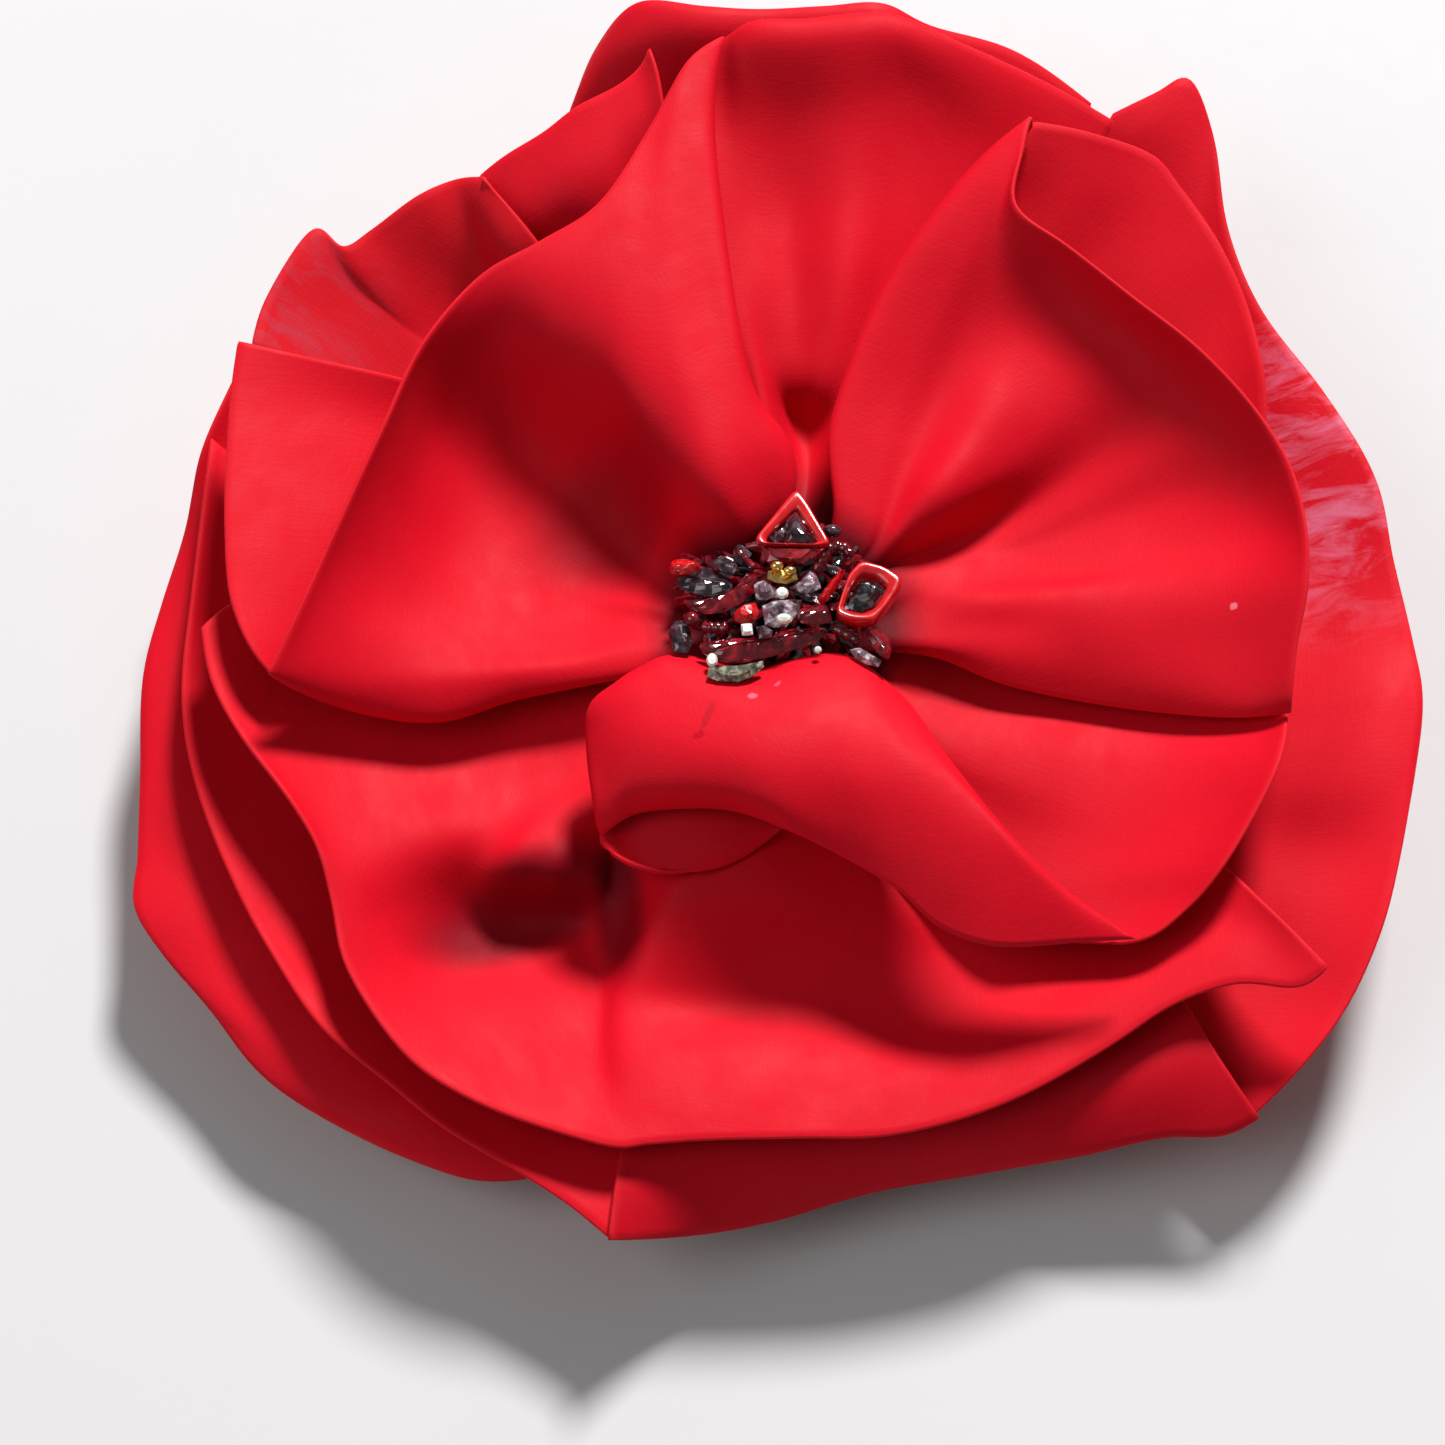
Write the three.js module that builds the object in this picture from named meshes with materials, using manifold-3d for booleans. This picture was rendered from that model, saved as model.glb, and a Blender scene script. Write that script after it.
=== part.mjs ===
// Fabric flower hair clip: gathered cloth petals on a felt disc, a jewelled
// centre, and an alligator clip with one sprung jaw.
// Units are millimetres, +Z is up, the clip lies along X with its mouth at -X.
import * as THREE from 'three';
import Module from 'manifold-3d';
import { mergeVertices } from 'three/addons/utils/BufferGeometryUtils.js';

// ---------- driving dimensions ----------
const SHIFT_X = 0.560;               // moves the whole model so that the origin is
const SHIFT_Y = -2.792;               // below the middle of its bounding box
const CLOTH = 0.7;               // petal sheet thickness
const PETAL_U = 10;              // grid rows from root to rim
const PETAL_V_EXTRA = 2;         // grid columns beyond the number of ribs

const CLIP_TOP = 7.2;            // top face of the clip's fixed arm
const STEEL = 0.6;               // sheet thickness of both arms
const ARM_W = 8.2;               // outside width of the fixed arm
const JAW_W = 6.2;               // outside width of the moving arm's channel
const NOSE_X = -25.5;            // mouth end
const TAIL_X = 21.5;             // finger end
const PIN_X = 5.0;               // hinge axis, along Y
const PIN_Z = 4.2;
const PIN_R = 0.75;
const HOLE_R = 0.82;
const JAW_BEND_X = -2.0;         // where the moving arm starts to rise to the mouth
const JAW_NOSE_Z = 3.6;         // underside of the moving arm at its nose
const SPRING_R = 1.75;           // mean radius of the torsion spring
const WIRE_R = 0.36;
const SPRING_TURNS = 3.5;

const FELT_Z0 = 7.5;             // underside of the felt lock strip
const FELT_STRIP_T = 0.8;
const FELT_DISC_T = 0.9;
const FELT_DISC_R = 12.2;
const CORE_R = 5.3;              // stitched core the petal roots gather around
const CORE_TOP = 19.6;
const PLATE_R = 5.0;             // metal plate under the jewels
const PLATE_Z = 20.2;

const root = new THREE.Group();
root.name = 'flower_hair_clip';
root.position.set(SHIFT_X, SHIFT_Y, 0);

// ---------- materials ----------
const mat = (color, roughness, metalness = 0, opacity = 1) =>
  new THREE.MeshStandardMaterial({ color, roughness, metalness, opacity, transparent: opacity < 1 });
const RED_CLOTH = mat(0xd6121c, 0.7);
const RED_FELT = mat(0x9c0f18, 0.95);
const THREAD = mat(0xb01018, 0.8);
const NICKEL = mat(0xc9c9cc, 0.25, 1);
const SPRING_STEEL = mat(0x9a9ca0, 0.35, 1);
const DARK_METAL = mat(0x3a3438, 0.35, 0.9);
const RED_ENAMEL = mat(0xd0161c, 0.2, 0.1);
const GARNET = mat(0x6e1020, 0.12, 0, 0.8);
const SMOKY = mat(0x4a3f46, 0.1, 0, 0.7);
const CLEAR = mat(0xf2f4f2, 0.05, 0, 0.6);
const GOLD = mat(0xd9b45a, 0.25, 1);

const add = (name, geometry, material) => {
  const mesh = new THREE.Mesh(geometry, material);
  mesh.name = name;
  root.add(mesh);
  return mesh;
};

// ---------- helpers: raw closed meshes ----------
const makeGeometry = (verts, tris) => {
  // flips the winding when the signed volume is negative, so faces point out
  let vol = 0;
  for (const [a, b, c] of tris) {
    const [p, q, r] = [verts[a], verts[b], verts[c]];
    vol += p[0] * (q[1] * r[2] - q[2] * r[1]) - p[1] * (q[0] * r[2] - q[2] * r[0]) + p[2] * (q[0] * r[1] - q[1] * r[0]);
  }
  const index = vol < 0 ? tris.flatMap(([a, b, c]) => [a, c, b]) : tris.flat();
  const g = new THREE.BufferGeometry();
  g.setAttribute('position', new THREE.Float32BufferAttribute(verts.flat(), 3));
  g.setIndex(index);
  g.computeVertexNormals();
  return g;
};

// rings of equal length joined one to the next, with flat or pointed ends
const ringStack = (rings, tipLow = null, tipHigh = null) => {
  const n = rings[0].length;
  const verts = rings.flat();
  const mean = (r) => [0, 1, 2].map((k) => r.reduce((s, p) => s + p[k], 0) / n);
  const lo = verts.length, hi = lo + 1;
  verts.push(tipLow ?? mean(rings[0]), tipHigh ?? mean(rings[rings.length - 1]));
  const tris = [];
  for (let l = 0; l < rings.length - 1; l++)
    for (let i = 0; i < n; i++) {
      const j = (i + 1) % n, a = l * n + i, b = l * n + j, c = (l + 1) * n + j, d = (l + 1) * n + i;
      tris.push([a, b, c], [a, c, d]);
    }
  const top = (rings.length - 1) * n;
  for (let i = 0; i < n; i++) {
    const j = (i + 1) % n;
    tris.push([lo, j, i], [hi, top + i, top + j]);
  }
  return makeGeometry(verts, tris);
};

// ---------- petals ----------
const sub = (a, b) => a.map((v, k) => v - b[k]);
const len = (a) => Math.hypot(...a);
const lerp3 = (a, b, t) => a.map((v, k) => v + (b[k] - v) * t);
const hermite = (p, q, m, k, h, u) => {
  const u2 = u * u, u3 = u2 * u;
  return p.map((v, c) => (2 * u3 - 3 * u2 + 1) * v + (u3 - 2 * u2 + u) * h * m[c] + (3 * u2 - 2 * u3) * q[c] + (u3 - u2) * h * k[c]);
};
const tangents = (p, t) => {
  const k = p.length, m = p.map(() => [0, 0, 0]);
  for (let i = 1; i < k - 1; i++) {
    const h0 = t[i] - t[i - 1], h1 = t[i + 1] - t[i];
    m[i] = p[i].map((v, c) => (((v - p[i - 1][c]) / h0) * h1 + ((p[i + 1][c] - v) / h1) * h0) / (h0 + h1));
  }
  m[0] = p[0].map((v, c) => (1.5 * (p[1][c] - v)) / (t[1] - t[0]) - 0.5 * m[1][c]);
  m[k - 1] = p[k - 1].map((v, c) => (1.5 * (v - p[k - 2][c])) / (t[k - 1] - t[k - 2]) - 0.5 * m[k - 2][c]);
  return m;
};
// smooth curve through the points, sampled evenly along its length
const spline = (p, n) => {
  const t = [0];
  for (let i = 1; i < p.length; i++) t.push(t[i - 1] + Math.sqrt(len(sub(p[i], p[i - 1])) + 1e-6));
  const m = tangents(p, t), dense = [];
  for (let i = 0; i < p.length - 1; i++)
    for (let s = 0; s < 24; s++) dense.push(hermite(p[i], p[i + 1], m[i], m[i + 1], t[i + 1] - t[i], s / 24));
  dense.push(p[p.length - 1]);
  const L = [0];
  for (let i = 1; i < dense.length; i++) L.push(L[i - 1] + len(sub(dense[i], dense[i - 1])));
  const out = [];
  for (let i = 0, j = 0; i < n; i++) {
    const s = (L[L.length - 1] * i) / (n - 1);
    while (j < L.length - 2 && L[j + 1] < s) j++;
    out.push(lerp3(dense[j], dense[j + 1], (s - L[j]) / (L[j + 1] - L[j] || 1)));
  }
  return out;
};
// ribs run from root to rim; a grid of nu by nv points is splined across them
const sheetGrid = (ribs, nu, nv) => {
  const R = ribs.map((r) => spline(r, nu));
  const k = R.length, t = [0];
  for (let i = 1; i < k; i++) {
    let d = 0;
    for (let a = 0; a < nu; a++) d += len(sub(R[i][a], R[i - 1][a]));
    t.push(t[i - 1] + Math.pow(d / nu + 0.3, 0.7));
  }
  let grid = [];
  for (let a = 0; a < nu; a++) {
    const row = R.map((r) => r[a]), m = tangents(row, t), line = [];
    for (let b = 0, i = 0; b < nv; b++) {
      const s = (t[k - 1] * b) / (nv - 1);
      while (i < k - 2 && t[i + 1] < s) i++;
      const h = t[i + 1] - t[i];
      line.push(hermite(row[i], row[i + 1], m[i], m[i + 1], h, (s - t[i]) / h));
    }
    grid.push(line);
  }
  return grid;
};
const petal = (ribs, nu, nv, thick) => {
  const S = sheetGrid(ribs, nu, nv);
  const at = (i, j) => S[Math.min(Math.max(i, 0), nu - 1)][Math.min(Math.max(j, 0), nv - 1)];
  const up = [], down = [];
  for (let i = 0; i < nu; i++)
    for (let j = 0; j < nv; j++) {
      const n = new THREE.Vector3(...sub(at(i + 1, j), at(i - 1, j))).cross(new THREE.Vector3(...sub(at(i, j + 1), at(i, j - 1)))).normalize();
      up.push([S[i][j][0] + (n.x * thick) / 2, S[i][j][1] + (n.y * thick) / 2, S[i][j][2] + (n.z * thick) / 2]);
      down.push([S[i][j][0] - (n.x * thick) / 2, S[i][j][1] - (n.y * thick) / 2, S[i][j][2] - (n.z * thick) / 2]);
    }
  const o = nu * nv, tris = [];
  for (let i = 0; i < nu - 1; i++)
    for (let j = 0; j < nv - 1; j++) {
      const a = i * nv + j, b = a + nv, c = b + 1, d = a + 1;
      tris.push([a, b, c], [a, c, d], [o + a, o + c, o + b], [o + a, o + d, o + c]);
    }
  const edge = (p, q) => tris.push([p, o + p, o + q], [p, o + q, q]);
  for (let i = 0; i < nu - 1; i++) { edge(i * nv, (i + 1) * nv); edge((i + 1) * nv + nv - 1, i * nv + nv - 1); }
  for (let j = 0; j < nv - 1; j++) { edge(j + 1, j); edge((nu - 1) * nv + j, (nu - 1) * nv + j + 1); }
  return makeGeometry([...up, ...down], tris);
};

// Each petal is a fan of ribs. Every rib is a list of [x, y, z] from the root
// at the stitched core out to the cut rim.
const PETALS = {
  petal_inner_left: [
    [[-1, 6.5, 19.5], [0.6, 15.09, 20], [-0.74, 18.02, 21.7], [-3.69, 20.77, 22.7], [-5.12, 27.92, 24.8], [-7.11, 37.63, 26.5], [-7.58, 45.57, 27.8], [-7.13, 50.72, 29.2], [-6.12, 54.01, 30.4]],
    [[-2, 6, 20], [0.88, 11.42, 22.6], [0.18, 15.37, 24.6], [-2.38, 18.53, 26.2], [-4.15, 25.52, 28.4], [-5.48, 35.3, 29.8], [-6.29, 43.51, 30.6], [-6.21, 49.92, 31], [-5.48, 54.53, 31.2]],
    [[-3.5, 6, 20], [-0.8, 9.09, 22.2], [-2.49, 12.94, 26], [-5.04, 19.46, 28], [-7.17, 27.97, 29.5], [-8.61, 36.77, 30.8], [-9, 45, 31.6], [-8.21, 51.8, 31.8]],
    [[-5, 5, 19.5], [-3.28, 6.37, 22.3], [-5.83, 9.43, 26.2], [-8.64, 16.21, 28.2], [-10.96, 25.51, 30], [-12.07, 33.45, 30.9], [-12.29, 38.12, 31.2], [-11.98, 44.03, 31.4]],
    [[-6, 4.5, 19.3], [-5.83, 5.49, 21.2], [-8.82, 9.6, 23.4], [-11.56, 14.14, 25.4], [-13.94, 19.53, 27.9], [-15.56, 25.58, 29.9], [-16.32, 31.76, 31], [-16.38, 36.05, 31.2]],
    [[-6.5, 3.5, 18.8], [-8.13, 5.62, 19.4], [-11.26, 10.47, 19.2], [-14.59, 15.58, 20.4], [-17.95, 20.04, 24], [-20.2, 24.26, 27.9], [-21.45, 28.78, 30.2], [-21.67, 32.12, 30.8]],
    [[-7, 2.5, 18.5], [-10.1, 5.55, 17.4], [-14.44, 10.08, 16.2], [-19.34, 14.83, 17], [-23.49, 20.49, 19.8], [-25.59, 24.18, 24.8], [-26.62, 27.25, 29], [-26.95, 28.88, 30.2]],
    [[-7, 1.5, 18.3], [-11.25, 4.3, 16.9], [-16.38, 6.74, 15.7], [-21.8, 9.73, 15.9], [-26.8, 14.7, 17.2], [-30.03, 19.14, 21.1], [-31.38, 21.48, 26.5], [-31.75, 22.47, 29.5]],
    [[-7, 0.5, 18], [-11.4, 2.33, 17.5], [-17.22, 4, 16], [-23.48, 5.08, 15.9], [-29.67, 6.98, 17.6], [-33.1, 9.81, 21], [-34.83, 12.74, 25.5], [-34.96, 14.74, 28.4]],
    [[-6.8, -0.5, 18], [-11.39, 1.11, 17.5], [-17.17, 1.53, 16.4], [-24.23, 1, 16.8], [-31.19, 1.59, 18.8], [-35.86, 3.39, 22], [-38.26, 5.02, 25.6], [-38.76, 5.2, 27]],
    [[-6.5, -1.5, 18], [-11.38, -0.16, 17.6], [-17.1, -1.3, 17.3], [-24.09, -2.59, 17.8], [-31.42, -3.47, 19.4], [-37.73, -3.54, 22.2], [-41.4, -3.51, 24.8], [-42, -3.14, 25.9]],
    [[-6, -2.5, 18], [-12.68, -2.34, 17.9], [-17.92, -3.74, 17.9], [-24.02, -4.85, 18.1], [-30.91, -6.48, 18.9], [-37.68, -7.31, 20.8], [-42.58, -7.48, 23.8], [-44, -7.75, 25]],
    [[-5.5, -3, 18], [-15.12, -4.56, 17.2], [-19.68, -5.44, 16.8], [-23.62, -6.23, 16.6], [-30.09, -8.67, 16.9], [-36.52, -8.73, 18.3], [-41.87, -8.35, 21.8], [-44.19, -8.11, 24.6]],
    [[-5.5, -2.5, 17.2], [-14.91, -3.38, 15.6], [-19.78, -3.71, 14.9], [-23.75, -4.25, 14.8], [-30.28, -6.32, 15.1], [-36.76, -6.37, 16.5], [-41.66, -6.79, 20.2], [-43.79, -7.48, 23.8]],
  ],
  petal_inner_back: [
    [[-3, 7.6, 17.5], [-2.5, 19.93, 19], [-5.21, 28.71, 22], [-7.49, 40.61, 25.4], [-7.96, 49.53, 27], [-7.51, 53.86, 27.9], [-7.14, 55.16, 28.3]],
    [[-2, 8, 17.6], [-1.16, 19.62, 19.5], [-3.4, 28.71, 22], [-4.93, 41.18, 24.6], [-5.48, 49.68, 26.8], [-5.48, 53.86, 28.8], [-5.3, 55.54, 29.6]],
    [[-1, 8.3, 17.7], [0.86, 18.9, 16.4], [0.25, 22.71, 16.8], [-0.4, 24.29, 19.2], [-1.49, 28.29, 21], [-2.02, 32.79, 22.4], [-2.73, 41.68, 23.9], [-2.91, 48.7, 26.6], [-2.91, 53.02, 29.9], [-2.73, 55.06, 31.4], [-2.64, 56.36, 31.2]],
    [[0.3, 8.5, 17.4], [2.04, 17.8, 15.6], [1.72, 22.77, 16.2], [1.5, 24.5, 19.2], [1.24, 28.56, 20.6], [1, 34.29, 21.8], [0.76, 42.03, 23.4], [0.77, 48.28, 26.4], [1.38, 52.57, 30.2], [1.83, 54.75, 31.8], [1.95, 56.35, 31.5]],
    [[1.5, 8.4, 17.2], [3.12, 17.34, 16], [3.61, 22.08, 16.6], [3.85, 23.86, 19.2], [4.76, 27.75, 21], [5.52, 34.36, 23.3], [6.04, 42.08, 24.9], [6.53, 48.67, 27.4], [6.78, 53.06, 30.6], [6.77, 55.28, 32], [6.81, 56.96, 31.6]],
    [[2.6, 8.2, 17], [5.65, 20.56, 18], [7.99, 29.77, 20.4], [9.9, 38.29, 22.4], [11.07, 45.66, 24.6], [11.44, 50.94, 27.4], [11.02, 54.08, 30.3], [10.64, 55.67, 31.5], [10.5, 57.04, 31.2]],
    [[3.6, 7.9, 16.7], [8.44, 22.51, 16.6], [12.21, 32.89, 19], [15.06, 41.21, 21.4], [16.86, 48.21, 24.2], [17.37, 52.22, 27.2], [16.89, 54.43, 28.8], [16.43, 55.39, 29.2]],
    [[4.6, 7.4, 16.3], [10.77, 23.15, 15.6], [16.01, 34.1, 17.2], [20.71, 43.04, 20.4], [24.18, 49.93, 23.4], [24.94, 52.46, 24.6], [24.96, 53.77, 25]],
    [[5.4, 6.9, 16], [12.62, 22.57, 14.8], [18.8, 32.69, 16], [24.49, 41.92, 18.8], [28.9, 47.98, 21.4], [30.42, 50.67, 22.4], [30.89, 51.36, 22.7]],
  ],
  petal_inner_right: [
    [[3.5, 6.2, 19], [5.94, 12.38, 19.3], [6, 18.96, 20.54], [8.33, 26.53, 22.04], [12.01, 32.97, 23.74], [16.15, 38.68, 25.78], [19.79, 42.76, 27.82], [22.57, 45.61, 29.86]],
    [[3, 5.5, 20], [4.51, 9.08, 21.36], [4.03, 16.33, 23.06], [5.49, 21.78, 24.42], [9.14, 30.34, 26.8], [14.6, 37.92, 29.18], [18.71, 42.45, 30.54], [22.36, 45.24, 31.42]],
    [[4.5, 5, 20], [6.87, 6.61, 20.68], [8.09, 13.63, 22.38], [10.23, 21.16, 23.74], [13.6, 28.11, 26.12], [17.21, 34.35, 28.84], [19.74, 38.45, 30.74], [21.49, 41.56, 31.76]],
    [[5, 4.5, 19.8], [7.59, 6.4, 20.34], [10.76, 13, 21.7], [14.02, 20.75, 22.72], [17.22, 27.72, 25.1], [19.44, 32.65, 28.16], [20.44, 35, 30.54], [20.69, 35.83, 31.36]],
    [[5.5, 4, 19.5], [8.48, 6.19, 20], [12.87, 11.05, 23.2], [17.89, 17.96, 23.8], [22.13, 25.91, 24.6], [24.33, 30.41, 27.5], [25.01, 31.77, 29.9], [25.21, 31.79, 30.8]],
    [[6, 3.5, 19.3], [9.39, 6.25, 19.2], [14.48, 9.82, 22], [21.96, 16.87, 22.2], [27.41, 22.98, 24.2], [30, 26.39, 27.1], [30.82, 26.82, 30.1]],
    [[6.5, 3, 19], [9.85, 6.09, 18.6], [16.22, 9.62, 17.5], [25.64, 15.07, 19.7], [31.8, 19.39, 23.2], [35.14, 21.48, 26.5], [36.61, 21.63, 29.5]],
    [[6.8, 2.2, 18.8], [10.28, 5.37, 18.6], [17.95, 8.01, 17.6], [27.32, 12.2, 19.6], [34.3, 15.45, 22.8], [38.5, 16.36, 25.5], [41.13, 16.16, 28.6]],
    [[7, 1.5, 18.6], [10.7, 4.49, 18.7], [19.24, 7.07, 17.8], [27.25, 9.45, 19], [35.13, 11.66, 21.36], [40.56, 11.86, 24.42], [43.8, 11.3, 27.82]],
    [[7, 0.8, 18.5], [11.13, 3.59, 18.5], [19.12, 4.61, 18.5], [27.01, 4.85, 19.5], [34.9, 6.71, 21.02], [41.63, 6.63, 23.74], [45.04, 5.32, 27.14]],
    [[7, 0, 18.3], [11.55, 2.18, 18.3], [17.67, 2.11, 19.3], [24.19, 2.03, 20.34], [31.98, 1.74, 21.36], [39.56, 0.77, 23.4], [44.97, -0.29, 26.12]],
    [[6.8, -0.8, 18.2], [12.82, -0.15, 18.3], [18.93, -0.24, 19], [25.83, -1.31, 20], [33.54, -2.8, 20.88], [40.23, -4.43, 22.38], [43.9, -5.27, 24.42]],
    [[6.5, -1.6, 18], [13.67, -2, 18], [19.76, -3.31, 18.2], [26.67, -4.97, 18.5], [34.32, -7, 19.5], [40.12, -8.81, 21.02], [43.4, -9.43, 22.72]],
    [[6, -2.3, 18], [12.82, -2.25, 17.2], [18.92, -4.74, 16.8], [25.84, -6.64, 17], [33.53, -8.37, 18], [39.74, -9.83, 20], [43.41, -10.18, 21.56]],
  ],
  petal_front_tongue: [
    [[-3, -6.5, 18.6], [-1.35, -14.12, 20], [-0.85, -16.81, 19.6], [-0.27, -20.25, 19.2]],
    [[-3.5, -6.3, 18.6], [-7.37, -12.28, 20.2], [-5.48, -23.75, 18.6], [-5.48, -23.75, 18.6]],
    [[-4, -6, 18.7], [-11.25, -11.85, 20.3], [-10.33, -23.98, 18.1], [-10.32, -24.27, 18.7]],
    [[-4.5, -5.6, 18.8], [-14.1, -10.54, 20.6], [-14.01, -22.75, 18.1], [-13.98, -23.29, 19.2]],
    [[-5, -5.2, 19], [-16.51, -9.46, 21.5], [-16.98, -13, 21.2], [-16.4, -18.28, 20.6], [-15.81, -21.24, 18.9]],
    [[-5.4, -4.8, 19.2], [-15.61, -9.28, 22.8], [-15.65, -13.17, 22.8], [-15.45, -16.98, 21.8], [-15.01, -19.81, 20.8], [-14.5, -20.61, 20.5]],
    [[-5.2, -4.6, 19.6], [-13.55, -7.96, 23.6], [-13.32, -12.46, 24.2], [-13.29, -15.33, 23.8], [-13.46, -18.24, 22.4], [-12.45, -19.82, 21.2]],
    [[-4.6, -4.8, 19.8], [-10.98, -6.5, 23.8], [-10.08, -11.44, 25], [-9.71, -15.76, 25], [-9.71, -18.48, 23.8], [-8.19, -19.9, 22.3]],
    [[-3.3, -5.8, 20], [-7.54, -7.1, 24], [-6.07, -12.83, 25.8], [-5.65, -16.94, 25.8], [-5.22, -19.36, 24.6], [-4.38, -20.64, 23.2]],
    [[-1.4, -6.1, 20], [-3.5, -8.08, 24], [-1.84, -13.58, 26.3], [-1.02, -17.87, 26.3], [-0.6, -20.98, 25], [-0.34, -22.35, 23.6]],
    [[0.9, -6.1, 20], [1.23, -6.4, 23.8], [3.24, -13.15, 26.4], [4.28, -18.29, 26.2], [4.86, -22.09, 24.4], [5.3, -24.75, 22.2]],
    [[2.7, -5.6, 19.8], [4.87, -5.69, 23.4], [7.23, -13.05, 26.2], [8.9, -19.13, 26], [9.62, -23.87, 24.2], [9.48, -27.46, 21.8]],
    [[3.8, -5.2, 19.6], [7.1, -6.74, 23], [10.01, -14.75, 25.8], [12.81, -20.91, 25.8], [14.01, -26.52, 23.9], [13.2, -30.79, 21.2]],
    [[4.5, -4.8, 19.4], [8.47, -7.9, 22.6], [12.11, -15.97, 25.4], [16.54, -23.06, 25.4], [18.58, -28.23, 23.6], [18.16, -32.44, 21.4]],
    [[5, -4.4, 19.2], [9.24, -8.58, 22.4], [13.37, -16.91, 25], [18.62, -24.26, 25], [22.35, -28.5, 23.2], [24.46, -31.89, 21.2]],
    [[5.3, -4.1, 19], [9.76, -9.05, 22.2], [13.83, -16.6, 24.4], [17.89, -22.46, 24.2], [22.85, -27.56, 22.6], [26.6, -30.05, 21.6], [29.1, -31.48, 20.9]],
  ],
  petal_right_fold: [
    [[7, 1, 16.5], [14.88, 4.69, 14.8], [26.53, 5.72, 14.8], [36.15, 4, 16], [42.12, 0.83, 18]],
    [[7.5, -0.5, 16.3], [15.62, -1.32, 14.6], [26.28, -0.82, 14.6], [36.67, -2.6, 16], [42.81, -5.74, 19]],
    [[7.5, -1.5, 16], [14.62, -5.35, 14.6], [24.27, -6.07, 15], [34.6, -7.76, 16.3], [41.36, -9.3, 19], [43.17, -10.06, 20.8]],
    [[7.3, -2.5, 16], [13.65, -8.06, 15], [22.3, -10.35, 15.6], [32.54, -12.56, 17], [39.07, -14.21, 19.8], [42.08, -15.35, 22]],
    [[7, -3.5, 15.8], [12.73, -10.04, 15], [20.45, -14.13, 15.3], [29.76, -17.17, 16.5], [36.69, -19.06, 19.3], [39.51, -20.45, 21.5]],
    [[6.5, -4.3, 15.6], [11.85, -11.26, 14.5], [18.67, -17.03, 14.3], [27.06, -21.1, 15.7], [33.55, -23.61, 18.3], [36.83, -24.58, 20.5]],
    [[6, -5, 15.8], [10.05, -13.33, 14.7], [16.02, -19.69, 13.8], [23.55, -24.1, 15], [30.17, -26.29, 16.6], [33.97, -27.52, 18.8]],
    [[5, -5.8, 16], [8.27, -14.46, 15], [13.34, -21.81, 14.2], [20.06, -26.71, 14.5], [26.7, -28.83, 16], [29.91, -30.04, 17.4]],
    [[4, -6.3, 16.4], [5.64, -14.77, 15.6], [9.01, -21.24, 15], [14.09, -26.48, 14], [19.06, -29.06, 15.5], [22.48, -28.64, 15.6]],
  ],
  petal_front_cup: [
    [[-8, 1, 14.5], [-20.11, 9.87, 13], [-31.81, 9.58, 13.5], [-41.34, 6.05, 16], [-47.94, 2.29, 19], [-50.83, -1.3, 20.34]],
    [[-8, -0.5, 14.3], [-19.96, 1.71, 12.8], [-30.6, -0.44, 13], [-40.09, -3.56, 15], [-46.19, -6.46, 18.5], [-49.35, -7.38, 20.2]],
    [[-8, -2, 14.2], [-19.84, -4.38, 12.8], [-29.5, -7, 13], [-38.88, -9.81, 15.5], [-44.6, -11.88, 18.5], [-46.49, -12.37, 20]],
    [[-7.5, -3, 14.2], [-19.77, -8.39, 12.8], [-28.45, -12.12, 13.3], [-36.89, -15.69, 15.5], [-41.33, -17.73, 18], [-42.5, -17.62, 19.3]],
    [[-7, -4, 14], [-19.25, -12.35, 12.8], [-26.51, -17.75, 13.8], [-34.1, -21.24, 15], [-37.73, -23.17, 17], [-40, -21.71, 18.3]],
    [[-6.5, -4.5, 14], [-18.3, -15.31, 13.6], [-23.08, -20.95, 14.8], [-27.8, -22.96, 9.6], [-32.18, -26.11, 11.6], [-35.92, -28.17, 15.6], [-38.57, -26.67, 17.4]],
    [[-6, -5, 13.8], [-17.49, -16.78, 13.8], [-20.05, -21.71, 14.8], [-23.56, -23.55, 8.6], [-27.5, -28.05, 9.2], [-32.48, -32.68, 13.6], [-37.06, -32.55, 17]],
    [[-5.5, -5.5, 13.6], [-16.79, -17.75, 13.4], [-17.91, -21.9, 14], [-19.98, -23.7, 8.5], [-22.48, -28.2, 8.9], [-26.31, -34.02, 12], [-32.31, -39.54, 16]],
    [[-5, -6, 13.4], [-15.92, -18.81, 12.8], [-16.04, -22.19, 13], [-17.26, -24.08, 8.7], [-18.56, -28.71, 9.2], [-20.59, -34.77, 11.6], [-23.33, -40.79, 13.8], [-26.69, -43.5, 15.5]],
    [[-4.5, -6.3, 13.4], [-14.88, -19.96, 12], [-14.85, -23.15, 11.4], [-15.54, -27.28, 9.6], [-16.57, -35.57, 11.3], [-18.26, -42.03, 13.5], [-20.23, -45.9, 14.8]],
    [[-4, -6.6, 13.5], [-13.02, -21.32, 12.8], [-13.44, -25.25, 11.4], [-14.71, -29.07, 10.4], [-15.54, -35.66, 11.5], [-15.56, -42.48, 13.5], [-15.14, -47.35, 14.4]],
    [[-3.3, -7, 16.5], [-9.76, -23.63, 16], [-11.65, -28.18, 13.6], [-13.51, -33.6, 12.1], [-13.24, -39.33, 13.6], [-11.65, -47.09, 14.2]],
    [[-2.5, -7.2, 17.5], [-6.5, -24.02, 16.8], [-7.19, -29.12, 13.6], [-7.79, -33.19, 11.6], [-7.33, -39.29, 13.5], [-6.9, -46.65, 14]],
    [[-1, -7.5, 16], [-1.38, -24.11, 17], [-0.5, -28.8, 12.9], [-0.08, -33.15, 11.3], [0.44, -39.16, 13.2], [1.04, -46.47, 14]],
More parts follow.
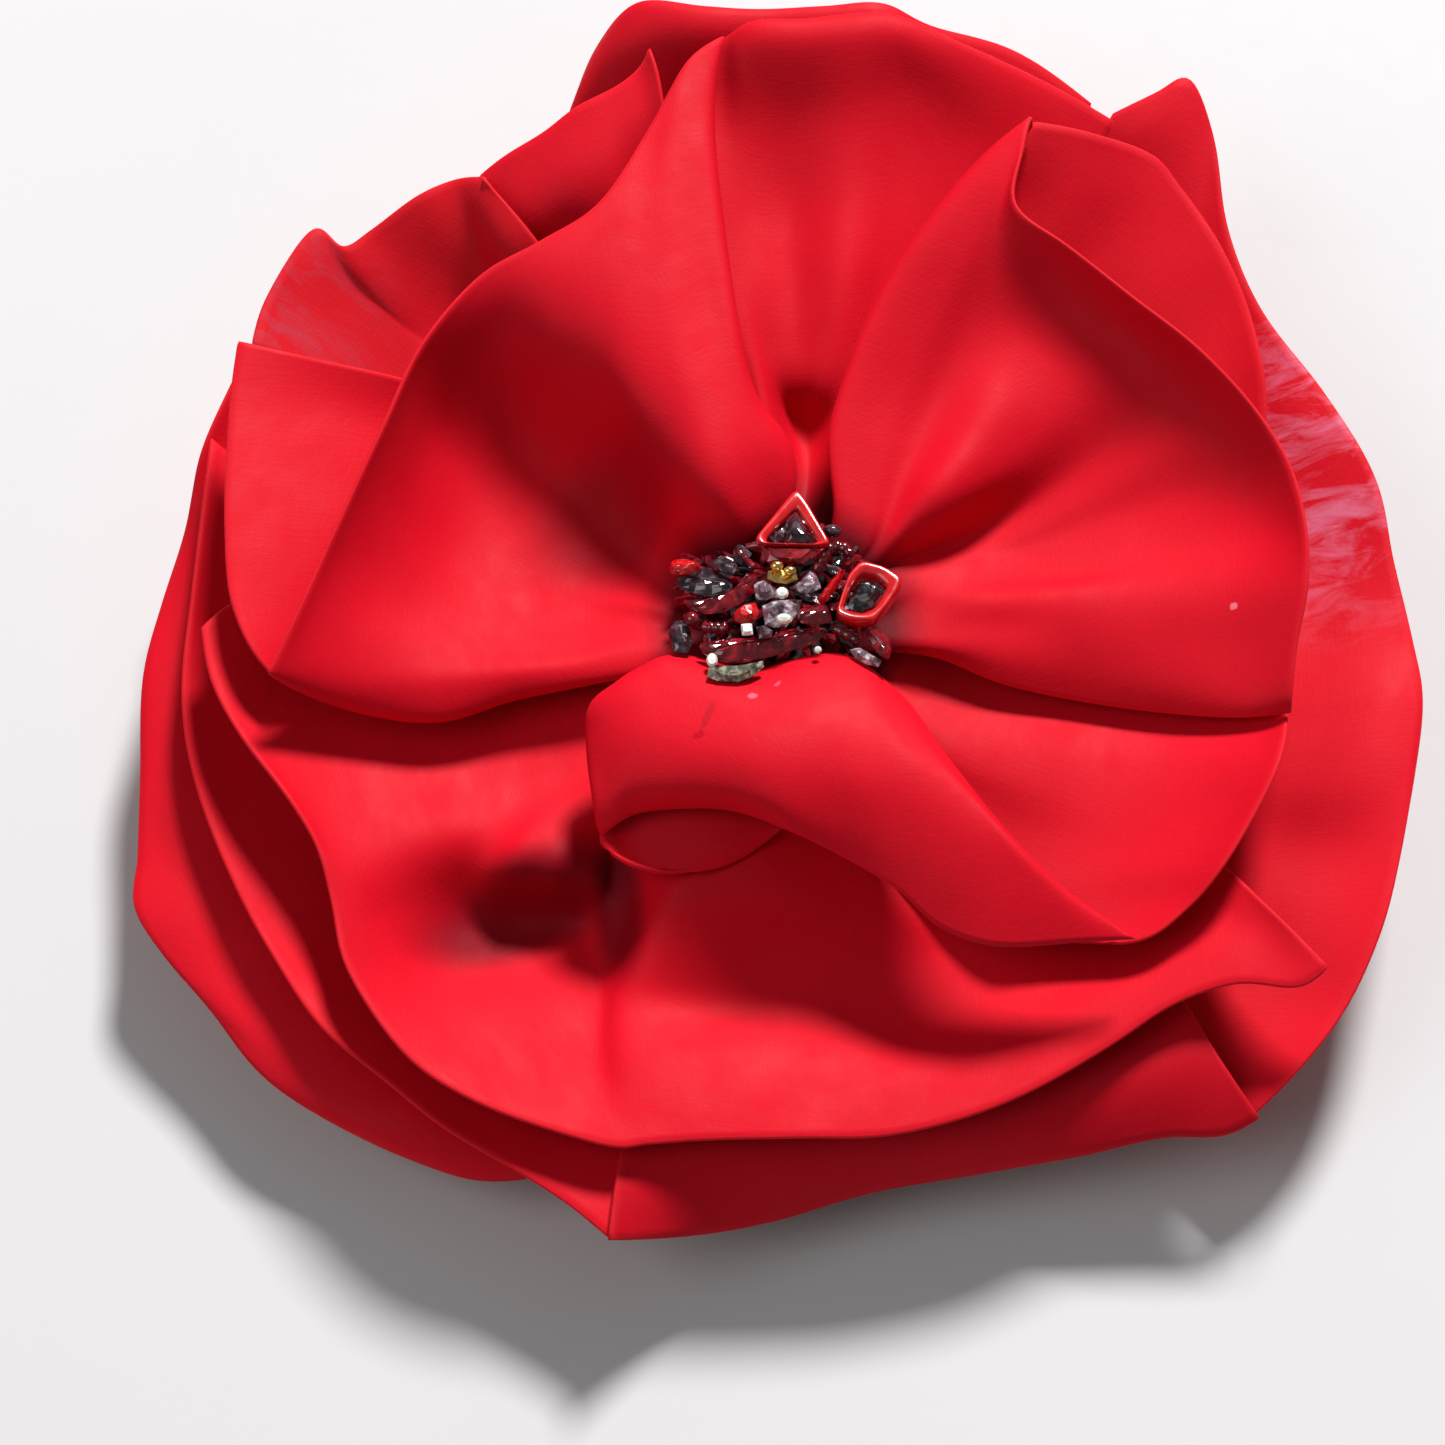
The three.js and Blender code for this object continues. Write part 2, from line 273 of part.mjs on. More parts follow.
    [[0.5, -7.5, 15.2], [3.79, -24.29, 15.4], [6.55, -29.76, 11.9], [8.45, -35.15, 11.2], [9.12, -40.53, 13.2], [9.4, -46.03, 13.8]],
    [[2, -7.3, 14.6], [8.13, -23.72, 14.2], [12.84, -28.81, 11.9], [15.89, -33.41, 11.9], [17.61, -37.96, 13.6], [18.65, -43.31, 14.4]],
    [[3.5, -7, 14.3], [12.54, -22.04, 12.7], [19.74, -27.62, 12.4], [23.58, -31.48, 13], [25.85, -35.21, 14.7], [27.19, -38.56, 15]],
    [[5, -6.3, 14.2], [15.17, -21.08, 12.7], [23.65, -26.25, 12.5], [29.41, -29.31, 14], [31.49, -32.38, 15.6], [32.51, -35.15, 15.8]],
    [[6, -5.5, 14.1], [16.96, -19.15, 12.7], [26.4, -22.81, 12.3], [33.77, -26.1, 14.8], [36.62, -29.99, 16.5], [38.07, -33.57, 16.8]],
    [[7, -4.5, 14.1], [18.77, -17.15, 12.6], [29.12, -20.02, 12.5], [35.95, -23.54, 15.8], [40.2, -28.45, 17.2], [43.15, -34.3, 17.6]],
    [[7.5, -3.5, 13.8], [19.79, -13.92, 12], [30.09, -17.25, 12.8], [36.86, -22.01, 16.2], [40.73, -26.95, 17.8], [45.39, -32.95, 18.5]],
  ],
  petal_back_right_fold: [
    [[5, 6.5, 18.3], [10.55, 18.06, 18.6], [15.2, 29.14, 21.36], [19.85, 38.85, 24.76], [22.01, 43.88, 27.82], [22.85, 46.6, 28.98]],
    [[5.5, 6, 18.2], [12.38, 18.43, 18], [18.4, 28.5, 20.68], [23.93, 37.12, 24.08], [26.69, 42.94, 26.8], [28.08, 45.97, 28.16]],
    [[6, 5.5, 18], [13.3, 18.22, 17.5], [20.69, 27.87, 20], [28.09, 36.73, 23.06], [31.77, 41.69, 25.44], [33.83, 44.75, 26.46]],
    [[6.5, 5, 17.8], [14.22, 17.99, 17], [22.54, 26.9, 19], [29.89, 34.13, 22.04], [34.5, 39.64, 24.42], [36.17, 42.14, 25.44]],
    [[7, 4.4, 17.6], [15.12, 17.12, 16.7], [24.34, 25.19, 18.3], [32.55, 31.31, 21.36], [37.11, 35.39, 23.4], [39.45, 36.88, 24.42]],
    [[7.4, 3.8, 17.4], [16, 15.72, 16.4], [26.14, 23.02, 17.5], [34.28, 27.64, 20.34], [39.67, 30.62, 22.38], [41.68, 31.24, 23.4]],
    [[7.8, 3.1, 17.2], [16.93, 14.74, 15.4], [27.89, 20.25, 16.8], [35.92, 22.81, 19.5], [41.22, 24.29, 21.36], [43.07, 24.16, 22.38]],
    [[8, 2.4, 17], [17.33, 12.76, 15.2], [28.67, 16.31, 16.3], [36.67, 18.12, 18.5], [41.47, 19.09, 20.34], [43.17, 18.87, 21.02]],
  ],
  petal_left_leaf: [
    [[-6, 5, 17], [-16.55, 17.1, 15], [-23.81, 21.19, 17], [-30.04, 23.03, 20], [-34.43, 23.42, 22.04], [-41.47, 24.01, 24.08], [-48.63, 25.04, 25.44]],
    [[-6.5, 4.5, 17], [-16.53, 15.29, 14.5], [-24.7, 18.61, 16], [-31.81, 19.93, 19], [-37.92, 20.34, 21.7], [-44.01, 20.63, 23.74], [-48.96, 20.81, 25.1]],
    [[-7, 4, 16.8], [-17.4, 12.25, 14.3], [-25.53, 14.28, 15.3], [-32.56, 14.56, 18.3], [-38.6, 14.78, 21.36], [-44.18, 14.56, 23.4], [-49.06, 14.23, 24.76]],
    [[-7.3, 3, 16.6], [-17.35, 9.11, 14.3], [-25.43, 9.74, 15], [-32.42, 9.25, 17.6], [-38.37, 8.37, 20.82], [-44.29, 7.55, 23.06], [-48.84, 6.74, 24.42]],
    [[-7.5, 2, 16.4], [-17.3, 6, 14.3], [-25.3, 5.09, 15], [-32.27, 3.94, 17], [-39.04, 2.22, 20], [-43.99, 0.35, 22.38], [-47.95, -0.54, 23.94]],
    [[-7.5, 1, 16.2], [-17.26, 3.43, 14.3], [-25.21, 1.5, 15], [-32.16, -0.35, 16.5], [-38.93, -2.25, 19], [-42.99, -4.06, 21.36], [-46.03, -5, 23.4]],
    [[-7.5, 0.2, 16], [-17.22, 1.27, 14.5], [-25.14, -1.04, 15], [-32.12, -2.79, 15.8], [-38.46, -4.7, 18], [-42.14, -5.9, 20.2], [-44.3, -6.91, 22.4]],
  ],
  petal_upper_left: [
    [[-7.5, 4.5, 15.2], [-20.28, 19.21, 13.3], [-32.26, 25.69, 15], [-41.23, 27.01, 18], [-46.45, 27.2, 20.68], [-47.94, 27.51, 21.36]],
    [[-7.2, 5, 15.2], [-20.3, 20.28, 13.3], [-32.27, 27, 15.5], [-40.43, 30.49, 18.5], [-45.33, 32.63, 21.02], [-46.81, 32.5, 21.7]],
    [[-6.8, 5.4, 15.2], [-19.86, 21.36, 13.3], [-31.39, 28.85, 16], [-38.25, 33.99, 19], [-41.88, 37.35, 21.36], [-43.02, 39.54, 22.04]],
    [[-6.4, 5.8, 15.2], [-19.41, 21.9, 13.3], [-30.5, 29.95, 16], [-36.42, 33.99, 19], [-39.12, 36.48, 21.02], [-40.13, 37.89, 21.7]],
    [[-6, 6.2, 15.2], [-18.5, 22.37, 13.4], [-27.77, 31.04, 16], [-33.7, 35.86, 19.5], [-36.42, 38.46, 21.36], [-37.6, 39.54, 22.04]],
    [[-5.5, 6.5, 15.2], [-17.59, 23.33, 13.6], [-25.92, 32.16, 16.8], [-30.92, 37.74, 20.8], [-32.72, 41.06, 23.2], [-33.36, 42.08, 23.8]],
    [[-5, 6.8, 15.2], [-16.67, 23.62, 14], [-23.57, 32.05, 17.8], [-27.65, 37.6, 21.8], [-29.49, 41.75, 23.8], [-29.97, 43.44, 24.4]],
    [[-4.6, 7, 15.2], [-15.74, 23.84, 14.5], [-21.67, 31.25, 19], [-25.23, 35.8, 23.6], [-27.07, 40.06, 25.4], [-27.58, 42.77, 25.8]],
    [[-4.3, 7.2, 15.2], [-14.82, 24.48, 15.2], [-19.17, 31.95, 20.4], [-21.82, 35.66, 24.6], [-24.29, 38.67, 25.8], [-25.67, 40.26, 26.2], [-27.26, 42.12, 26.4]],
  ],
  petal_back_left_fold: [
    [[-5.5, 6.5, 14.2], [-14.88, 26.65, 13.5], [-20.43, 35.07, 17.4], [-23.79, 38.29, 22.4], [-26.57, 42.65, 24.1], [-27.7, 44.04, 24.2]],
    [[-5, 7, 14.2], [-13.05, 28.51, 14], [-17.64, 36.34, 18.8], [-21.18, 40.07, 24.6], [-23.98, 44.37, 25.6], [-25.1, 45.42, 25.7]],
    [[-4.6, 7.2, 14.2], [-11.66, 29.28, 14.5], [-15.75, 36.49, 21], [-18.6, 41.71, 26.2], [-20.75, 45.93, 27], [-21.69, 47.05, 27]],
    [[-4.2, 7.4, 14.2], [-10.46, 30.05, 15], [-13.63, 37.18, 21.6], [-16.14, 43.36, 27], [-17.74, 48, 28], [-18.75, 48.94, 28.1]],
    [[-3.8, 7.6, 14.2], [-9.35, 30.82, 15.5], [-12.08, 38.98, 22.2], [-13.88, 46.13, 27.8], [-14.63, 49.89, 28.8], [-15, 50.72, 28.9]],
    [[-3.4, 7.8, 14.2], [-8.43, 31.04, 16], [-10.7, 39.48, 22.6], [-12.24, 47.59, 28.4], [-12.71, 51.13, 29.4], [-12.99, 52.23, 29.6]],
    [[-3, 8, 14.2], [-7.51, 30.91, 16.2], [-9.33, 39.34, 22.8], [-10.68, 47.29, 28.8], [-11.42, 51.51, 30.4], [-12.07, 53.47, 30.8]],
  ],
  petal_rear_outer: [
    [[-4.5, 8.5, 13.2], [-14.9, 25.42, 12], [-19.68, 39.27, 14.5], [-21.03, 48.94, 18.5], [-19.9, 53.23, 20.8], [-19.36, 54.47, 21]],
    [[-4, 8.8, 13.2], [-12.14, 27.42, 12.3], [-15.95, 41.96, 15.5], [-17.83, 52.07, 20.5], [-17.6, 55.79, 24], [-16.87, 58.5, 25]],
    [[-3.2, 9, 13.2], [-9.37, 28.32, 12.6], [-11.73, 43.18, 17], [-13.11, 53.29, 23.5], [-13.63, 57.16, 27.5], [-13.37, 60.47, 28.6]],
    [[-2.2, 9.2, 13.2], [-5.67, 29.16, 13], [-6.6, 43.61, 18], [-7.52, 53.61, 24.6], [-7.51, 56.46, 28.4], [-7.42, 58.06, 29.6], [-7.33, 59.49, 29.4]],
    [[-1, 9.4, 13.2], [-1.5, 30, 13.4], [-1.48, 44.39, 18.5], [-1.48, 53.76, 24.4], [-1.78, 56.5, 27.6], [-1.78, 58.07, 29], [-1.78, 59.46, 29]],
    [[0.5, 9.4, 13.2], [3.13, 30, 13.4], [4.11, 44.39, 18.5], [4.37, 53.76, 24.4], [4.14, 56.69, 27.8], [4.04, 58.38, 29.2], [4.05, 59.65, 29.2]],
    [[2, 9.2, 13.2], [7.28, 29.03, 13.2], [9.72, 43.89, 17.6], [10.15, 54.06, 24], [9.88, 56.92, 27.8], [9.69, 58.76, 29], [9.62, 60.04, 29]],
    [[3, 9, 13.2], [10.06, 28.19, 12.8], [13.9, 42.05, 17], [14.85, 52.11, 22], [14.41, 56.31, 25.6], [14.13, 58.08, 26.6], [14.05, 59.09, 26.8]],
    [[3.8, 8.8, 13.2], [11.44, 27.29, 12.5], [17.19, 40.63, 15.8], [20.5, 50.14, 20], [21.35, 55.54, 22.8], [21.64, 57.68, 23.8], [21.66, 58.57, 24]],
    [[4.5, 8.5, 13.2], [12.82, 26.39, 12.2], [20.46, 39.07, 14.8], [26.23, 48.51, 17.5], [28.38, 52.58, 19.8], [29.08, 55, 20.6]],
  ],
  petal_right_outer: [
    [[4, 9, 12.2], [11.01, 26.05, 11], [18.75, 40.43, 12.8], [26.34, 49.23, 16.5], [30.34, 52.94, 19], [31.4, 54.58, 19.6]],
    [[5, 8.5, 12.2], [13.76, 24.96, 11], [22.46, 38.38, 12.5], [30.99, 48.08, 16.5], [34.25, 53.04, 19.5], [35.55, 56.41, 20.41]],
    [[5.8, 8, 12.2], [15.58, 23.87, 11], [25.18, 36.14, 12.5], [33.76, 46.15, 16], [37.33, 52.81, 19.5], [38.49, 57.57, 20.88]],
    [[6.5, 7.2, 12.2], [16.49, 22.91, 10.8], [26.97, 33.12, 12], [35.51, 41.32, 14.8], [38.87, 47.51, 17.3], [40.57, 52.6, 19]],
    [[7.2, 6.4, 12.2], [17.83, 21.29, 10.8], [28.71, 29.93, 11.8], [37.21, 37.16, 14.3], [40.31, 41.41, 16.3], [41.52, 43.2, 17.3]],
    [[7.8, 5.5, 12.1], [18.68, 18.72, 10.6], [30.4, 25.74, 11.5], [39.67, 30.71, 14], [42.83, 33.25, 16], [44.19, 34.37, 16.8]],
    [[8.3, 4.5, 12], [19.95, 15.51, 10.6], [32.02, 20.44, 11.3], [42.08, 24.28, 13.8], [46.48, 25.18, 15.8], [49.34, 25.59, 16.5]],
    [[8.7, 3.3, 12], [20.74, 11.34, 10.5], [33.58, 14.21, 11], [43.53, 16.73, 13], [49.67, 17.1, 15], [53.49, 16.7, 16]],
    [[9, 2, 12], [21.52, 7.26, 10.3], [35.12, 8.13, 10.6], [45.82, 9.12, 12.5], [51.03, 9.08, 14], [54.64, 8.7, 15]],
    [[9, 0.8, 12], [21.34, 2.13, 10.2], [35.69, 1.91, 10.6], [46.2, 1.37, 12.5], [52.23, 1.04, 14], [55.78, 0.76, 14.5]],
    [[8.8, -0.5, 12], [22.06, -2.98, 10.2], [36.26, -4.21, 10.6], [46.55, -5.69, 13], [52.46, -6.5, 14.5], [56.17, -5.3, 14.5]],
    [[8.5, -1.8, 12], [21.88, -8.02, 10.2], [35.9, -10.73, 10.6], [46.05, -12.95, 13], [51.56, -13.46, 14], [54.96, -12.48, 14]],
    [[8.2, -2.8, 11.8], [21.77, -11.81, 9.8], [34.77, -16.01, 10.3], [44.15, -18.07, 11.5], [49.61, -19.05, 12.5], [53.22, -20.02, 13.5]],
    [[7.9, -3.6, 11.5], [20.8, -15.46, 9.2], [32.88, -20.4, 9.3], [42.1, -23.63, 11], [47.91, -25.54, 12], [51.11, -26.96, 13]],
    [[7.6, -4.4, 11.2], [19.85, -18.21, 8.8], [30.99, -24.08, 8.9], [39.29, -28.51, 10.2], [45.02, -31.7, 11], [48.02, -33.37, 12]],
    [[7.2, -5.2, 11], [18.03, -20.94, 8.4], [28.24, -27.73, 8.5], [35.61, -33.47, 9.7], [40.95, -36.86, 10], [43.95, -38.68, 11]],
    [[6.8, -6, 10.8], [16.21, -23.7, 8.1], [25.54, -30.44, 8.2], [32.14, -36.26, 8.6], [36.99, -40.6, 9], [39.35, -42.91, 9.5]],
  ],
  petal_lower_left: [
    [[-9, 2.5, 12.9], [-27.64, 18.94, 12], [-40.45, 19.64, 12.6], [-49.32, 19.23, 15], [-51.73, 20.25, 16.8]],
    [[-9, 1, 12.9], [-28.32, 10.58, 11.8], [-40.97, 9.53, 11.8], [-50.05, 7.44, 14.5], [-52.57, 4.91, 16.2]],
    [[-9, 0, 12.9], [-28.09, 2.38, 11.6], [-40.55, -0.52, 11.3], [-49.91, -3.91, 13.8], [-52.93, -5.23, 15.3]],
    [[-8.5, -1.5, 12.8], [-27.87, -5.64, 11.4], [-39.23, -10.44, 11], [-47.72, -13.34, 12.8], [-51.28, -13.67, 14.4]],
    [[-8, -3, 12.7], [-26.82, -13.1, 10.4], [-36.26, -19.86, 10.2], [-43.77, -22.81, 12.3], [-47.81, -22.24, 13.7]],
    [[-7, -4.5, 12.6], [-25.06, -17.77, 7.9], [-32.62, -26.82, 8.6], [-39.21, -29.91, 11.2], [-44.04, -29.13, 13.2]],
    [[-6.5, -5.5, 12.5], [-23.24, -21.34, 7.2], [-28.98, -32.33, 8.2], [-35.06, -36.12, 11.5], [-39.65, -35.76, 12.8]],
    [[-6, -6, 12.4], [-20.55, -24.2, 7.1], [-24.54, -36.26, 8.6], [-29.37, -41.06, 11.2], [-33.95, -40.69, 12.5]],
    [[-5, -6.5, 12.3], [-18.29, -27.31, 7.6], [-21.03, -39.21, 9], [-25.06, -44.54, 10.8], [-28.35, -45.21, 12]],
    [[-4.5, -7, 12.2], [-16.08, -28.45, 8], [-17.59, -40.22, 9.2], [-20.38, -46.35, 10.8], [-22.4, -48.65, 11.6]],
    [[-4, -7.5, 12.1], [-13.9, -29.4, 8], [-15.02, -40.35, 9.5], [-16.58, -47.25, 10.8], [-18.34, -51.29, 11.3]],
    [[-3.5, -8, 12], [-11.72, -30.44, 8.2], [-12.63, -40.39, 9.6], [-13.56, -46.35, 10.8], [-14.63, -54.37, 11]],
  ],
  petal_front_outer: [
    [[-3, -8, 12.8], [-10.13, -32.1, 9.8], [-11.41, -40.98, 11], [-12.69, -46.79, 11.9], [-14.53, -54.72, 11.7]],
    [[-2, -8.3, 12.6], [-6.94, -32.01, 9.6], [-6.92, -40.89, 10.8], [-7.41, -46.55, 11.3], [-7.83, -49.65, 9.6], [-8.17, -52.56, 7.4]],
    [[-0.5, -8.6, 12.4], [-2.2, -31.88, 9.3], [-1.4, -40.72, 10.4], [-1.1, -45.98, 11], [-1.01, -48.52, 9], [-0.99, -50.76, 6.2]],
    [[1, -8.6, 12.4], [3.84, -31.84, 9.2], [5.42, -39.72, 10.2], [6.34, -44.54, 10.8], [6.87, -46.71, 9], [7.09, -48.48, 6.6]],
    [[2.5, -8.4, 12.4], [9.9, -30.89, 9.2], [13.1, -38.8, 10.2], [14.64, -43.49, 10.9], [15.52, -45.52, 9.2], [16.03, -46.97, 6.9]],
    [[4, -8.6, 12], [15.09, -29.27, 9.8], [20, -36.11, 10.4], [22.55, -41.14, 11.4], [23.83, -43.76, 10], [24.49, -45.77, 8]],
    [[5.3, -7.9, 12], [19.49, -26.56, 10.1], [26.09, -33.4, 10.6], [29.94, -39.19, 12.2], [32.08, -44.43, 9.2]],
    [[6.3, -7.1, 12], [22.14, -24.74, 10.3], [29.6, -30.81, 11.1], [33.81, -37.52, 12.6], [37.15, -44.33, 9.4]],
    [[7, -6.4, 12], [23.94, -22.86, 10.4], [30.55, -28.54, 11.3], [33.78, -33.49, 12.5], [36.5, -38.5, 12.3], [39.93, -43.2, 10.2]],
  ],
  petal_left_outer: [
    [[-9, 4, 11.6], [-25.92, 20.75, 10.8], [-37.05, 23.75, 11.2], [-45.3, 25.88, 13], [-48.86, 27.32, 15], [-49.98, 27.22, 16.5]],
    [[-9.3, 3, 11.6], [-26.76, 17.65, 10.6], [-37.84, 19.67, 10.8], [-46.92, 20.36, 12.3], [-51.78, 20.8, 14.2], [-52.67, 20.51, 15]],
    [[-9.5, 2, 11.6], [-27.56, 13.39, 10.6], [-38.56, 14.51, 10.5], [-48, 13.39, 11.5], [-52.54, 13.74, 11.8], [-54.29, 14.41, 11.2]],
    [[-9.6, 1, 11.6], [-27.42, 8.19, 10.5], [-39.21, 7.43, 10], [-49.05, 6.86, 11], [-54.39, 6.17, 11.3], [-56.04, 6.57, 10.6]],
    [[-9.6, 0, 11.6], [-28.18, 3.05, 10.4], [-39.82, 0.3, 9.8], [-49.1, -1.11, 10.5], [-55.29, -1.38, 11], [-57.27, -1.05, 10.4]],
    [[-9.4, -1, 11.6], [-28.04, -1.96, 10.2], [-39.52, -6.7, 9.6], [-49.14, -8.97, 10.1], [-54.81, -10.07, 10.3], [-56.95, -9.91, 9.6]],
    [[-9.1, -2, 11.6], [-27.91, -6.91, 10], [-38.34, -13.59, 9.4], [-47.87, -16.64, 9.6], [-53.96, -17.62, 9.6], [-56.75, -17.67, 9.1]],
    [[-8.7, -3, 11.6], [-26.97, -11.2, 8.6], [-36.45, -18.89, 8.2], [-45.81, -22.82, 9.3], [-52.73, -23.79, 9.3], [-56.68, -22.92, 8.9]],
    [[-8.2, -4, 11.6], [-26.08, -14.32, 6.9], [-34.62, -23.14, 6.9], [-42.97, -27.91, 8.9], [-49.44, -28.82, 8.8], [-53.92, -27.2, 8.4]],
    [[-7.6, -5, 11.2], [-25.12, -18.02, 6.4], [-31.83, -27.86, 6.7], [-39.25, -33.54, 8.8], [-45.23, -34.86, 8.6], [-49.59, -32.2, 7.9]],
    [[-7, -5.8, 10.9], [-23.31, -20.77, 6], [-29.08, -31.76, 6.9], [-35.21, -38.08, 8.5], [-40.75, -39.34, 8.2], [-45, -37.93, 7.5]],
    [[-6.3, -6.5, 11], [-21.47, -23.78, 6.2], [-25.52, -35.44, 6.7], [-30.8, -41.77, 8.5], [-35.05, -42.94, 8], [-39, -42.11, 7.1]],
    [[-5.6, -7.2, 10.9], [-19.67, -26.54, 5.9], [-22.88, -37.31, 6.7], [-26.93, -43.44, 8.1], [-30.31, -45.48, 7.5], [-32.51, -45.12, 6.6]],
    [[-5, -7.8, 10.8], [-17.89, -28.36, 5.7], [-20.21, -39.63, 7.8], [-23.5, -44.35, 8.1], [-25.61, -46.76, 7.3], [-26.75, -47.13, 6.4]],
    [[-4.5, -8.3, 10.8], [-16.09, -29.81, 6.8], [-17.62, -40.64, 8], [-20.1, -44.39, 8.2], [-21.37, -46.27, 7.2], [-22.26, -46.92, 6.1]],
  ],
};
for (const [name, ribs] of Object.entries(PETALS))
  add(name, petal(ribs, PETAL_U, ribs.length + PETAL_V_EXTRA, CLOTH), RED_CLOTH);

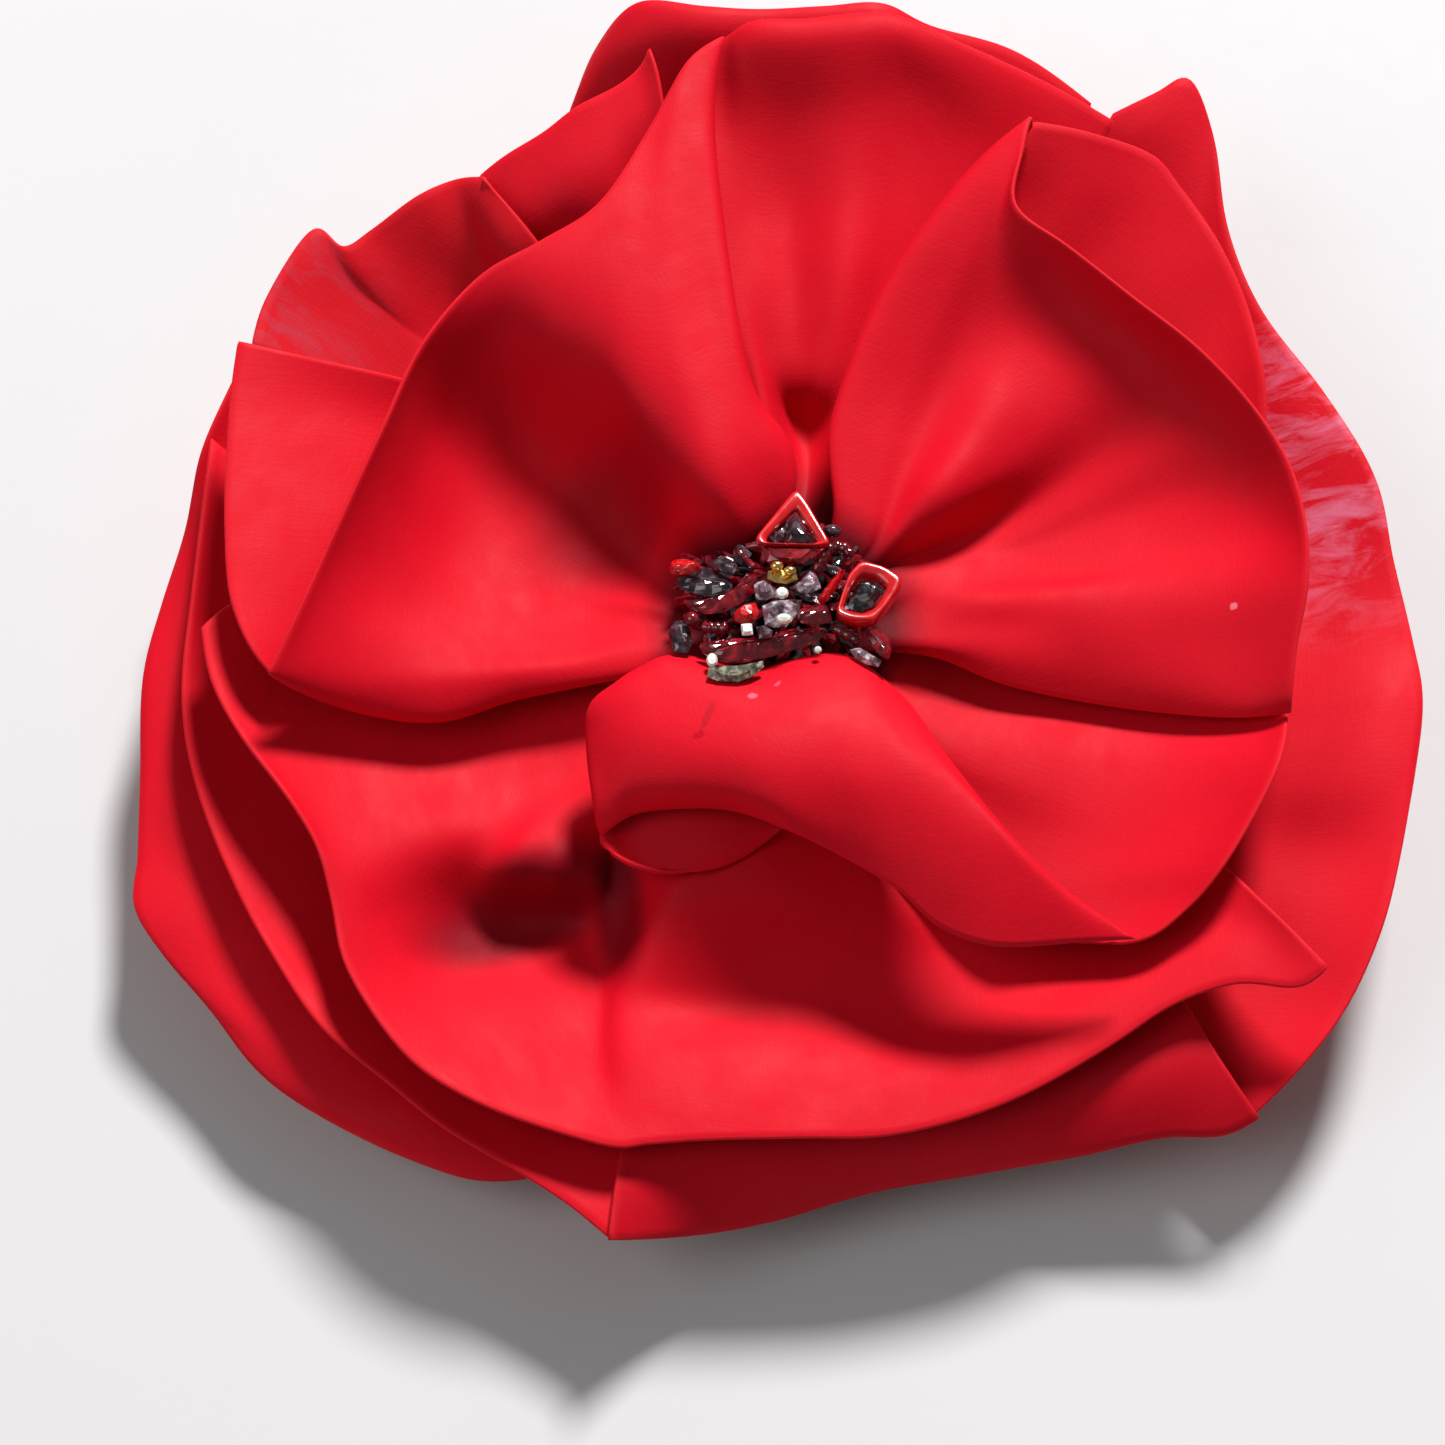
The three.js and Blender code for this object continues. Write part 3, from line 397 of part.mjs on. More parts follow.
// ---------- jewelled centre ----------
// stone: girdle outline with a smaller table above and a smaller culet face
// below; band: a raised frame; rod: bent glass stem; bead: rounded seed
const JEWELS = {
  leaf_bezel: { kind: 'band', outer: [[0.98, 9.33], [1.93, 7.91], [2.95, 5.78], [3.97, 3.66], [2.84, 3.46], [1.28, 3.51], [-0.28, 3.56], [-2.01, 3.61], [-2.7, 4.16], [-0.95, 6.59]], inner: [[0.97, 7.4], [1.48, 6.38], [2.25, 5.07], [2.85, 4.01], [2.32, 3.66], [1.28, 3.66], [-0.28, 3.71], [-1.49, 3.76], [-1.66, 4.31], [-0.26, 5.93]], z: 26.2, h: 0.8 },
  leaf_stone_left: { kind: 'stone', outline: [[-1.01, 4.52], [-0.53, 5.23], [-0, 5.63], [0.17, 5.03], [0.07, 4.12], [-0.62, 4.12]], z: 26.1, up: 0.45, down: 0.4, inUp: 0.5, inDown: 0.6 },
  leaf_stone_right: { kind: 'stone', outline: [[0.26, 5.94], [0.88, 6.75], [1.56, 5.63], [2.24, 4.12], [1.2, 3.97], [0.25, 4.02]], z: 26.1, up: 0.55, down: 0.4, inUp: 0.5, inDown: 0.6 },
  garnet_bar: { kind: 'stone', outline: [[-2.01, 3.23], [-0.62, 3.33], [1.28, 3.23], [2.93, 3.33], [2.4, 2.63], [1.53, 1.93], [-0.11, 2.03], [-1.58, 2.13]], z: 25.9, up: 0.55, down: 0.5, inUp: 0.7, inDown: 0.7 },
  garnet_stem_left: { kind: 'rod', path: [[-4.26, 4.02, 24.9], [-3.39, 2.9, 25.1], [-2.71, 1.8, 25.6]], r: 0.28 },
  violet_leaf: { kind: 'stone', outline: [[-6.35, 3.19], [-5.3, 3.8], [-4.26, 3.19], [-3.91, 2.09], [-4.78, 1.69], [-5.74, 2.29]], z: 24.25, up: 0.25, down: 0.3, inUp: 0.6, inDown: 0.7 },
  red_tip_leaf: { kind: 'stone', outline: [[-10.08, 2.27], [-9.74, 2.97], [-8.61, 3.07], [-7.48, 2.67], [-7.21, 2.07], [-8.17, 1.57], [-9.29, 1.47], [-9.9, 1.57]], z: 24.8, up: 0.5, down: 0.35, inUp: 0.6, inDown: 0.7 },
  smoky_leaf: { kind: 'stone', outline: [[-9.57, 1.56], [-8.87, 2.36], [-7.4, 3.07], [-6.35, 2.77], [-5.04, 1.86], [-4.43, 0.96], [-5.04, -0.14], [-6.69, -0.04], [-8.26, 0.36], [-9.22, 0.86]], z: 23.6, up: 0.45, down: 0.35, inUp: 0.6, inDown: 0.7 },
  garnet_leaf_upper: { kind: 'stone', outline: [[-9.02, -1.09], [-7.38, -1.09], [-5.65, -1.19], [-4.35, 0.01], [-3.48, 1.41], [-2.44, 2.01], [-1.31, 1.71], [-1.84, 0.71], [-2.88, -0.59], [-3.92, -1.58], [-5.13, -2.28], [-6.68, -2.57], [-8.07, -2.08]], z: 24.9, up: 0.5, down: 0.35, inUp: 0.55, inDown: 0.7 },
  gold_bead_left: { kind: 'bead', at: [-0.74, 1.03, 27.1], r: [0.6, 0.45, 0.45] },
  gold_bead_right: { kind: 'bead', at: [0.38, 0.53, 27.1], r: [0.6, 0.42, 0.42] },
  gold_setting: { kind: 'stone', outline: [[-1.5, 1.11], [-0.72, 1.31], [0.14, 1.01], [0.91, 0.91], [1.08, 0.22], [0.13, -0.18], [-0.82, -0.08], [-1.59, 0.31]], z: 26.1, up: 0.45, down: 0.4, inUp: 0.6, inDown: 0.7 },
  grey_facet: { kind: 'stone', outline: [[0.63, -0.83], [1.33, -0.23], [2.11, 0.76], [2.71, 0.17], [3.04, -0.93], [2.26, -1.42], [1.31, -1.42]], z: 26.7, up: 0.55, down: 0.4, inUp: 0.5, inDown: 0.7 },
  clear_stone_round: { kind: 'bead', at: [-0.33, -1.71, 27.2], r: [0.58, 0.58, 0.42] },
  clear_stone_oval: { kind: 'bead', at: [-0.17, -4.21, 27.1], r: [0.75, 0.5, 0.45] },
  crystal_upper: { kind: 'stone', outline: [[-2.72, -0.17], [-2.02, 0.33], [-1.33, -0.07], [-0.82, -0.66], [-1, -1.36], [-1.69, -1.66], [-2.55, -1.56]], z: 25.9, up: 0.6, down: 0.45, inUp: 0.5, inDown: 0.7 },
  crystal_middle: { kind: 'stone', outline: [[-2.03, -2.02], [-1.08, -1.53], [0.13, -1.43], [1.42, -1.43], [1.24, -2.22], [0.8, -3.11], [0.11, -4], [-0.92, -4.2], [-1.78, -3.9]], z: 25.5, up: 0.7, down: 0.4, inUp: 0.5, inDown: 0.7 },
  red_petal_bead: { kind: 'stone', outline: [[-4.44, -2.77], [-3.67, -1.98], [-2.63, -1.78], [-2.29, -2.67], [-2.64, -3.56], [-3.59, -3.86], [-4.36, -3.56]], z: 25.6, up: 0.7, down: 0.4, inUp: 0.5, inDown: 0.7 },
  garnet_petal_right: { kind: 'stone', outline: [[0.96, -3.09], [1.91, -2.59], [3.2, -2.49], [3.87, -3.28], [3.69, -4.27], [2.32, -4.47], [1.12, -4.27]], z: 26.5, up: 0.6, down: 0.4, inUp: 0.55, inDown: 0.7 },
  square_stone: { kind: 'stone', outline: [[-3.85, -4.59], [-2.91, -4.54], [-2.83, -5.57], [-3.77, -5.66]], z: 26.8, up: 0.4, down: 0.5, inUp: 0.7, inDown: 0.6 },
  square_setting: { kind: 'stone', outline: [[-2.56, -4.44], [-1.79, -4.34], [-1.11, -4.83], [-1.28, -5.52], [-2.31, -5.62]], z: 26.1, up: 0.4, down: 0.4, inUp: 0.7, inDown: 0.7 },
  red_leaf_lower: { kind: 'stone', outline: [[-7.62, -5.44], [-6.08, -5.14], [-4.45, -4.85], [-2.64, -4.94], [-1.18, -4.94], [-0.66, -4.16], [0.72, -3.96], [2.18, -3.96], [3.56, -3.86], [3.12, -4.94], [1.74, -5.73], [0.01, -6.22], [-1.62, -6.81], [-3.59, -7.3], [-5.48, -7.3], [-6.85, -6.71]], z: 24.9, up: 0.6, down: 0.35, inUp: 0.55, inDown: 0.75 },
  clear_stone_low: { kind: 'bead', at: [-6.33, -7.39, 25.6], r: [0.5, 0.7, 0.4] },
  green_facet: { kind: 'stone', outline: [[-6.59, -8.23], [-5.31, -8.03], [-3.6, -8.03], [-1.97, -7.55], [-1.89, -8.13], [-2.92, -9.1], [-4.11, -9.59], [-5.82, -9.49], [-6.76, -9.1]], z: 25.7, up: 0.45, down: 0.3, inUp: 0.6, inDown: 0.75 },
  clear_stone_small: { kind: 'bead', at: [2.74, -6.41, 25.6], r: [0.35, 0.35, 0.3] },
  red_arm: { kind: 'stone', outline: [[2.7, -1.81], [3.13, -2.21], [3.82, -1.52], [4.53, -0.32], [5.24, 1.17], [4.81, 1.37], [4.02, 0.27], [3.23, -0.82]], z: 26, up: 0.5, down: 0.35, inUp: 0.5, inDown: 0.7 },
  kite_bezel: { kind: 'band', outer: [[5.4, 0.57], [6.55, 1.97], [8.53, 1.37], [10.14, 0.17], [9.6, -1.12], [8.53, -2.8], [7.57, -4.04], [5.85, -4.09], [4.23, -3.4], [4.86, -1.22]], inner: [[5.87, -0.08], [6.62, 0.77], [7.91, 0.47], [8.75, -0.47], [8.39, -1.52], [7.59, -2.8], [6.64, -3.2], [5.61, -3.05], [4.92, -2.75], [5.29, -1.42]], z: 26, h: 1.3 },
  kite_stone: { kind: 'stone', outline: [[6.16, -0.38], [6.73, 0.27], [7.76, 0.02], [8.4, -0.73], [8.08, -1.52], [7.33, -2.61], [6.55, -2.96], [5.74, -2.81], [5.31, -2.51], [5.59, -1.47]], z: 26.1, up: 0.65, down: 0.45, inUp: 0.55, inDown: 0.7 },
  garnet_elbow: { kind: 'rod', path: [[2.59, 1.83, 24.7], [3.29, 2.96, 25], [4.08, 4, 25.2], [5.04, 4, 25.2], [5.73, 3.21, 25]], r: 0.48 },
  violet_bead_top: { kind: 'bead', at: [4.12, 5.84, 24.9], r: [0.85, 0.6, 0.55] },
  garnet_bead_left: { kind: 'bead', at: [-8.06, -3.03, 25], r: [0.65, 0.65, 0.6] },
  violet_bead_stack: { kind: 'stone', outline: [[-10.14, -3.95], [-9.62, -2.76], [-8.85, -2.66], [-8.24, -3.55], [-8.06, -4.84], [-8.4, -5.82], [-9.52, -5.72]], z: 24, up: 0.55, down: 0.45, inUp: 0.55, inDown: 0.7 },
  left_bar: { kind: 'rod', path: [[-7.12, -3.42, 24.3], [-5.99, -3.69, 24.6], [-4.96, -3.8, 24.8]], r: 0.5 },
  right_bar: { kind: 'rod', path: [[4.16, -3.86, 24.9], [5.19, -4.45, 24.9], [6.39, -5.13, 24.7]], r: 0.48 },
  garnet_leaf_right: { kind: 'stone', outline: [[6.73, -4.14], [7.76, -4.24], [8.77, -5.03], [9.09, -6.11], [8.81, -7.38], [7.88, -6.7], [7.21, -5.72]], z: 25.4, up: 0.5, down: 0.35, inUp: 0.55, inDown: 0.7 },
  smoky_bead_right: { kind: 'stone', outline: [[5.52, -5.92], [6.38, -5.72], [7.4, -6.41], [8.24, -6.99], [7.89, -7.58], [6.87, -7.29], [5.93, -6.7]], z: 24.7, up: 0.45, down: 0.35, inUp: 0.55, inDown: 0.7 },
};
const stone = (t) => {
  const n = t.outline.length, c = [0, 1].map((k) => t.outline.reduce((s, p) => s + p[k], 0) / n);
  const lay = (s, z) => t.outline.map((p) => [c[0] + (p[0] - c[0]) * s, c[1] + (p[1] - c[1]) * s, z]);
  return ringStack([lay(t.inDown, t.z - t.down), lay(1, t.z - 0.06), lay(1, t.z + 0.06), lay(t.inUp, t.z + t.up)]);
};
const band = (t) => {
  const z0 = t.z - t.h / 2, z1 = t.z + t.h / 2, n = t.outer.length;
  const mix = (w, z) => t.outer.map((p, i) => [p[0] * (1 - w) + t.inner[i][0] * w, p[1] * (1 - w) + t.inner[i][1] * w, z]);
  const rings = [mix(0, z0), mix(0, z1 - 0.15), mix(0.2, z1), mix(1, z1 - 0.1), mix(1, z0)];
  const tris = [];
  for (let l = 0; l < rings.length; l++)
    for (let i = 0; i < n; i++) {
      const j = (i + 1) % n, m = ((l + 1) % rings.length) * n;
      tris.push([l * n + i, l * n + j, m + j], [l * n + i, m + j, m + i]);
    }
  return makeGeometry(rings.flat(), tris);
};
const bead = (t) => {
  const rings = [-60, -25, 20, 55].map((deg) => {
    const th = THREE.MathUtils.degToRad(deg);
    return Array.from({ length: 10 }, (_, i) => {
      const a = (i * Math.PI) / 5;
      return [t.at[0] + t.r[0] * Math.cos(a) * Math.cos(th), t.at[1] + t.r[1] * Math.sin(a) * Math.cos(th), t.at[2] + t.r[2] * Math.sin(th)];
    });
  });
  return ringStack(rings, [t.at[0], t.at[1], t.at[2] - t.r[2]], [t.at[0], t.at[1], t.at[2] + 0.92 * t.r[2]]);
};
const rod = (path, r, sides = 6) => {
  const rings = path.map((p, i) => {
    const d = new THREE.Vector3(...sub(path[Math.min(i + 1, path.length - 1)], path[Math.max(i - 1, 0)])).normalize();
    const u = new THREE.Vector3().crossVectors(d, new THREE.Vector3(0, 0, 1)).normalize();
    const w = new THREE.Vector3().crossVectors(u, d);
    return Array.from({ length: sides }, (_, k) => {
      const q = (k * 2 * Math.PI) / sides;
      return [0, 1, 2].map((c) => p[c] + r * (u.getComponent(c) * Math.cos(q) + w.getComponent(c) * Math.sin(q)));
    });
  });
  return ringStack(rings);
};
const JEWEL_MATERIAL = (name) => {
  if (/bezel|red_/.test(name)) return RED_ENAMEL;
  if (/gold/.test(name)) return GOLD;
  if (/clear|crystal|square_stone|green|grey/.test(name)) return CLEAR;
  if (/smoky|violet|kite_stone|leaf_stone/.test(name)) return SMOKY;
  return GARNET;
};
for (const [name, t] of Object.entries(JEWELS)) {
  const g = { stone, band, bead, rod: (q) => rod(q.path, q.r) }[t.kind](t);
  add(name, g, JEWEL_MATERIAL(name));
}

// round plate that carries the jewels
{
  const ringAt = (r, z, n = 28) => Array.from({ length: n }, (_, i) => {
    const a = (i * 2 * Math.PI) / n, s = i % 2 ? 0.96 : 1;
    return [r * s * Math.cos(a), r * s * Math.sin(a), z];
  });
  add('jewel_plate', ringStack([ringAt(PLATE_R - 1, PLATE_Z), ringAt(PLATE_R, PLATE_Z + 0.35), ringAt(PLATE_R - 0.2, PLATE_Z + 0.75), ringAt(PLATE_R - 1.4, PLATE_Z + 0.55)]), DARK_METAL);
}

// ---------- core, thread, felt ----------
{
  const profile = [[0, FELT_Z0 + FELT_STRIP_T + FELT_DISC_T + 0.6], [CORE_R - 1, FELT_Z0 + FELT_STRIP_T + FELT_DISC_T + 0.6], [CORE_R, 11.4], [CORE_R - 0.2, 15], [CORE_R, 18.2], [CORE_R - 1, CORE_TOP], [0, CORE_TOP]];
  const g = new THREE.LatheGeometry(profile.map(([r, z]) => new THREE.Vector2(r, z)), 24);
  g.rotateX(Math.PI / 2);
  add('petal_core', g, RED_CLOTH);

  const loop = [];
  const n = 26, r = CORE_R + 0.55, tr = 0.2, z = 16.6;
  for (let i = 0; i < n; i++) {
    const a = (i * 2 * Math.PI) / n, zz = z + 0.25 * Math.sin(a * 4);
    loop.push(Array.from({ length: 6 }, (_, k) => {
      const q = (k * Math.PI) / 3;
      return [(r + tr * Math.cos(q)) * Math.cos(a), (r + tr * Math.cos(q)) * Math.sin(a), zz + tr * Math.sin(q)];
    }));
  }
  const verts = loop.flat(), tris = [];
  for (let i = 0; i < n; i++)
    for (let k = 0; k < 6; k++) {
      const i2 = (i + 1) % n, k2 = (k + 1) % 6;
      tris.push([i * 6 + k, i2 * 6 + k, i2 * 6 + k2], [i * 6 + k, i2 * 6 + k2, i * 6 + k2]);
    }
  add('gather_thread', makeGeometry(verts, tris), THREAD);
}
const extrudeUp = (shape, z, t, curve = 8) => {
  const g = new THREE.ExtrudeGeometry(shape, { depth: t, bevelEnabled: false, curveSegments: curve });
  g.translate(0, 0, z);
  return g;
};
{
  const strip = new THREE.Shape();
  const w = 5.2, x0 = -20.5, x1 = 14;
  strip.moveTo(x0 + w, -w); strip.lineTo(x1 - w, -w); strip.absarc(x1 - w, 0, w, -Math.PI / 2, Math.PI / 2, false);
  strip.lineTo(x0 + w, w); strip.absarc(x0 + w, 0, w, Math.PI / 2, (3 * Math.PI) / 2, false);
  add('felt_lock_strip', extrudeUp(strip, FELT_Z0, FELT_STRIP_T), RED_FELT);
  const disc = new THREE.Shape();
  disc.absarc(0, 0, FELT_DISC_R, 0, 2 * Math.PI, false);
  add('felt_backing_disc', extrudeUp(disc, FELT_Z0 + FELT_STRIP_T + 0.3, FELT_DISC_T, 20), RED_FELT);
}

// ---------- clip ----------
const wasm = await Module();
wasm.setup();
const solid = (geometry) => {
  const g = geometry.clone();
  g.deleteAttribute('normal');
  g.deleteAttribute('uv');
  const m = mergeVertices(g.index ? g : g, 1e-4);
  return new wasm.Manifold(new wasm.Mesh({
    numProp: 3,
    vertProperties: new Float32Array(m.attributes.position.array),
    triVerts: new Uint32Array(m.index.array),
  }));
};
const fromSolid = (s) => {
  const m = s.getMesh();
  const g = new THREE.BufferGeometry();
  g.setAttribute('position', new THREE.BufferAttribute(new Float32Array(m.vertProperties), 3));
  g.setIndex(new THREE.BufferAttribute(new Uint32Array(m.triVerts), 1));
  g.computeVertexNormals();
  return g;
};
// a flat outline in the X-Z plane, extruded across Y from y0 to y1
const sidePlate = (points, y0, y1) => {
  const s = new THREE.Shape(points.map(([x, z]) => new THREE.Vector2(x, z)));
  const g = new THREE.ExtrudeGeometry(s, { depth: y1 - y0, bevelEnabled: false, curveSegments: 6 });
  g.rotateX(Math.PI / 2);        // shape Y becomes Z, extrusion runs to -Y
  g.translate(0, y1, 0);
  return solid(g);
};
const arcPoints = (cx, cz, r, a0, a1, n) => Array.from({ length: n + 1 }, (_, i) => {
  const a = ((a0 + ((a1 - a0) * i) / n) * Math.PI) / 180;
  return [cx + r * Math.cos(a), cz + r * Math.sin(a)];
});
const pinSolid = (r, y0, y1, n = 20) => {
  const g = new THREE.CylinderGeometry(r, r, y1 - y0, n);
  g.translate(PIN_X, (y0 + y1) / 2, PIN_Z);
  return solid(g);
};
// plan outline with rounded finger and nose ends, extruded up
const planPlate = (x0, x1, w0, w1, z, t) => {
  const s = new THREE.Shape();
  s.moveTo(x0 + 1.6, -w0); s.lineTo(x1 - w1, -w1); s.absarc(x1 - w1, 0, w1, -Math.PI / 2, Math.PI / 2, false);
  s.lineTo(x0 + 1.6, w0); s.quadraticCurveTo(x0, w0, x0, w0 - 1.4); s.lineTo(x0, -(w0 - 1.4)); s.quadraticCurveTo(x0, -w0, x0 + 1.6, -w0);
  return solid(extrudeUp(s, z, t, 7));
};

// fixed arm: flat top plate, toothed side flanges along the mouth, hinge ears
{
  const h = ARM_W / 2, zTop = CLIP_TOP, zFl = 4.75;
  const teeth = [];
  for (let i = 0; i < 9; i++) { const x = NOSE_X + 1.2 + i * 1.5; teeth.push([x, zFl - 0.55], [x + 0.75, zFl]); }
  const flange = [[NOSE_X + 0.4, zTop - 0.2], [NOSE_X + 0.4, zFl], ...teeth, [PIN_X - 5.2, zFl],
    ...arcPoints(PIN_X, PIN_Z, 1.9, 200, 360, 8), [PIN_X + 4.0, 5.7], [PIN_X + 5.2, zTop - 0.2]];
  let arm = planPlate(NOSE_X, TAIL_X, h, h, zTop - STEEL, STEEL)
    .add(sidePlate(flange, h - STEEL, h)).add(sidePlate(flange, -h, -h + STEEL));
  arm = arm.subtract(pinSolid(HOLE_R, -10, 10));
  // two sewing holes through the top plate
  for (const x of [-15, -5]) {
    const g = new THREE.CylinderGeometry(0.8, 0.8, 4, 16);
    g.rotateX(Math.PI / 2); g.translate(x, 0, zTop);
    arm = arm.subtract(solid(g));
  }
  add('clip_fixed_arm', fromSolid(arm), NICKEL);
}
// moving arm: rises to the mouth, low side flanges, hinge ears, finger pad
{
  const h = JAW_W / 2, slope = (JAW_NOSE_Z - 0) / (JAW_BEND_X - NOSE_X);
  const zAt = (x) => (x < JAW_BEND_X ? (JAW_BEND_X - x) * slope : 0);
  const plateSide = [[NOSE_X, zAt(NOSE_X)], [JAW_BEND_X, 0], [10, 0], [10, STEEL], [JAW_BEND_X, STEEL], [NOSE_X, zAt(NOSE_X) + STEEL]];
  const ear = [[PIN_X - 6, 0.3], [PIN_X + 6, 0.3], [PIN_X + 4, 1.4], ...arcPoints(PIN_X, PIN_Z, 1.75, -20, 200, 10), [PIN_X - 4, 1.4]];
  const lip = [[NOSE_X + 1, zAt(NOSE_X + 1) + 0.3], [JAW_BEND_X - 2, zAt(JAW_BEND_X - 2) + 0.3], [PIN_X - 2, 0.3], [PIN_X - 2, 1.4], [JAW_BEND_X - 3, 1.5], [-14, zAt(-14) + 1.35], [NOSE_X + 2.2, zAt(NOSE_X + 2.2) + 0.75]];
  let arm = sidePlate(plateSide, -h, h);
  arm = arm.add(planPlate(7, TAIL_X, h, ARM_W / 2, 0, STEEL));
  for (const [y0, y1] of [[h - STEEL, h], [-h, -h + STEEL]]) arm = arm.add(sidePlate(ear, y0, y1)).add(sidePlate(lip, y0, y1));
  arm = arm.subtract(pinSolid(HOLE_R, -10, 10));
  add('clip_moving_arm', fromSolid(arm), NICKEL);
}
// hinge pin with a domed head and a peened end
{
  const y = ARM_W / 2 + 0.3;
  const profile = [[0, -y - 0.7], [0.7, -y - 0.65], [1.25, -y - 0.35], [1.3, -y], [PIN_R, -y], [PIN_R, y], [1.2, y], [1.15, y + 0.4], [0.6, y + 0.65], [0, y + 0.7]];
  const g = new THREE.LatheGeometry(profile.map(([r, z]) => new THREE.Vector2(r, z)), 20);
  g.translate(PIN_X, 0, PIN_Z);
  add('hinge_pin', g, NICKEL);
}
// torsion spring: coil round the pin, one leg under each finger end
{
  const pts = [];
  const span = 1.9, steps = Math.round(SPRING_TURNS * 14);
  const a0 = 75, a1 = a0 - 360 * SPRING_TURNS + 30;
  pts.push([PIN_X + 9.5, -span, CLIP_TOP - STEEL - 0.3 - WIRE_R]);
  for (let i = 0; i <= steps; i++) {
    const a = ((a0 + ((a1 - a0) * i) / steps) * Math.PI) / 180;
    pts.push([PIN_X + SPRING_R * Math.cos(a), -span + (2 * span * i) / steps, PIN_Z + SPRING_R * Math.sin(a)]);
  }
  pts.push([PIN_X + 9.5, span, STEEL + 0.3 + WIRE_R]);
  const n = 8, rings = [];
  let prev = null;
  pts.forEach((p, i) => {
    const d = new THREE.Vector3(...sub(pts[Math.min(i + 1, pts.length - 1)], pts[Math.max(i - 1, 0)])).normalize();
    let u = prev ? prev.clone().addScaledVector(d, -prev.dot(d)).normalize() : new THREE.Vector3(0, 1, 0).addScaledVector(d, -d.y).normalize();
    prev = u;
    const w = new THREE.Vector3().crossVectors(d, u);
    rings.push(Array.from({ length: n }, (_, k) => {
      const q = (k * 2 * Math.PI) / n;
      return [0, 1, 2].map((c) => p[c] + WIRE_R * (u.getComponent(c) * Math.cos(q) + w.getComponent(c) * Math.sin(q)));
    }));
  });
  add('torsion_spring', ringStack(rings), SPRING_STEEL);
}

export default root;
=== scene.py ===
import math
import bpy, bmesh
import numpy as np
from mathutils import Matrix, Vector


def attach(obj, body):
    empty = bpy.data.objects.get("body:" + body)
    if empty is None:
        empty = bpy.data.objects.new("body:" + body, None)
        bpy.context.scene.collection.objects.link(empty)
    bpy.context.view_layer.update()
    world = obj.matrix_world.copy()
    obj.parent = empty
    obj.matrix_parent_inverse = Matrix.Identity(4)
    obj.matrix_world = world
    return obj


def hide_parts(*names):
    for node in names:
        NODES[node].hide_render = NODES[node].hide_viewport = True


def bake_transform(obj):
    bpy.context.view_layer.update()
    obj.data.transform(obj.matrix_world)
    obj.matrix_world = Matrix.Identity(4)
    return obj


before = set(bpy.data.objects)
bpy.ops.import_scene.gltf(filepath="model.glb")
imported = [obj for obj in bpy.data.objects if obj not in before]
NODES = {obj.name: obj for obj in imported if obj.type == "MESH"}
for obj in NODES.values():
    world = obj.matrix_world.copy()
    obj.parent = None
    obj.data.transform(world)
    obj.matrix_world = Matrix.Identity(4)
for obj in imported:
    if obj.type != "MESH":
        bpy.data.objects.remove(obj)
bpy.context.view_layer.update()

SX, SY = 0.560, -2.792          # the model's origin, mm, against the petal tables
SCENE = bpy.context.scene
COLL = SCENE.collection


def link(obj):
    COLL.objects.link(obj)
    return obj


# ------------------------------------------------------------------ camera
def make_camera():
    elev = math.radians(62.0)
    right = Vector((1, 0, 0))
    up = Vector((0, math.sin(elev), math.cos(elev)))
    fwd = Vector((0, math.cos(elev), -math.sin(elev)))
    cam = bpy.data.cameras.new("camera")
    cam.lens, cam.sensor_width, cam.clip_start = 100.0, 36.0, 0.01
    obj = link(bpy.data.objects.new("camera", cam))
    f = 100.0 / 36 * 1445
    pos = Vector((SX, SY, 23.0)) - right * (62.5 / f * 349.0) - up * (122.5 / f * 349.0) - fwd * 349.0
    m = Matrix.Identity(4)
    for i in range(3):
        m[i][0], m[i][1], m[i][2], m[i][3] = right[i], up[i], -fwd[i], pos[i] / 1000
    obj.matrix_world = m
    SCENE.camera = obj
    return obj


make_camera()


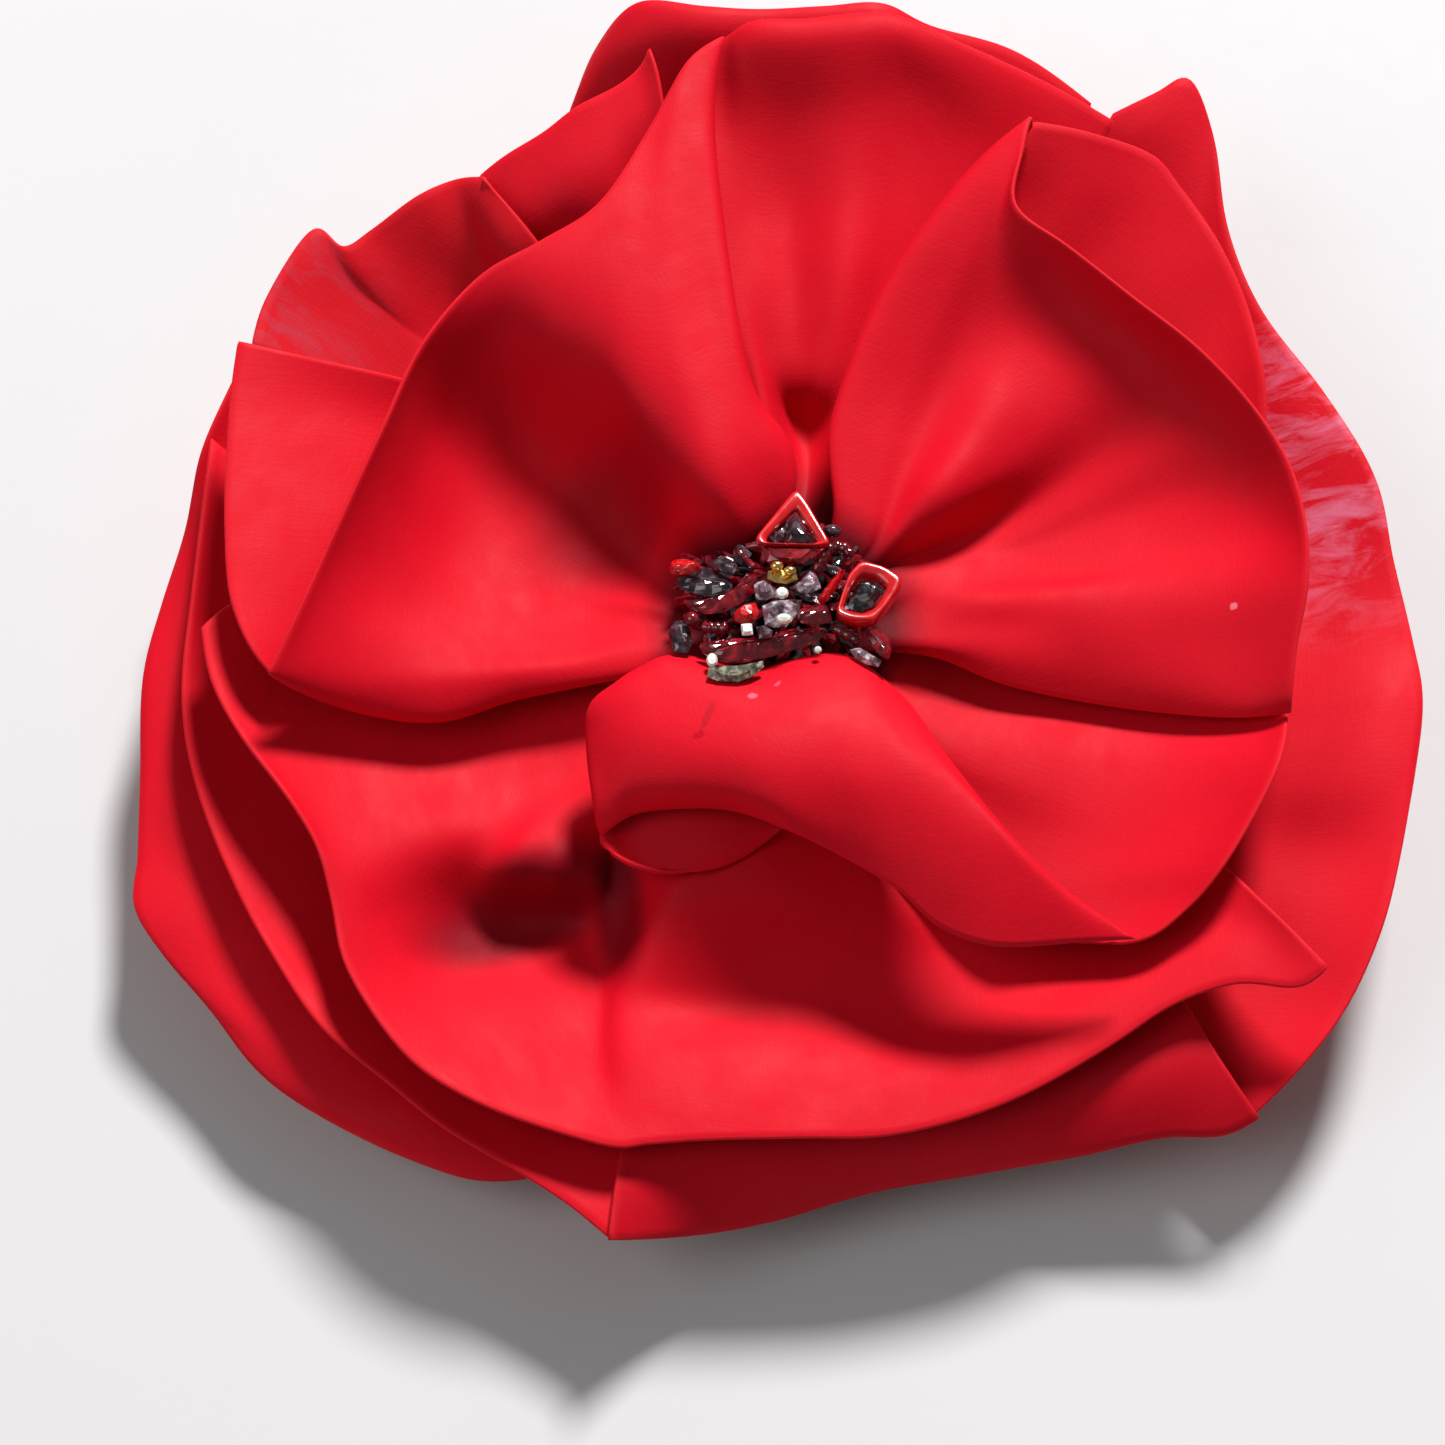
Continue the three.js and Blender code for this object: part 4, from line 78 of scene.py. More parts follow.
# ------------------------------------------------------------------ shader helpers
class Mat:
    """A node material built in a few calls. Constants go straight on the shader's sockets."""

    def __init__(self, name):
        self.mat = bpy.data.materials.new(name)
        self.mat.use_nodes = True
        self.nt = self.mat.node_tree
        self.bsdf = self.nt.nodes["Principled BSDF"]

    def set(self, **values):
        for k, v in values.items():
            self.bsdf.inputs[k.replace("_", " ")].default_value = v
        return self

    def node(self, kind, **props):
        n = self.nt.nodes.new(kind)
        for k, v in props.items():
            if k.startswith("in_"):
                key = k[3:]
                n.inputs[int(key) if key.isdigit() else key.replace("_", " ")].default_value = v
            else:
                setattr(n, k, v)
        return n

    def link(self, a, b):
        self.nt.links.new(a, b)

    def math(self, op, a, b=None, c=None, clamp=False):
        n = self.node("ShaderNodeMath", operation=op, use_clamp=clamp)
        for i, v in enumerate((a, b, c)):
            if v is None:
                continue
            if isinstance(v, (int, float)):
                n.inputs[i].default_value = v
            else:
                self.link(v, n.inputs[i])
        return n.outputs[0]

    def noise(self, vec, scale, detail=3.0, rough=0.5, distortion=0.0):
        n = self.node("ShaderNodeTexNoise", in_Scale=scale, in_Detail=detail, in_Roughness=rough, in_Distortion=distortion)
        if vec is not None:
            self.link(vec, n.inputs["Vector"])
        return n.outputs["Fac"]

    def ramp(self, fac, stops, interp="LINEAR"):
        n = self.node("ShaderNodeValToRGB")
        cr = n.color_ramp
        cr.interpolation = interp
        while len(cr.elements) < len(stops):
            cr.elements.new(0.5)
        for e, (p, c) in zip(cr.elements, stops):
            e.position = p
            e.color = (*c, 1) if len(c) == 3 else c
        self.link(fac, n.inputs[0])
        return n.outputs[0]

    def mix(self, fac, a, b, mode="MIX"):
        n = self.node("ShaderNodeMix", data_type="RGBA", blend_type=mode)
        n.clamp_factor = True
        for sock, v in ((n.inputs[0], fac), (n.inputs[6], a), (n.inputs[7], b)):
            if isinstance(v, (int, float)):
                sock.default_value = v
            elif isinstance(v, tuple):
                sock.default_value = (*v, 1) if len(v) == 3 else v
            else:
                self.link(v, sock)
        return n.outputs[2]

    def bump(self, height, distance, strength=1.0, prev=None):
        n = self.node("ShaderNodeBump", in_Distance=distance, in_Strength=strength)
        self.link(height, n.inputs["Height"])
        if prev is not None:
            self.link(prev, n.inputs["Normal"])
        return n.outputs[0]

    def obj_coord(self):
        return self.node("ShaderNodeTexCoord").outputs["Object"]


def srgb(r, g, b):
    f = lambda c: c / 12.92 if c <= 0.04045 else ((c + 0.055) / 1.055) ** 2.4
    return tuple(f(c / 255) for c in (r, g, b))


# ------------------------------------------------------------------ petal ribs, mm, root to rim
PETALS = {
    "petal_inner_left": [
        [[-1, 6.5, 19.5], [0.6, 15.09, 20], [-0.74, 18.02, 21.7], [-3.69, 20.77, 22.7], [-5.12, 27.92, 24.8], [-7.11, 37.63, 26.5], [-7.58, 45.57, 27.8], [-7.13, 50.72, 29.2], [-6.12, 54.01, 30.4]],
        [[-2, 6, 20], [0.88, 11.42, 22.6], [0.18, 15.37, 24.6], [-2.38, 18.53, 26.2], [-4.15, 25.52, 28.4], [-5.48, 35.3, 29.8], [-6.29, 43.51, 30.6], [-6.21, 49.92, 31], [-5.48, 54.53, 31.2]],
        [[-3.5, 6, 20], [-0.8, 9.09, 22.2], [-2.49, 12.94, 26], [-5.04, 19.46, 28], [-7.17, 27.97, 29.5], [-8.61, 36.77, 30.8], [-9, 45, 31.6], [-8.21, 51.8, 31.8]],
        [[-5, 5, 19.5], [-3.28, 6.37, 22.3], [-5.83, 9.43, 26.2], [-8.64, 16.21, 28.2], [-10.96, 25.51, 30], [-12.07, 33.45, 30.9], [-12.29, 38.12, 31.2], [-11.98, 44.03, 31.4]],
        [[-6, 4.5, 19.3], [-5.83, 5.49, 21.2], [-8.82, 9.6, 23.4], [-11.56, 14.14, 25.4], [-13.94, 19.53, 27.9], [-15.56, 25.58, 29.9], [-16.32, 31.76, 31], [-16.38, 36.05, 31.2]],
        [[-6.5, 3.5, 18.8], [-8.13, 5.62, 19.4], [-11.26, 10.47, 19.2], [-14.59, 15.58, 20.4], [-17.95, 20.04, 24], [-20.2, 24.26, 27.9], [-21.45, 28.78, 30.2], [-21.67, 32.12, 30.8]],
        [[-7, 2.5, 18.5], [-10.1, 5.55, 17.4], [-14.44, 10.08, 16.2], [-19.34, 14.83, 17], [-23.49, 20.49, 19.8], [-25.59, 24.18, 24.8], [-26.62, 27.25, 29], [-26.95, 28.88, 30.2]],
        [[-7, 1.5, 18.3], [-11.25, 4.3, 16.9], [-16.38, 6.74, 15.7], [-21.8, 9.73, 15.9], [-26.8, 14.7, 17.2], [-30.03, 19.14, 21.1], [-31.38, 21.48, 26.5], [-31.75, 22.47, 29.5]],
        [[-7, 0.5, 18], [-11.4, 2.33, 17.5], [-17.22, 4, 16], [-23.48, 5.08, 15.9], [-29.67, 6.98, 17.6], [-33.1, 9.81, 21], [-34.83, 12.74, 25.5], [-34.96, 14.74, 28.4]],
        [[-6.8, -0.5, 18], [-11.39, 1.11, 17.5], [-17.17, 1.53, 16.4], [-24.23, 1, 16.8], [-31.19, 1.59, 18.8], [-35.86, 3.39, 22], [-38.26, 5.02, 25.6], [-38.76, 5.2, 27]],
        [[-6.5, -1.5, 18], [-11.38, -0.16, 17.6], [-17.1, -1.3, 17.3], [-24.09, -2.59, 17.8], [-31.42, -3.47, 19.4], [-37.73, -3.54, 22.2], [-41.4, -3.51, 24.8], [-42, -3.14, 25.9]],
        [[-6, -2.5, 18], [-12.68, -2.34, 17.9], [-17.92, -3.74, 17.9], [-24.02, -4.85, 18.1], [-30.91, -6.48, 18.9], [-37.68, -7.31, 20.8], [-42.58, -7.48, 23.8], [-44, -7.75, 25]],
        [[-5.5, -3, 18], [-15.12, -4.56, 17.2], [-19.68, -5.44, 16.8], [-23.62, -6.23, 16.6], [-30.09, -8.67, 16.9], [-36.52, -8.73, 18.3], [-41.87, -8.35, 21.8], [-44.19, -8.11, 24.6]],
        [[-5.5, -2.5, 17.2], [-14.91, -3.38, 15.6], [-19.78, -3.71, 14.9], [-23.75, -4.25, 14.8], [-30.28, -6.32, 15.1], [-36.76, -6.37, 16.5], [-41.66, -6.79, 20.2], [-43.79, -7.48, 23.8]],
    ],
    "petal_inner_back": [
        [[-3, 7.6, 17.5], [-2.5, 19.93, 19], [-5.21, 28.71, 22], [-7.49, 40.61, 25.4], [-7.96, 49.53, 27], [-7.51, 53.86, 27.9], [-7.14, 55.16, 28.3]],
        [[-2, 8, 17.6], [-1.16, 19.62, 19.5], [-3.4, 28.71, 22], [-4.93, 41.18, 24.6], [-5.48, 49.68, 26.8], [-5.48, 53.86, 28.8], [-5.3, 55.54, 29.6]],
        [[-1, 8.3, 17.7], [0.86, 18.9, 16.4], [0.25, 22.71, 16.8], [-0.4, 24.29, 19.2], [-1.49, 28.29, 21], [-2.02, 32.79, 22.4], [-2.73, 41.68, 23.9], [-2.91, 48.7, 26.6], [-2.91, 53.02, 29.9], [-2.73, 55.06, 31.4], [-2.64, 56.36, 31.2]],
        [[0.3, 8.5, 17.4], [2.04, 17.8, 15.6], [1.72, 22.77, 16.2], [1.5, 24.5, 19.2], [1.24, 28.56, 20.6], [1, 34.29, 21.8], [0.76, 42.03, 23.4], [0.77, 48.28, 26.4], [1.38, 52.57, 30.2], [1.83, 54.75, 31.8], [1.95, 56.35, 31.5]],
        [[1.5, 8.4, 17.2], [3.12, 17.34, 16], [3.61, 22.08, 16.6], [3.85, 23.86, 19.2], [4.76, 27.75, 21], [5.52, 34.36, 23.3], [6.04, 42.08, 24.9], [6.53, 48.67, 27.4], [6.78, 53.06, 30.6], [6.77, 55.28, 32], [6.81, 56.96, 31.6]],
        [[2.6, 8.2, 17], [5.65, 20.56, 18], [7.99, 29.77, 20.4], [9.9, 38.29, 22.4], [11.07, 45.66, 24.6], [11.44, 50.94, 27.4], [11.02, 54.08, 30.3], [10.64, 55.67, 31.5], [10.5, 57.04, 31.2]],
        [[3.6, 7.9, 16.7], [8.44, 22.51, 16.6], [12.21, 32.89, 19], [15.06, 41.21, 21.4], [16.86, 48.21, 24.2], [17.37, 52.22, 27.2], [16.89, 54.43, 28.8], [16.43, 55.39, 29.2]],
        [[4.6, 7.4, 16.3], [10.77, 23.15, 15.6], [16.01, 34.1, 17.2], [20.71, 43.04, 20.4], [24.18, 49.93, 23.4], [24.94, 52.46, 24.6], [24.96, 53.77, 25]],
        [[5.4, 6.9, 16], [12.62, 22.57, 14.8], [18.8, 32.69, 16], [24.49, 41.92, 18.8], [28.9, 47.98, 21.4], [30.42, 50.67, 22.4], [30.89, 51.36, 22.7]],
    ],
    "petal_inner_right": [
        [[3.5, 6.2, 19], [5.94, 12.38, 19.3], [6, 18.96, 20.54], [8.33, 26.53, 22.04], [12.01, 32.97, 23.74], [16.15, 38.68, 25.78], [19.79, 42.76, 27.82], [22.57, 45.61, 29.86]],
        [[3, 5.5, 20], [4.51, 9.08, 21.36], [4.03, 16.33, 23.06], [5.49, 21.78, 24.42], [9.14, 30.34, 26.8], [14.6, 37.92, 29.18], [18.71, 42.45, 30.54], [22.36, 45.24, 31.42]],
        [[4.5, 5, 20], [6.87, 6.61, 20.68], [8.09, 13.63, 22.38], [10.23, 21.16, 23.74], [13.6, 28.11, 26.12], [17.21, 34.35, 28.84], [19.74, 38.45, 30.74], [21.49, 41.56, 31.76]],
        [[5, 4.5, 19.8], [7.59, 6.4, 20.34], [10.76, 13, 21.7], [14.02, 20.75, 22.72], [17.22, 27.72, 25.1], [19.44, 32.65, 28.16], [20.44, 35, 30.54], [20.69, 35.83, 31.36]],
        [[5.5, 4, 19.5], [8.48, 6.19, 20], [12.87, 11.05, 23.2], [17.89, 17.96, 23.8], [22.13, 25.91, 24.6], [24.33, 30.41, 27.5], [25.01, 31.77, 29.9], [25.21, 31.79, 30.8]],
        [[6, 3.5, 19.3], [9.39, 6.25, 19.2], [14.48, 9.82, 22], [21.96, 16.87, 22.2], [27.41, 22.98, 24.2], [30, 26.39, 27.1], [30.82, 26.82, 30.1]],
        [[6.5, 3, 19], [9.85, 6.09, 18.6], [16.22, 9.62, 17.5], [25.64, 15.07, 19.7], [31.8, 19.39, 23.2], [35.14, 21.48, 26.5], [36.61, 21.63, 29.5]],
        [[6.8, 2.2, 18.8], [10.28, 5.37, 18.6], [17.95, 8.01, 17.6], [27.32, 12.2, 19.6], [34.3, 15.45, 22.8], [38.5, 16.36, 25.5], [41.13, 16.16, 28.6]],
        [[7, 1.5, 18.6], [10.7, 4.49, 18.7], [19.24, 7.07, 17.8], [27.25, 9.45, 19], [35.13, 11.66, 21.36], [40.56, 11.86, 24.42], [43.8, 11.3, 27.82]],
        [[7, 0.8, 18.5], [11.13, 3.59, 18.5], [19.12, 4.61, 18.5], [27.01, 4.85, 19.5], [34.9, 6.71, 21.02], [41.63, 6.63, 23.74], [45.04, 5.32, 27.14]],
        [[7, 0, 18.3], [11.55, 2.18, 18.3], [17.67, 2.11, 19.3], [24.19, 2.03, 20.34], [31.98, 1.74, 21.36], [39.56, 0.77, 23.4], [44.97, -0.29, 26.12]],
        [[6.8, -0.8, 18.2], [12.82, -0.15, 18.3], [18.93, -0.24, 19], [25.83, -1.31, 20], [33.54, -2.8, 20.88], [40.23, -4.43, 22.38], [43.9, -5.27, 24.42]],
        [[6.5, -1.6, 18], [13.67, -2, 18], [19.76, -3.31, 18.2], [26.67, -4.97, 18.5], [34.32, -7, 19.5], [40.12, -8.81, 21.02], [43.4, -9.43, 22.72]],
        [[6, -2.3, 18], [12.82, -2.25, 17.2], [18.92, -4.74, 16.8], [25.84, -6.64, 17], [33.53, -8.37, 18], [39.74, -9.83, 20], [43.41, -10.18, 21.56]],
    ],
    "petal_front_tongue": [
        [[-3, -6.5, 18.6], [-1.35, -14.12, 20], [-0.85, -16.81, 19.6], [-0.27, -20.25, 19.2]],
        [[-3.5, -6.3, 18.6], [-7.37, -12.28, 20.2], [-5.48, -23.75, 18.6], [-5.48, -23.75, 18.6]],
        [[-4, -6, 18.7], [-11.25, -11.85, 20.3], [-10.33, -23.98, 18.1], [-10.32, -24.27, 18.7]],
        [[-4.5, -5.6, 18.8], [-14.1, -10.54, 20.6], [-14.01, -22.75, 18.1], [-13.98, -23.29, 19.2]],
        [[-5, -5.2, 19], [-16.51, -9.46, 21.5], [-16.98, -13, 21.2], [-16.4, -18.28, 20.6], [-15.81, -21.24, 18.9]],
        [[-5.4, -4.8, 19.2], [-15.61, -9.28, 22.8], [-15.65, -13.17, 22.8], [-15.45, -16.98, 21.8], [-15.01, -19.81, 20.8], [-14.5, -20.61, 20.5]],
        [[-5.2, -4.6, 19.6], [-13.55, -7.96, 23.6], [-13.32, -12.46, 24.2], [-13.29, -15.33, 23.8], [-13.46, -18.24, 22.4], [-12.45, -19.82, 21.2]],
        [[-4.6, -4.8, 19.8], [-10.98, -6.5, 23.8], [-10.08, -11.44, 25], [-9.71, -15.76, 25], [-9.71, -18.48, 23.8], [-8.19, -19.9, 22.3]],
        [[-3.3, -5.8, 20], [-7.54, -7.1, 24], [-6.07, -12.83, 25.8], [-5.65, -16.94, 25.8], [-5.22, -19.36, 24.6], [-4.38, -20.64, 23.2]],
        [[-1.4, -6.1, 20], [-3.5, -8.08, 24], [-1.84, -13.58, 26.3], [-1.02, -17.87, 26.3], [-0.6, -20.98, 25], [-0.34, -22.35, 23.6]],
        [[0.9, -6.1, 20], [1.23, -6.4, 23.8], [3.24, -13.15, 26.4], [4.28, -18.29, 26.2], [4.86, -22.09, 24.4], [5.3, -24.75, 22.2]],
        [[2.7, -5.6, 19.8], [4.87, -5.69, 23.4], [7.23, -13.05, 26.2], [8.9, -19.13, 26], [9.62, -23.87, 24.2], [9.48, -27.46, 21.8]],
        [[3.8, -5.2, 19.6], [7.1, -6.74, 23], [10.01, -14.75, 25.8], [12.81, -20.91, 25.8], [14.01, -26.52, 23.9], [13.2, -30.79, 21.2]],
        [[4.5, -4.8, 19.4], [8.47, -7.9, 22.6], [12.11, -15.97, 25.4], [16.54, -23.06, 25.4], [18.58, -28.23, 23.6], [18.16, -32.44, 21.4]],
        [[5, -4.4, 19.2], [9.24, -8.58, 22.4], [13.37, -16.91, 25], [18.62, -24.26, 25], [22.35, -28.5, 23.2], [24.46, -31.89, 21.2]],
        [[5.3, -4.1, 19], [9.76, -9.05, 22.2], [13.83, -16.6, 24.4], [17.89, -22.46, 24.2], [22.85, -27.56, 22.6], [26.6, -30.05, 21.6], [29.1, -31.48, 20.9]],
    ],
    "petal_right_fold": [
        [[7, 1, 16.5], [14.88, 4.69, 14.8], [26.53, 5.72, 14.8], [36.15, 4, 16], [42.12, 0.83, 18]],
        [[7.5, -0.5, 16.3], [15.62, -1.32, 14.6], [26.28, -0.82, 14.6], [36.67, -2.6, 16], [42.81, -5.74, 19]],
        [[7.5, -1.5, 16], [14.62, -5.35, 14.6], [24.27, -6.07, 15], [34.6, -7.76, 16.3], [41.36, -9.3, 19], [43.17, -10.06, 20.8]],
        [[7.3, -2.5, 16], [13.65, -8.06, 15], [22.3, -10.35, 15.6], [32.54, -12.56, 17], [39.07, -14.21, 19.8], [42.08, -15.35, 22]],
        [[7, -3.5, 15.8], [12.73, -10.04, 15], [20.45, -14.13, 15.3], [29.76, -17.17, 16.5], [36.69, -19.06, 19.3], [39.51, -20.45, 21.5]],
        [[6.5, -4.3, 15.6], [11.85, -11.26, 14.5], [18.67, -17.03, 14.3], [27.06, -21.1, 15.7], [33.55, -23.61, 18.3], [36.83, -24.58, 20.5]],
        [[6, -5, 15.8], [10.05, -13.33, 14.7], [16.02, -19.69, 13.8], [23.55, -24.1, 15], [30.17, -26.29, 16.6], [33.97, -27.52, 18.8]],
        [[5, -5.8, 16], [8.27, -14.46, 15], [13.34, -21.81, 14.2], [20.06, -26.71, 14.5], [26.7, -28.83, 16], [29.91, -30.04, 17.4]],
        [[4, -6.3, 16.4], [5.64, -14.77, 15.6], [9.01, -21.24, 15], [14.09, -26.48, 14], [19.06, -29.06, 15.5], [22.48, -28.64, 15.6]],
    ],
    "petal_front_cup": [
        [[-8, 1, 14.5], [-20.11, 9.87, 13], [-31.81, 9.58, 13.5], [-41.34, 6.05, 16], [-47.94, 2.29, 19], [-50.83, -1.3, 20.34]],
        [[-8, -0.5, 14.3], [-19.96, 1.71, 12.8], [-30.6, -0.44, 13], [-40.09, -3.56, 15], [-46.19, -6.46, 18.5], [-49.35, -7.38, 20.2]],
        [[-8, -2, 14.2], [-19.84, -4.38, 12.8], [-29.5, -7, 13], [-38.88, -9.81, 15.5], [-44.6, -11.88, 18.5], [-46.49, -12.37, 20]],
        [[-7.5, -3, 14.2], [-19.77, -8.39, 12.8], [-28.45, -12.12, 13.3], [-36.89, -15.69, 15.5], [-41.33, -17.73, 18], [-42.5, -17.62, 19.3]],
        [[-7, -4, 14], [-19.25, -12.35, 12.8], [-26.51, -17.75, 13.8], [-34.1, -21.24, 15], [-37.73, -23.17, 17], [-40, -21.71, 18.3]],
        [[-6.5, -4.5, 14], [-18.3, -15.31, 13.6], [-23.08, -20.95, 14.8], [-27.8, -22.96, 9.6], [-32.18, -26.11, 11.6], [-35.92, -28.17, 15.6], [-38.57, -26.67, 17.4]],
        [[-6, -5, 13.8], [-17.49, -16.78, 13.8], [-20.05, -21.71, 14.8], [-23.56, -23.55, 8.6], [-27.5, -28.05, 9.2], [-32.48, -32.68, 13.6], [-37.06, -32.55, 17]],
        [[-5.5, -5.5, 13.6], [-16.79, -17.75, 13.4], [-17.91, -21.9, 14], [-19.98, -23.7, 8.5], [-22.48, -28.2, 8.9], [-26.31, -34.02, 12], [-32.31, -39.54, 16]],
        [[-5, -6, 13.4], [-15.92, -18.81, 12.8], [-16.04, -22.19, 13], [-17.26, -24.08, 8.7], [-18.56, -28.71, 9.2], [-20.59, -34.77, 11.6], [-23.33, -40.79, 13.8], [-26.69, -43.5, 15.5]],
        [[-4.5, -6.3, 13.4], [-14.88, -19.96, 12], [-14.85, -23.15, 11.4], [-15.54, -27.28, 9.6], [-16.57, -35.57, 11.3], [-18.26, -42.03, 13.5], [-20.23, -45.9, 14.8]],
        [[-4, -6.6, 13.5], [-13.02, -21.32, 12.8], [-13.44, -25.25, 11.4], [-14.71, -29.07, 10.4], [-15.54, -35.66, 11.5], [-15.56, -42.48, 13.5], [-15.14, -47.35, 14.4]],
        [[-3.3, -7, 16.5], [-9.76, -23.63, 16], [-11.65, -28.18, 13.6], [-13.51, -33.6, 12.1], [-13.24, -39.33, 13.6], [-11.65, -47.09, 14.2]],
        [[-2.5, -7.2, 17.5], [-6.5, -24.02, 16.8], [-7.19, -29.12, 13.6], [-7.79, -33.19, 11.6], [-7.33, -39.29, 13.5], [-6.9, -46.65, 14]],
        [[-1, -7.5, 16], [-1.38, -24.11, 17], [-0.5, -28.8, 12.9], [-0.08, -33.15, 11.3], [0.44, -39.16, 13.2], [1.04, -46.47, 14]],
        [[0.5, -7.5, 15.2], [3.79, -24.29, 15.4], [6.55, -29.76, 11.9], [8.45, -35.15, 11.2], [9.12, -40.53, 13.2], [9.4, -46.03, 13.8]],
        [[2, -7.3, 14.6], [8.13, -23.72, 14.2], [12.84, -28.81, 11.9], [15.89, -33.41, 11.9], [17.61, -37.96, 13.6], [18.65, -43.31, 14.4]],
        [[3.5, -7, 14.3], [12.54, -22.04, 12.7], [19.74, -27.62, 12.4], [23.58, -31.48, 13], [25.85, -35.21, 14.7], [27.19, -38.56, 15]],
        [[5, -6.3, 14.2], [15.17, -21.08, 12.7], [23.65, -26.25, 12.5], [29.41, -29.31, 14], [31.49, -32.38, 15.6], [32.51, -35.15, 15.8]],
        [[6, -5.5, 14.1], [16.96, -19.15, 12.7], [26.4, -22.81, 12.3], [33.77, -26.1, 14.8], [36.62, -29.99, 16.5], [38.07, -33.57, 16.8]],
        [[7, -4.5, 14.1], [18.77, -17.15, 12.6], [29.12, -20.02, 12.5], [35.95, -23.54, 15.8], [40.2, -28.45, 17.2], [43.15, -34.3, 17.6]],
        [[7.5, -3.5, 13.8], [19.79, -13.92, 12], [30.09, -17.25, 12.8], [36.86, -22.01, 16.2], [40.73, -26.95, 17.8], [45.39, -32.95, 18.5]],
    ],
    "petal_back_right_fold": [
        [[5, 6.5, 18.3], [10.55, 18.06, 18.6], [15.2, 29.14, 21.36], [19.85, 38.85, 24.76], [22.01, 43.88, 27.82], [22.85, 46.6, 28.98]],
        [[5.5, 6, 18.2], [12.38, 18.43, 18], [18.4, 28.5, 20.68], [23.93, 37.12, 24.08], [26.69, 42.94, 26.8], [28.08, 45.97, 28.16]],
        [[6, 5.5, 18], [13.3, 18.22, 17.5], [20.69, 27.87, 20], [28.09, 36.73, 23.06], [31.77, 41.69, 25.44], [33.83, 44.75, 26.46]],
        [[6.5, 5, 17.8], [14.22, 17.99, 17], [22.54, 26.9, 19], [29.89, 34.13, 22.04], [34.5, 39.64, 24.42], [36.17, 42.14, 25.44]],
        [[7, 4.4, 17.6], [15.12, 17.12, 16.7], [24.34, 25.19, 18.3], [32.55, 31.31, 21.36], [37.11, 35.39, 23.4], [39.45, 36.88, 24.42]],
        [[7.4, 3.8, 17.4], [16, 15.72, 16.4], [26.14, 23.02, 17.5], [34.28, 27.64, 20.34], [39.67, 30.62, 22.38], [41.68, 31.24, 23.4]],
        [[7.8, 3.1, 17.2], [16.93, 14.74, 15.4], [27.89, 20.25, 16.8], [35.92, 22.81, 19.5], [41.22, 24.29, 21.36], [43.07, 24.16, 22.38]],
        [[8, 2.4, 17], [17.33, 12.76, 15.2], [28.67, 16.31, 16.3], [36.67, 18.12, 18.5], [41.47, 19.09, 20.34], [43.17, 18.87, 21.02]],
    ],
    "petal_left_leaf": [
        [[-6, 5, 17], [-16.55, 17.1, 15], [-23.81, 21.19, 17], [-30.04, 23.03, 20], [-34.43, 23.42, 22.04], [-41.47, 24.01, 24.08], [-48.63, 25.04, 25.44]],
        [[-6.5, 4.5, 17], [-16.53, 15.29, 14.5], [-24.7, 18.61, 16], [-31.81, 19.93, 19], [-37.92, 20.34, 21.7], [-44.01, 20.63, 23.74], [-48.96, 20.81, 25.1]],
        [[-7, 4, 16.8], [-17.4, 12.25, 14.3], [-25.53, 14.28, 15.3], [-32.56, 14.56, 18.3], [-38.6, 14.78, 21.36], [-44.18, 14.56, 23.4], [-49.06, 14.23, 24.76]],
        [[-7.3, 3, 16.6], [-17.35, 9.11, 14.3], [-25.43, 9.74, 15], [-32.42, 9.25, 17.6], [-38.37, 8.37, 20.82], [-44.29, 7.55, 23.06], [-48.84, 6.74, 24.42]],
        [[-7.5, 2, 16.4], [-17.3, 6, 14.3], [-25.3, 5.09, 15], [-32.27, 3.94, 17], [-39.04, 2.22, 20], [-43.99, 0.35, 22.38], [-47.95, -0.54, 23.94]],
        [[-7.5, 1, 16.2], [-17.26, 3.43, 14.3], [-25.21, 1.5, 15], [-32.16, -0.35, 16.5], [-38.93, -2.25, 19], [-42.99, -4.06, 21.36], [-46.03, -5, 23.4]],
        [[-7.5, 0.2, 16], [-17.22, 1.27, 14.5], [-25.14, -1.04, 15], [-32.12, -2.79, 15.8], [-38.46, -4.7, 18], [-42.14, -5.9, 20.2], [-44.3, -6.91, 22.4]],
    ],
    "petal_upper_left": [
        [[-7.5, 4.5, 15.2], [-20.28, 19.21, 13.3], [-32.26, 25.69, 15], [-41.23, 27.01, 18], [-46.45, 27.2, 20.68], [-47.94, 27.51, 21.36]],
        [[-7.2, 5, 15.2], [-20.3, 20.28, 13.3], [-32.27, 27, 15.5], [-40.43, 30.49, 18.5], [-45.33, 32.63, 21.02], [-46.81, 32.5, 21.7]],
        [[-6.8, 5.4, 15.2], [-19.86, 21.36, 13.3], [-31.39, 28.85, 16], [-38.25, 33.99, 19], [-41.88, 37.35, 21.36], [-43.02, 39.54, 22.04]],
        [[-6.4, 5.8, 15.2], [-19.41, 21.9, 13.3], [-30.5, 29.95, 16], [-36.42, 33.99, 19], [-39.12, 36.48, 21.02], [-40.13, 37.89, 21.7]],
        [[-6, 6.2, 15.2], [-18.5, 22.37, 13.4], [-27.77, 31.04, 16], [-33.7, 35.86, 19.5], [-36.42, 38.46, 21.36], [-37.6, 39.54, 22.04]],
        [[-5.5, 6.5, 15.2], [-17.59, 23.33, 13.6], [-25.92, 32.16, 16.8], [-30.92, 37.74, 20.8], [-32.72, 41.06, 23.2], [-33.36, 42.08, 23.8]],
        [[-5, 6.8, 15.2], [-16.67, 23.62, 14], [-23.57, 32.05, 17.8], [-27.65, 37.6, 21.8], [-29.49, 41.75, 23.8], [-29.97, 43.44, 24.4]],
        [[-4.6, 7, 15.2], [-15.74, 23.84, 14.5], [-21.67, 31.25, 19], [-25.23, 35.8, 23.6], [-27.07, 40.06, 25.4], [-27.58, 42.77, 25.8]],
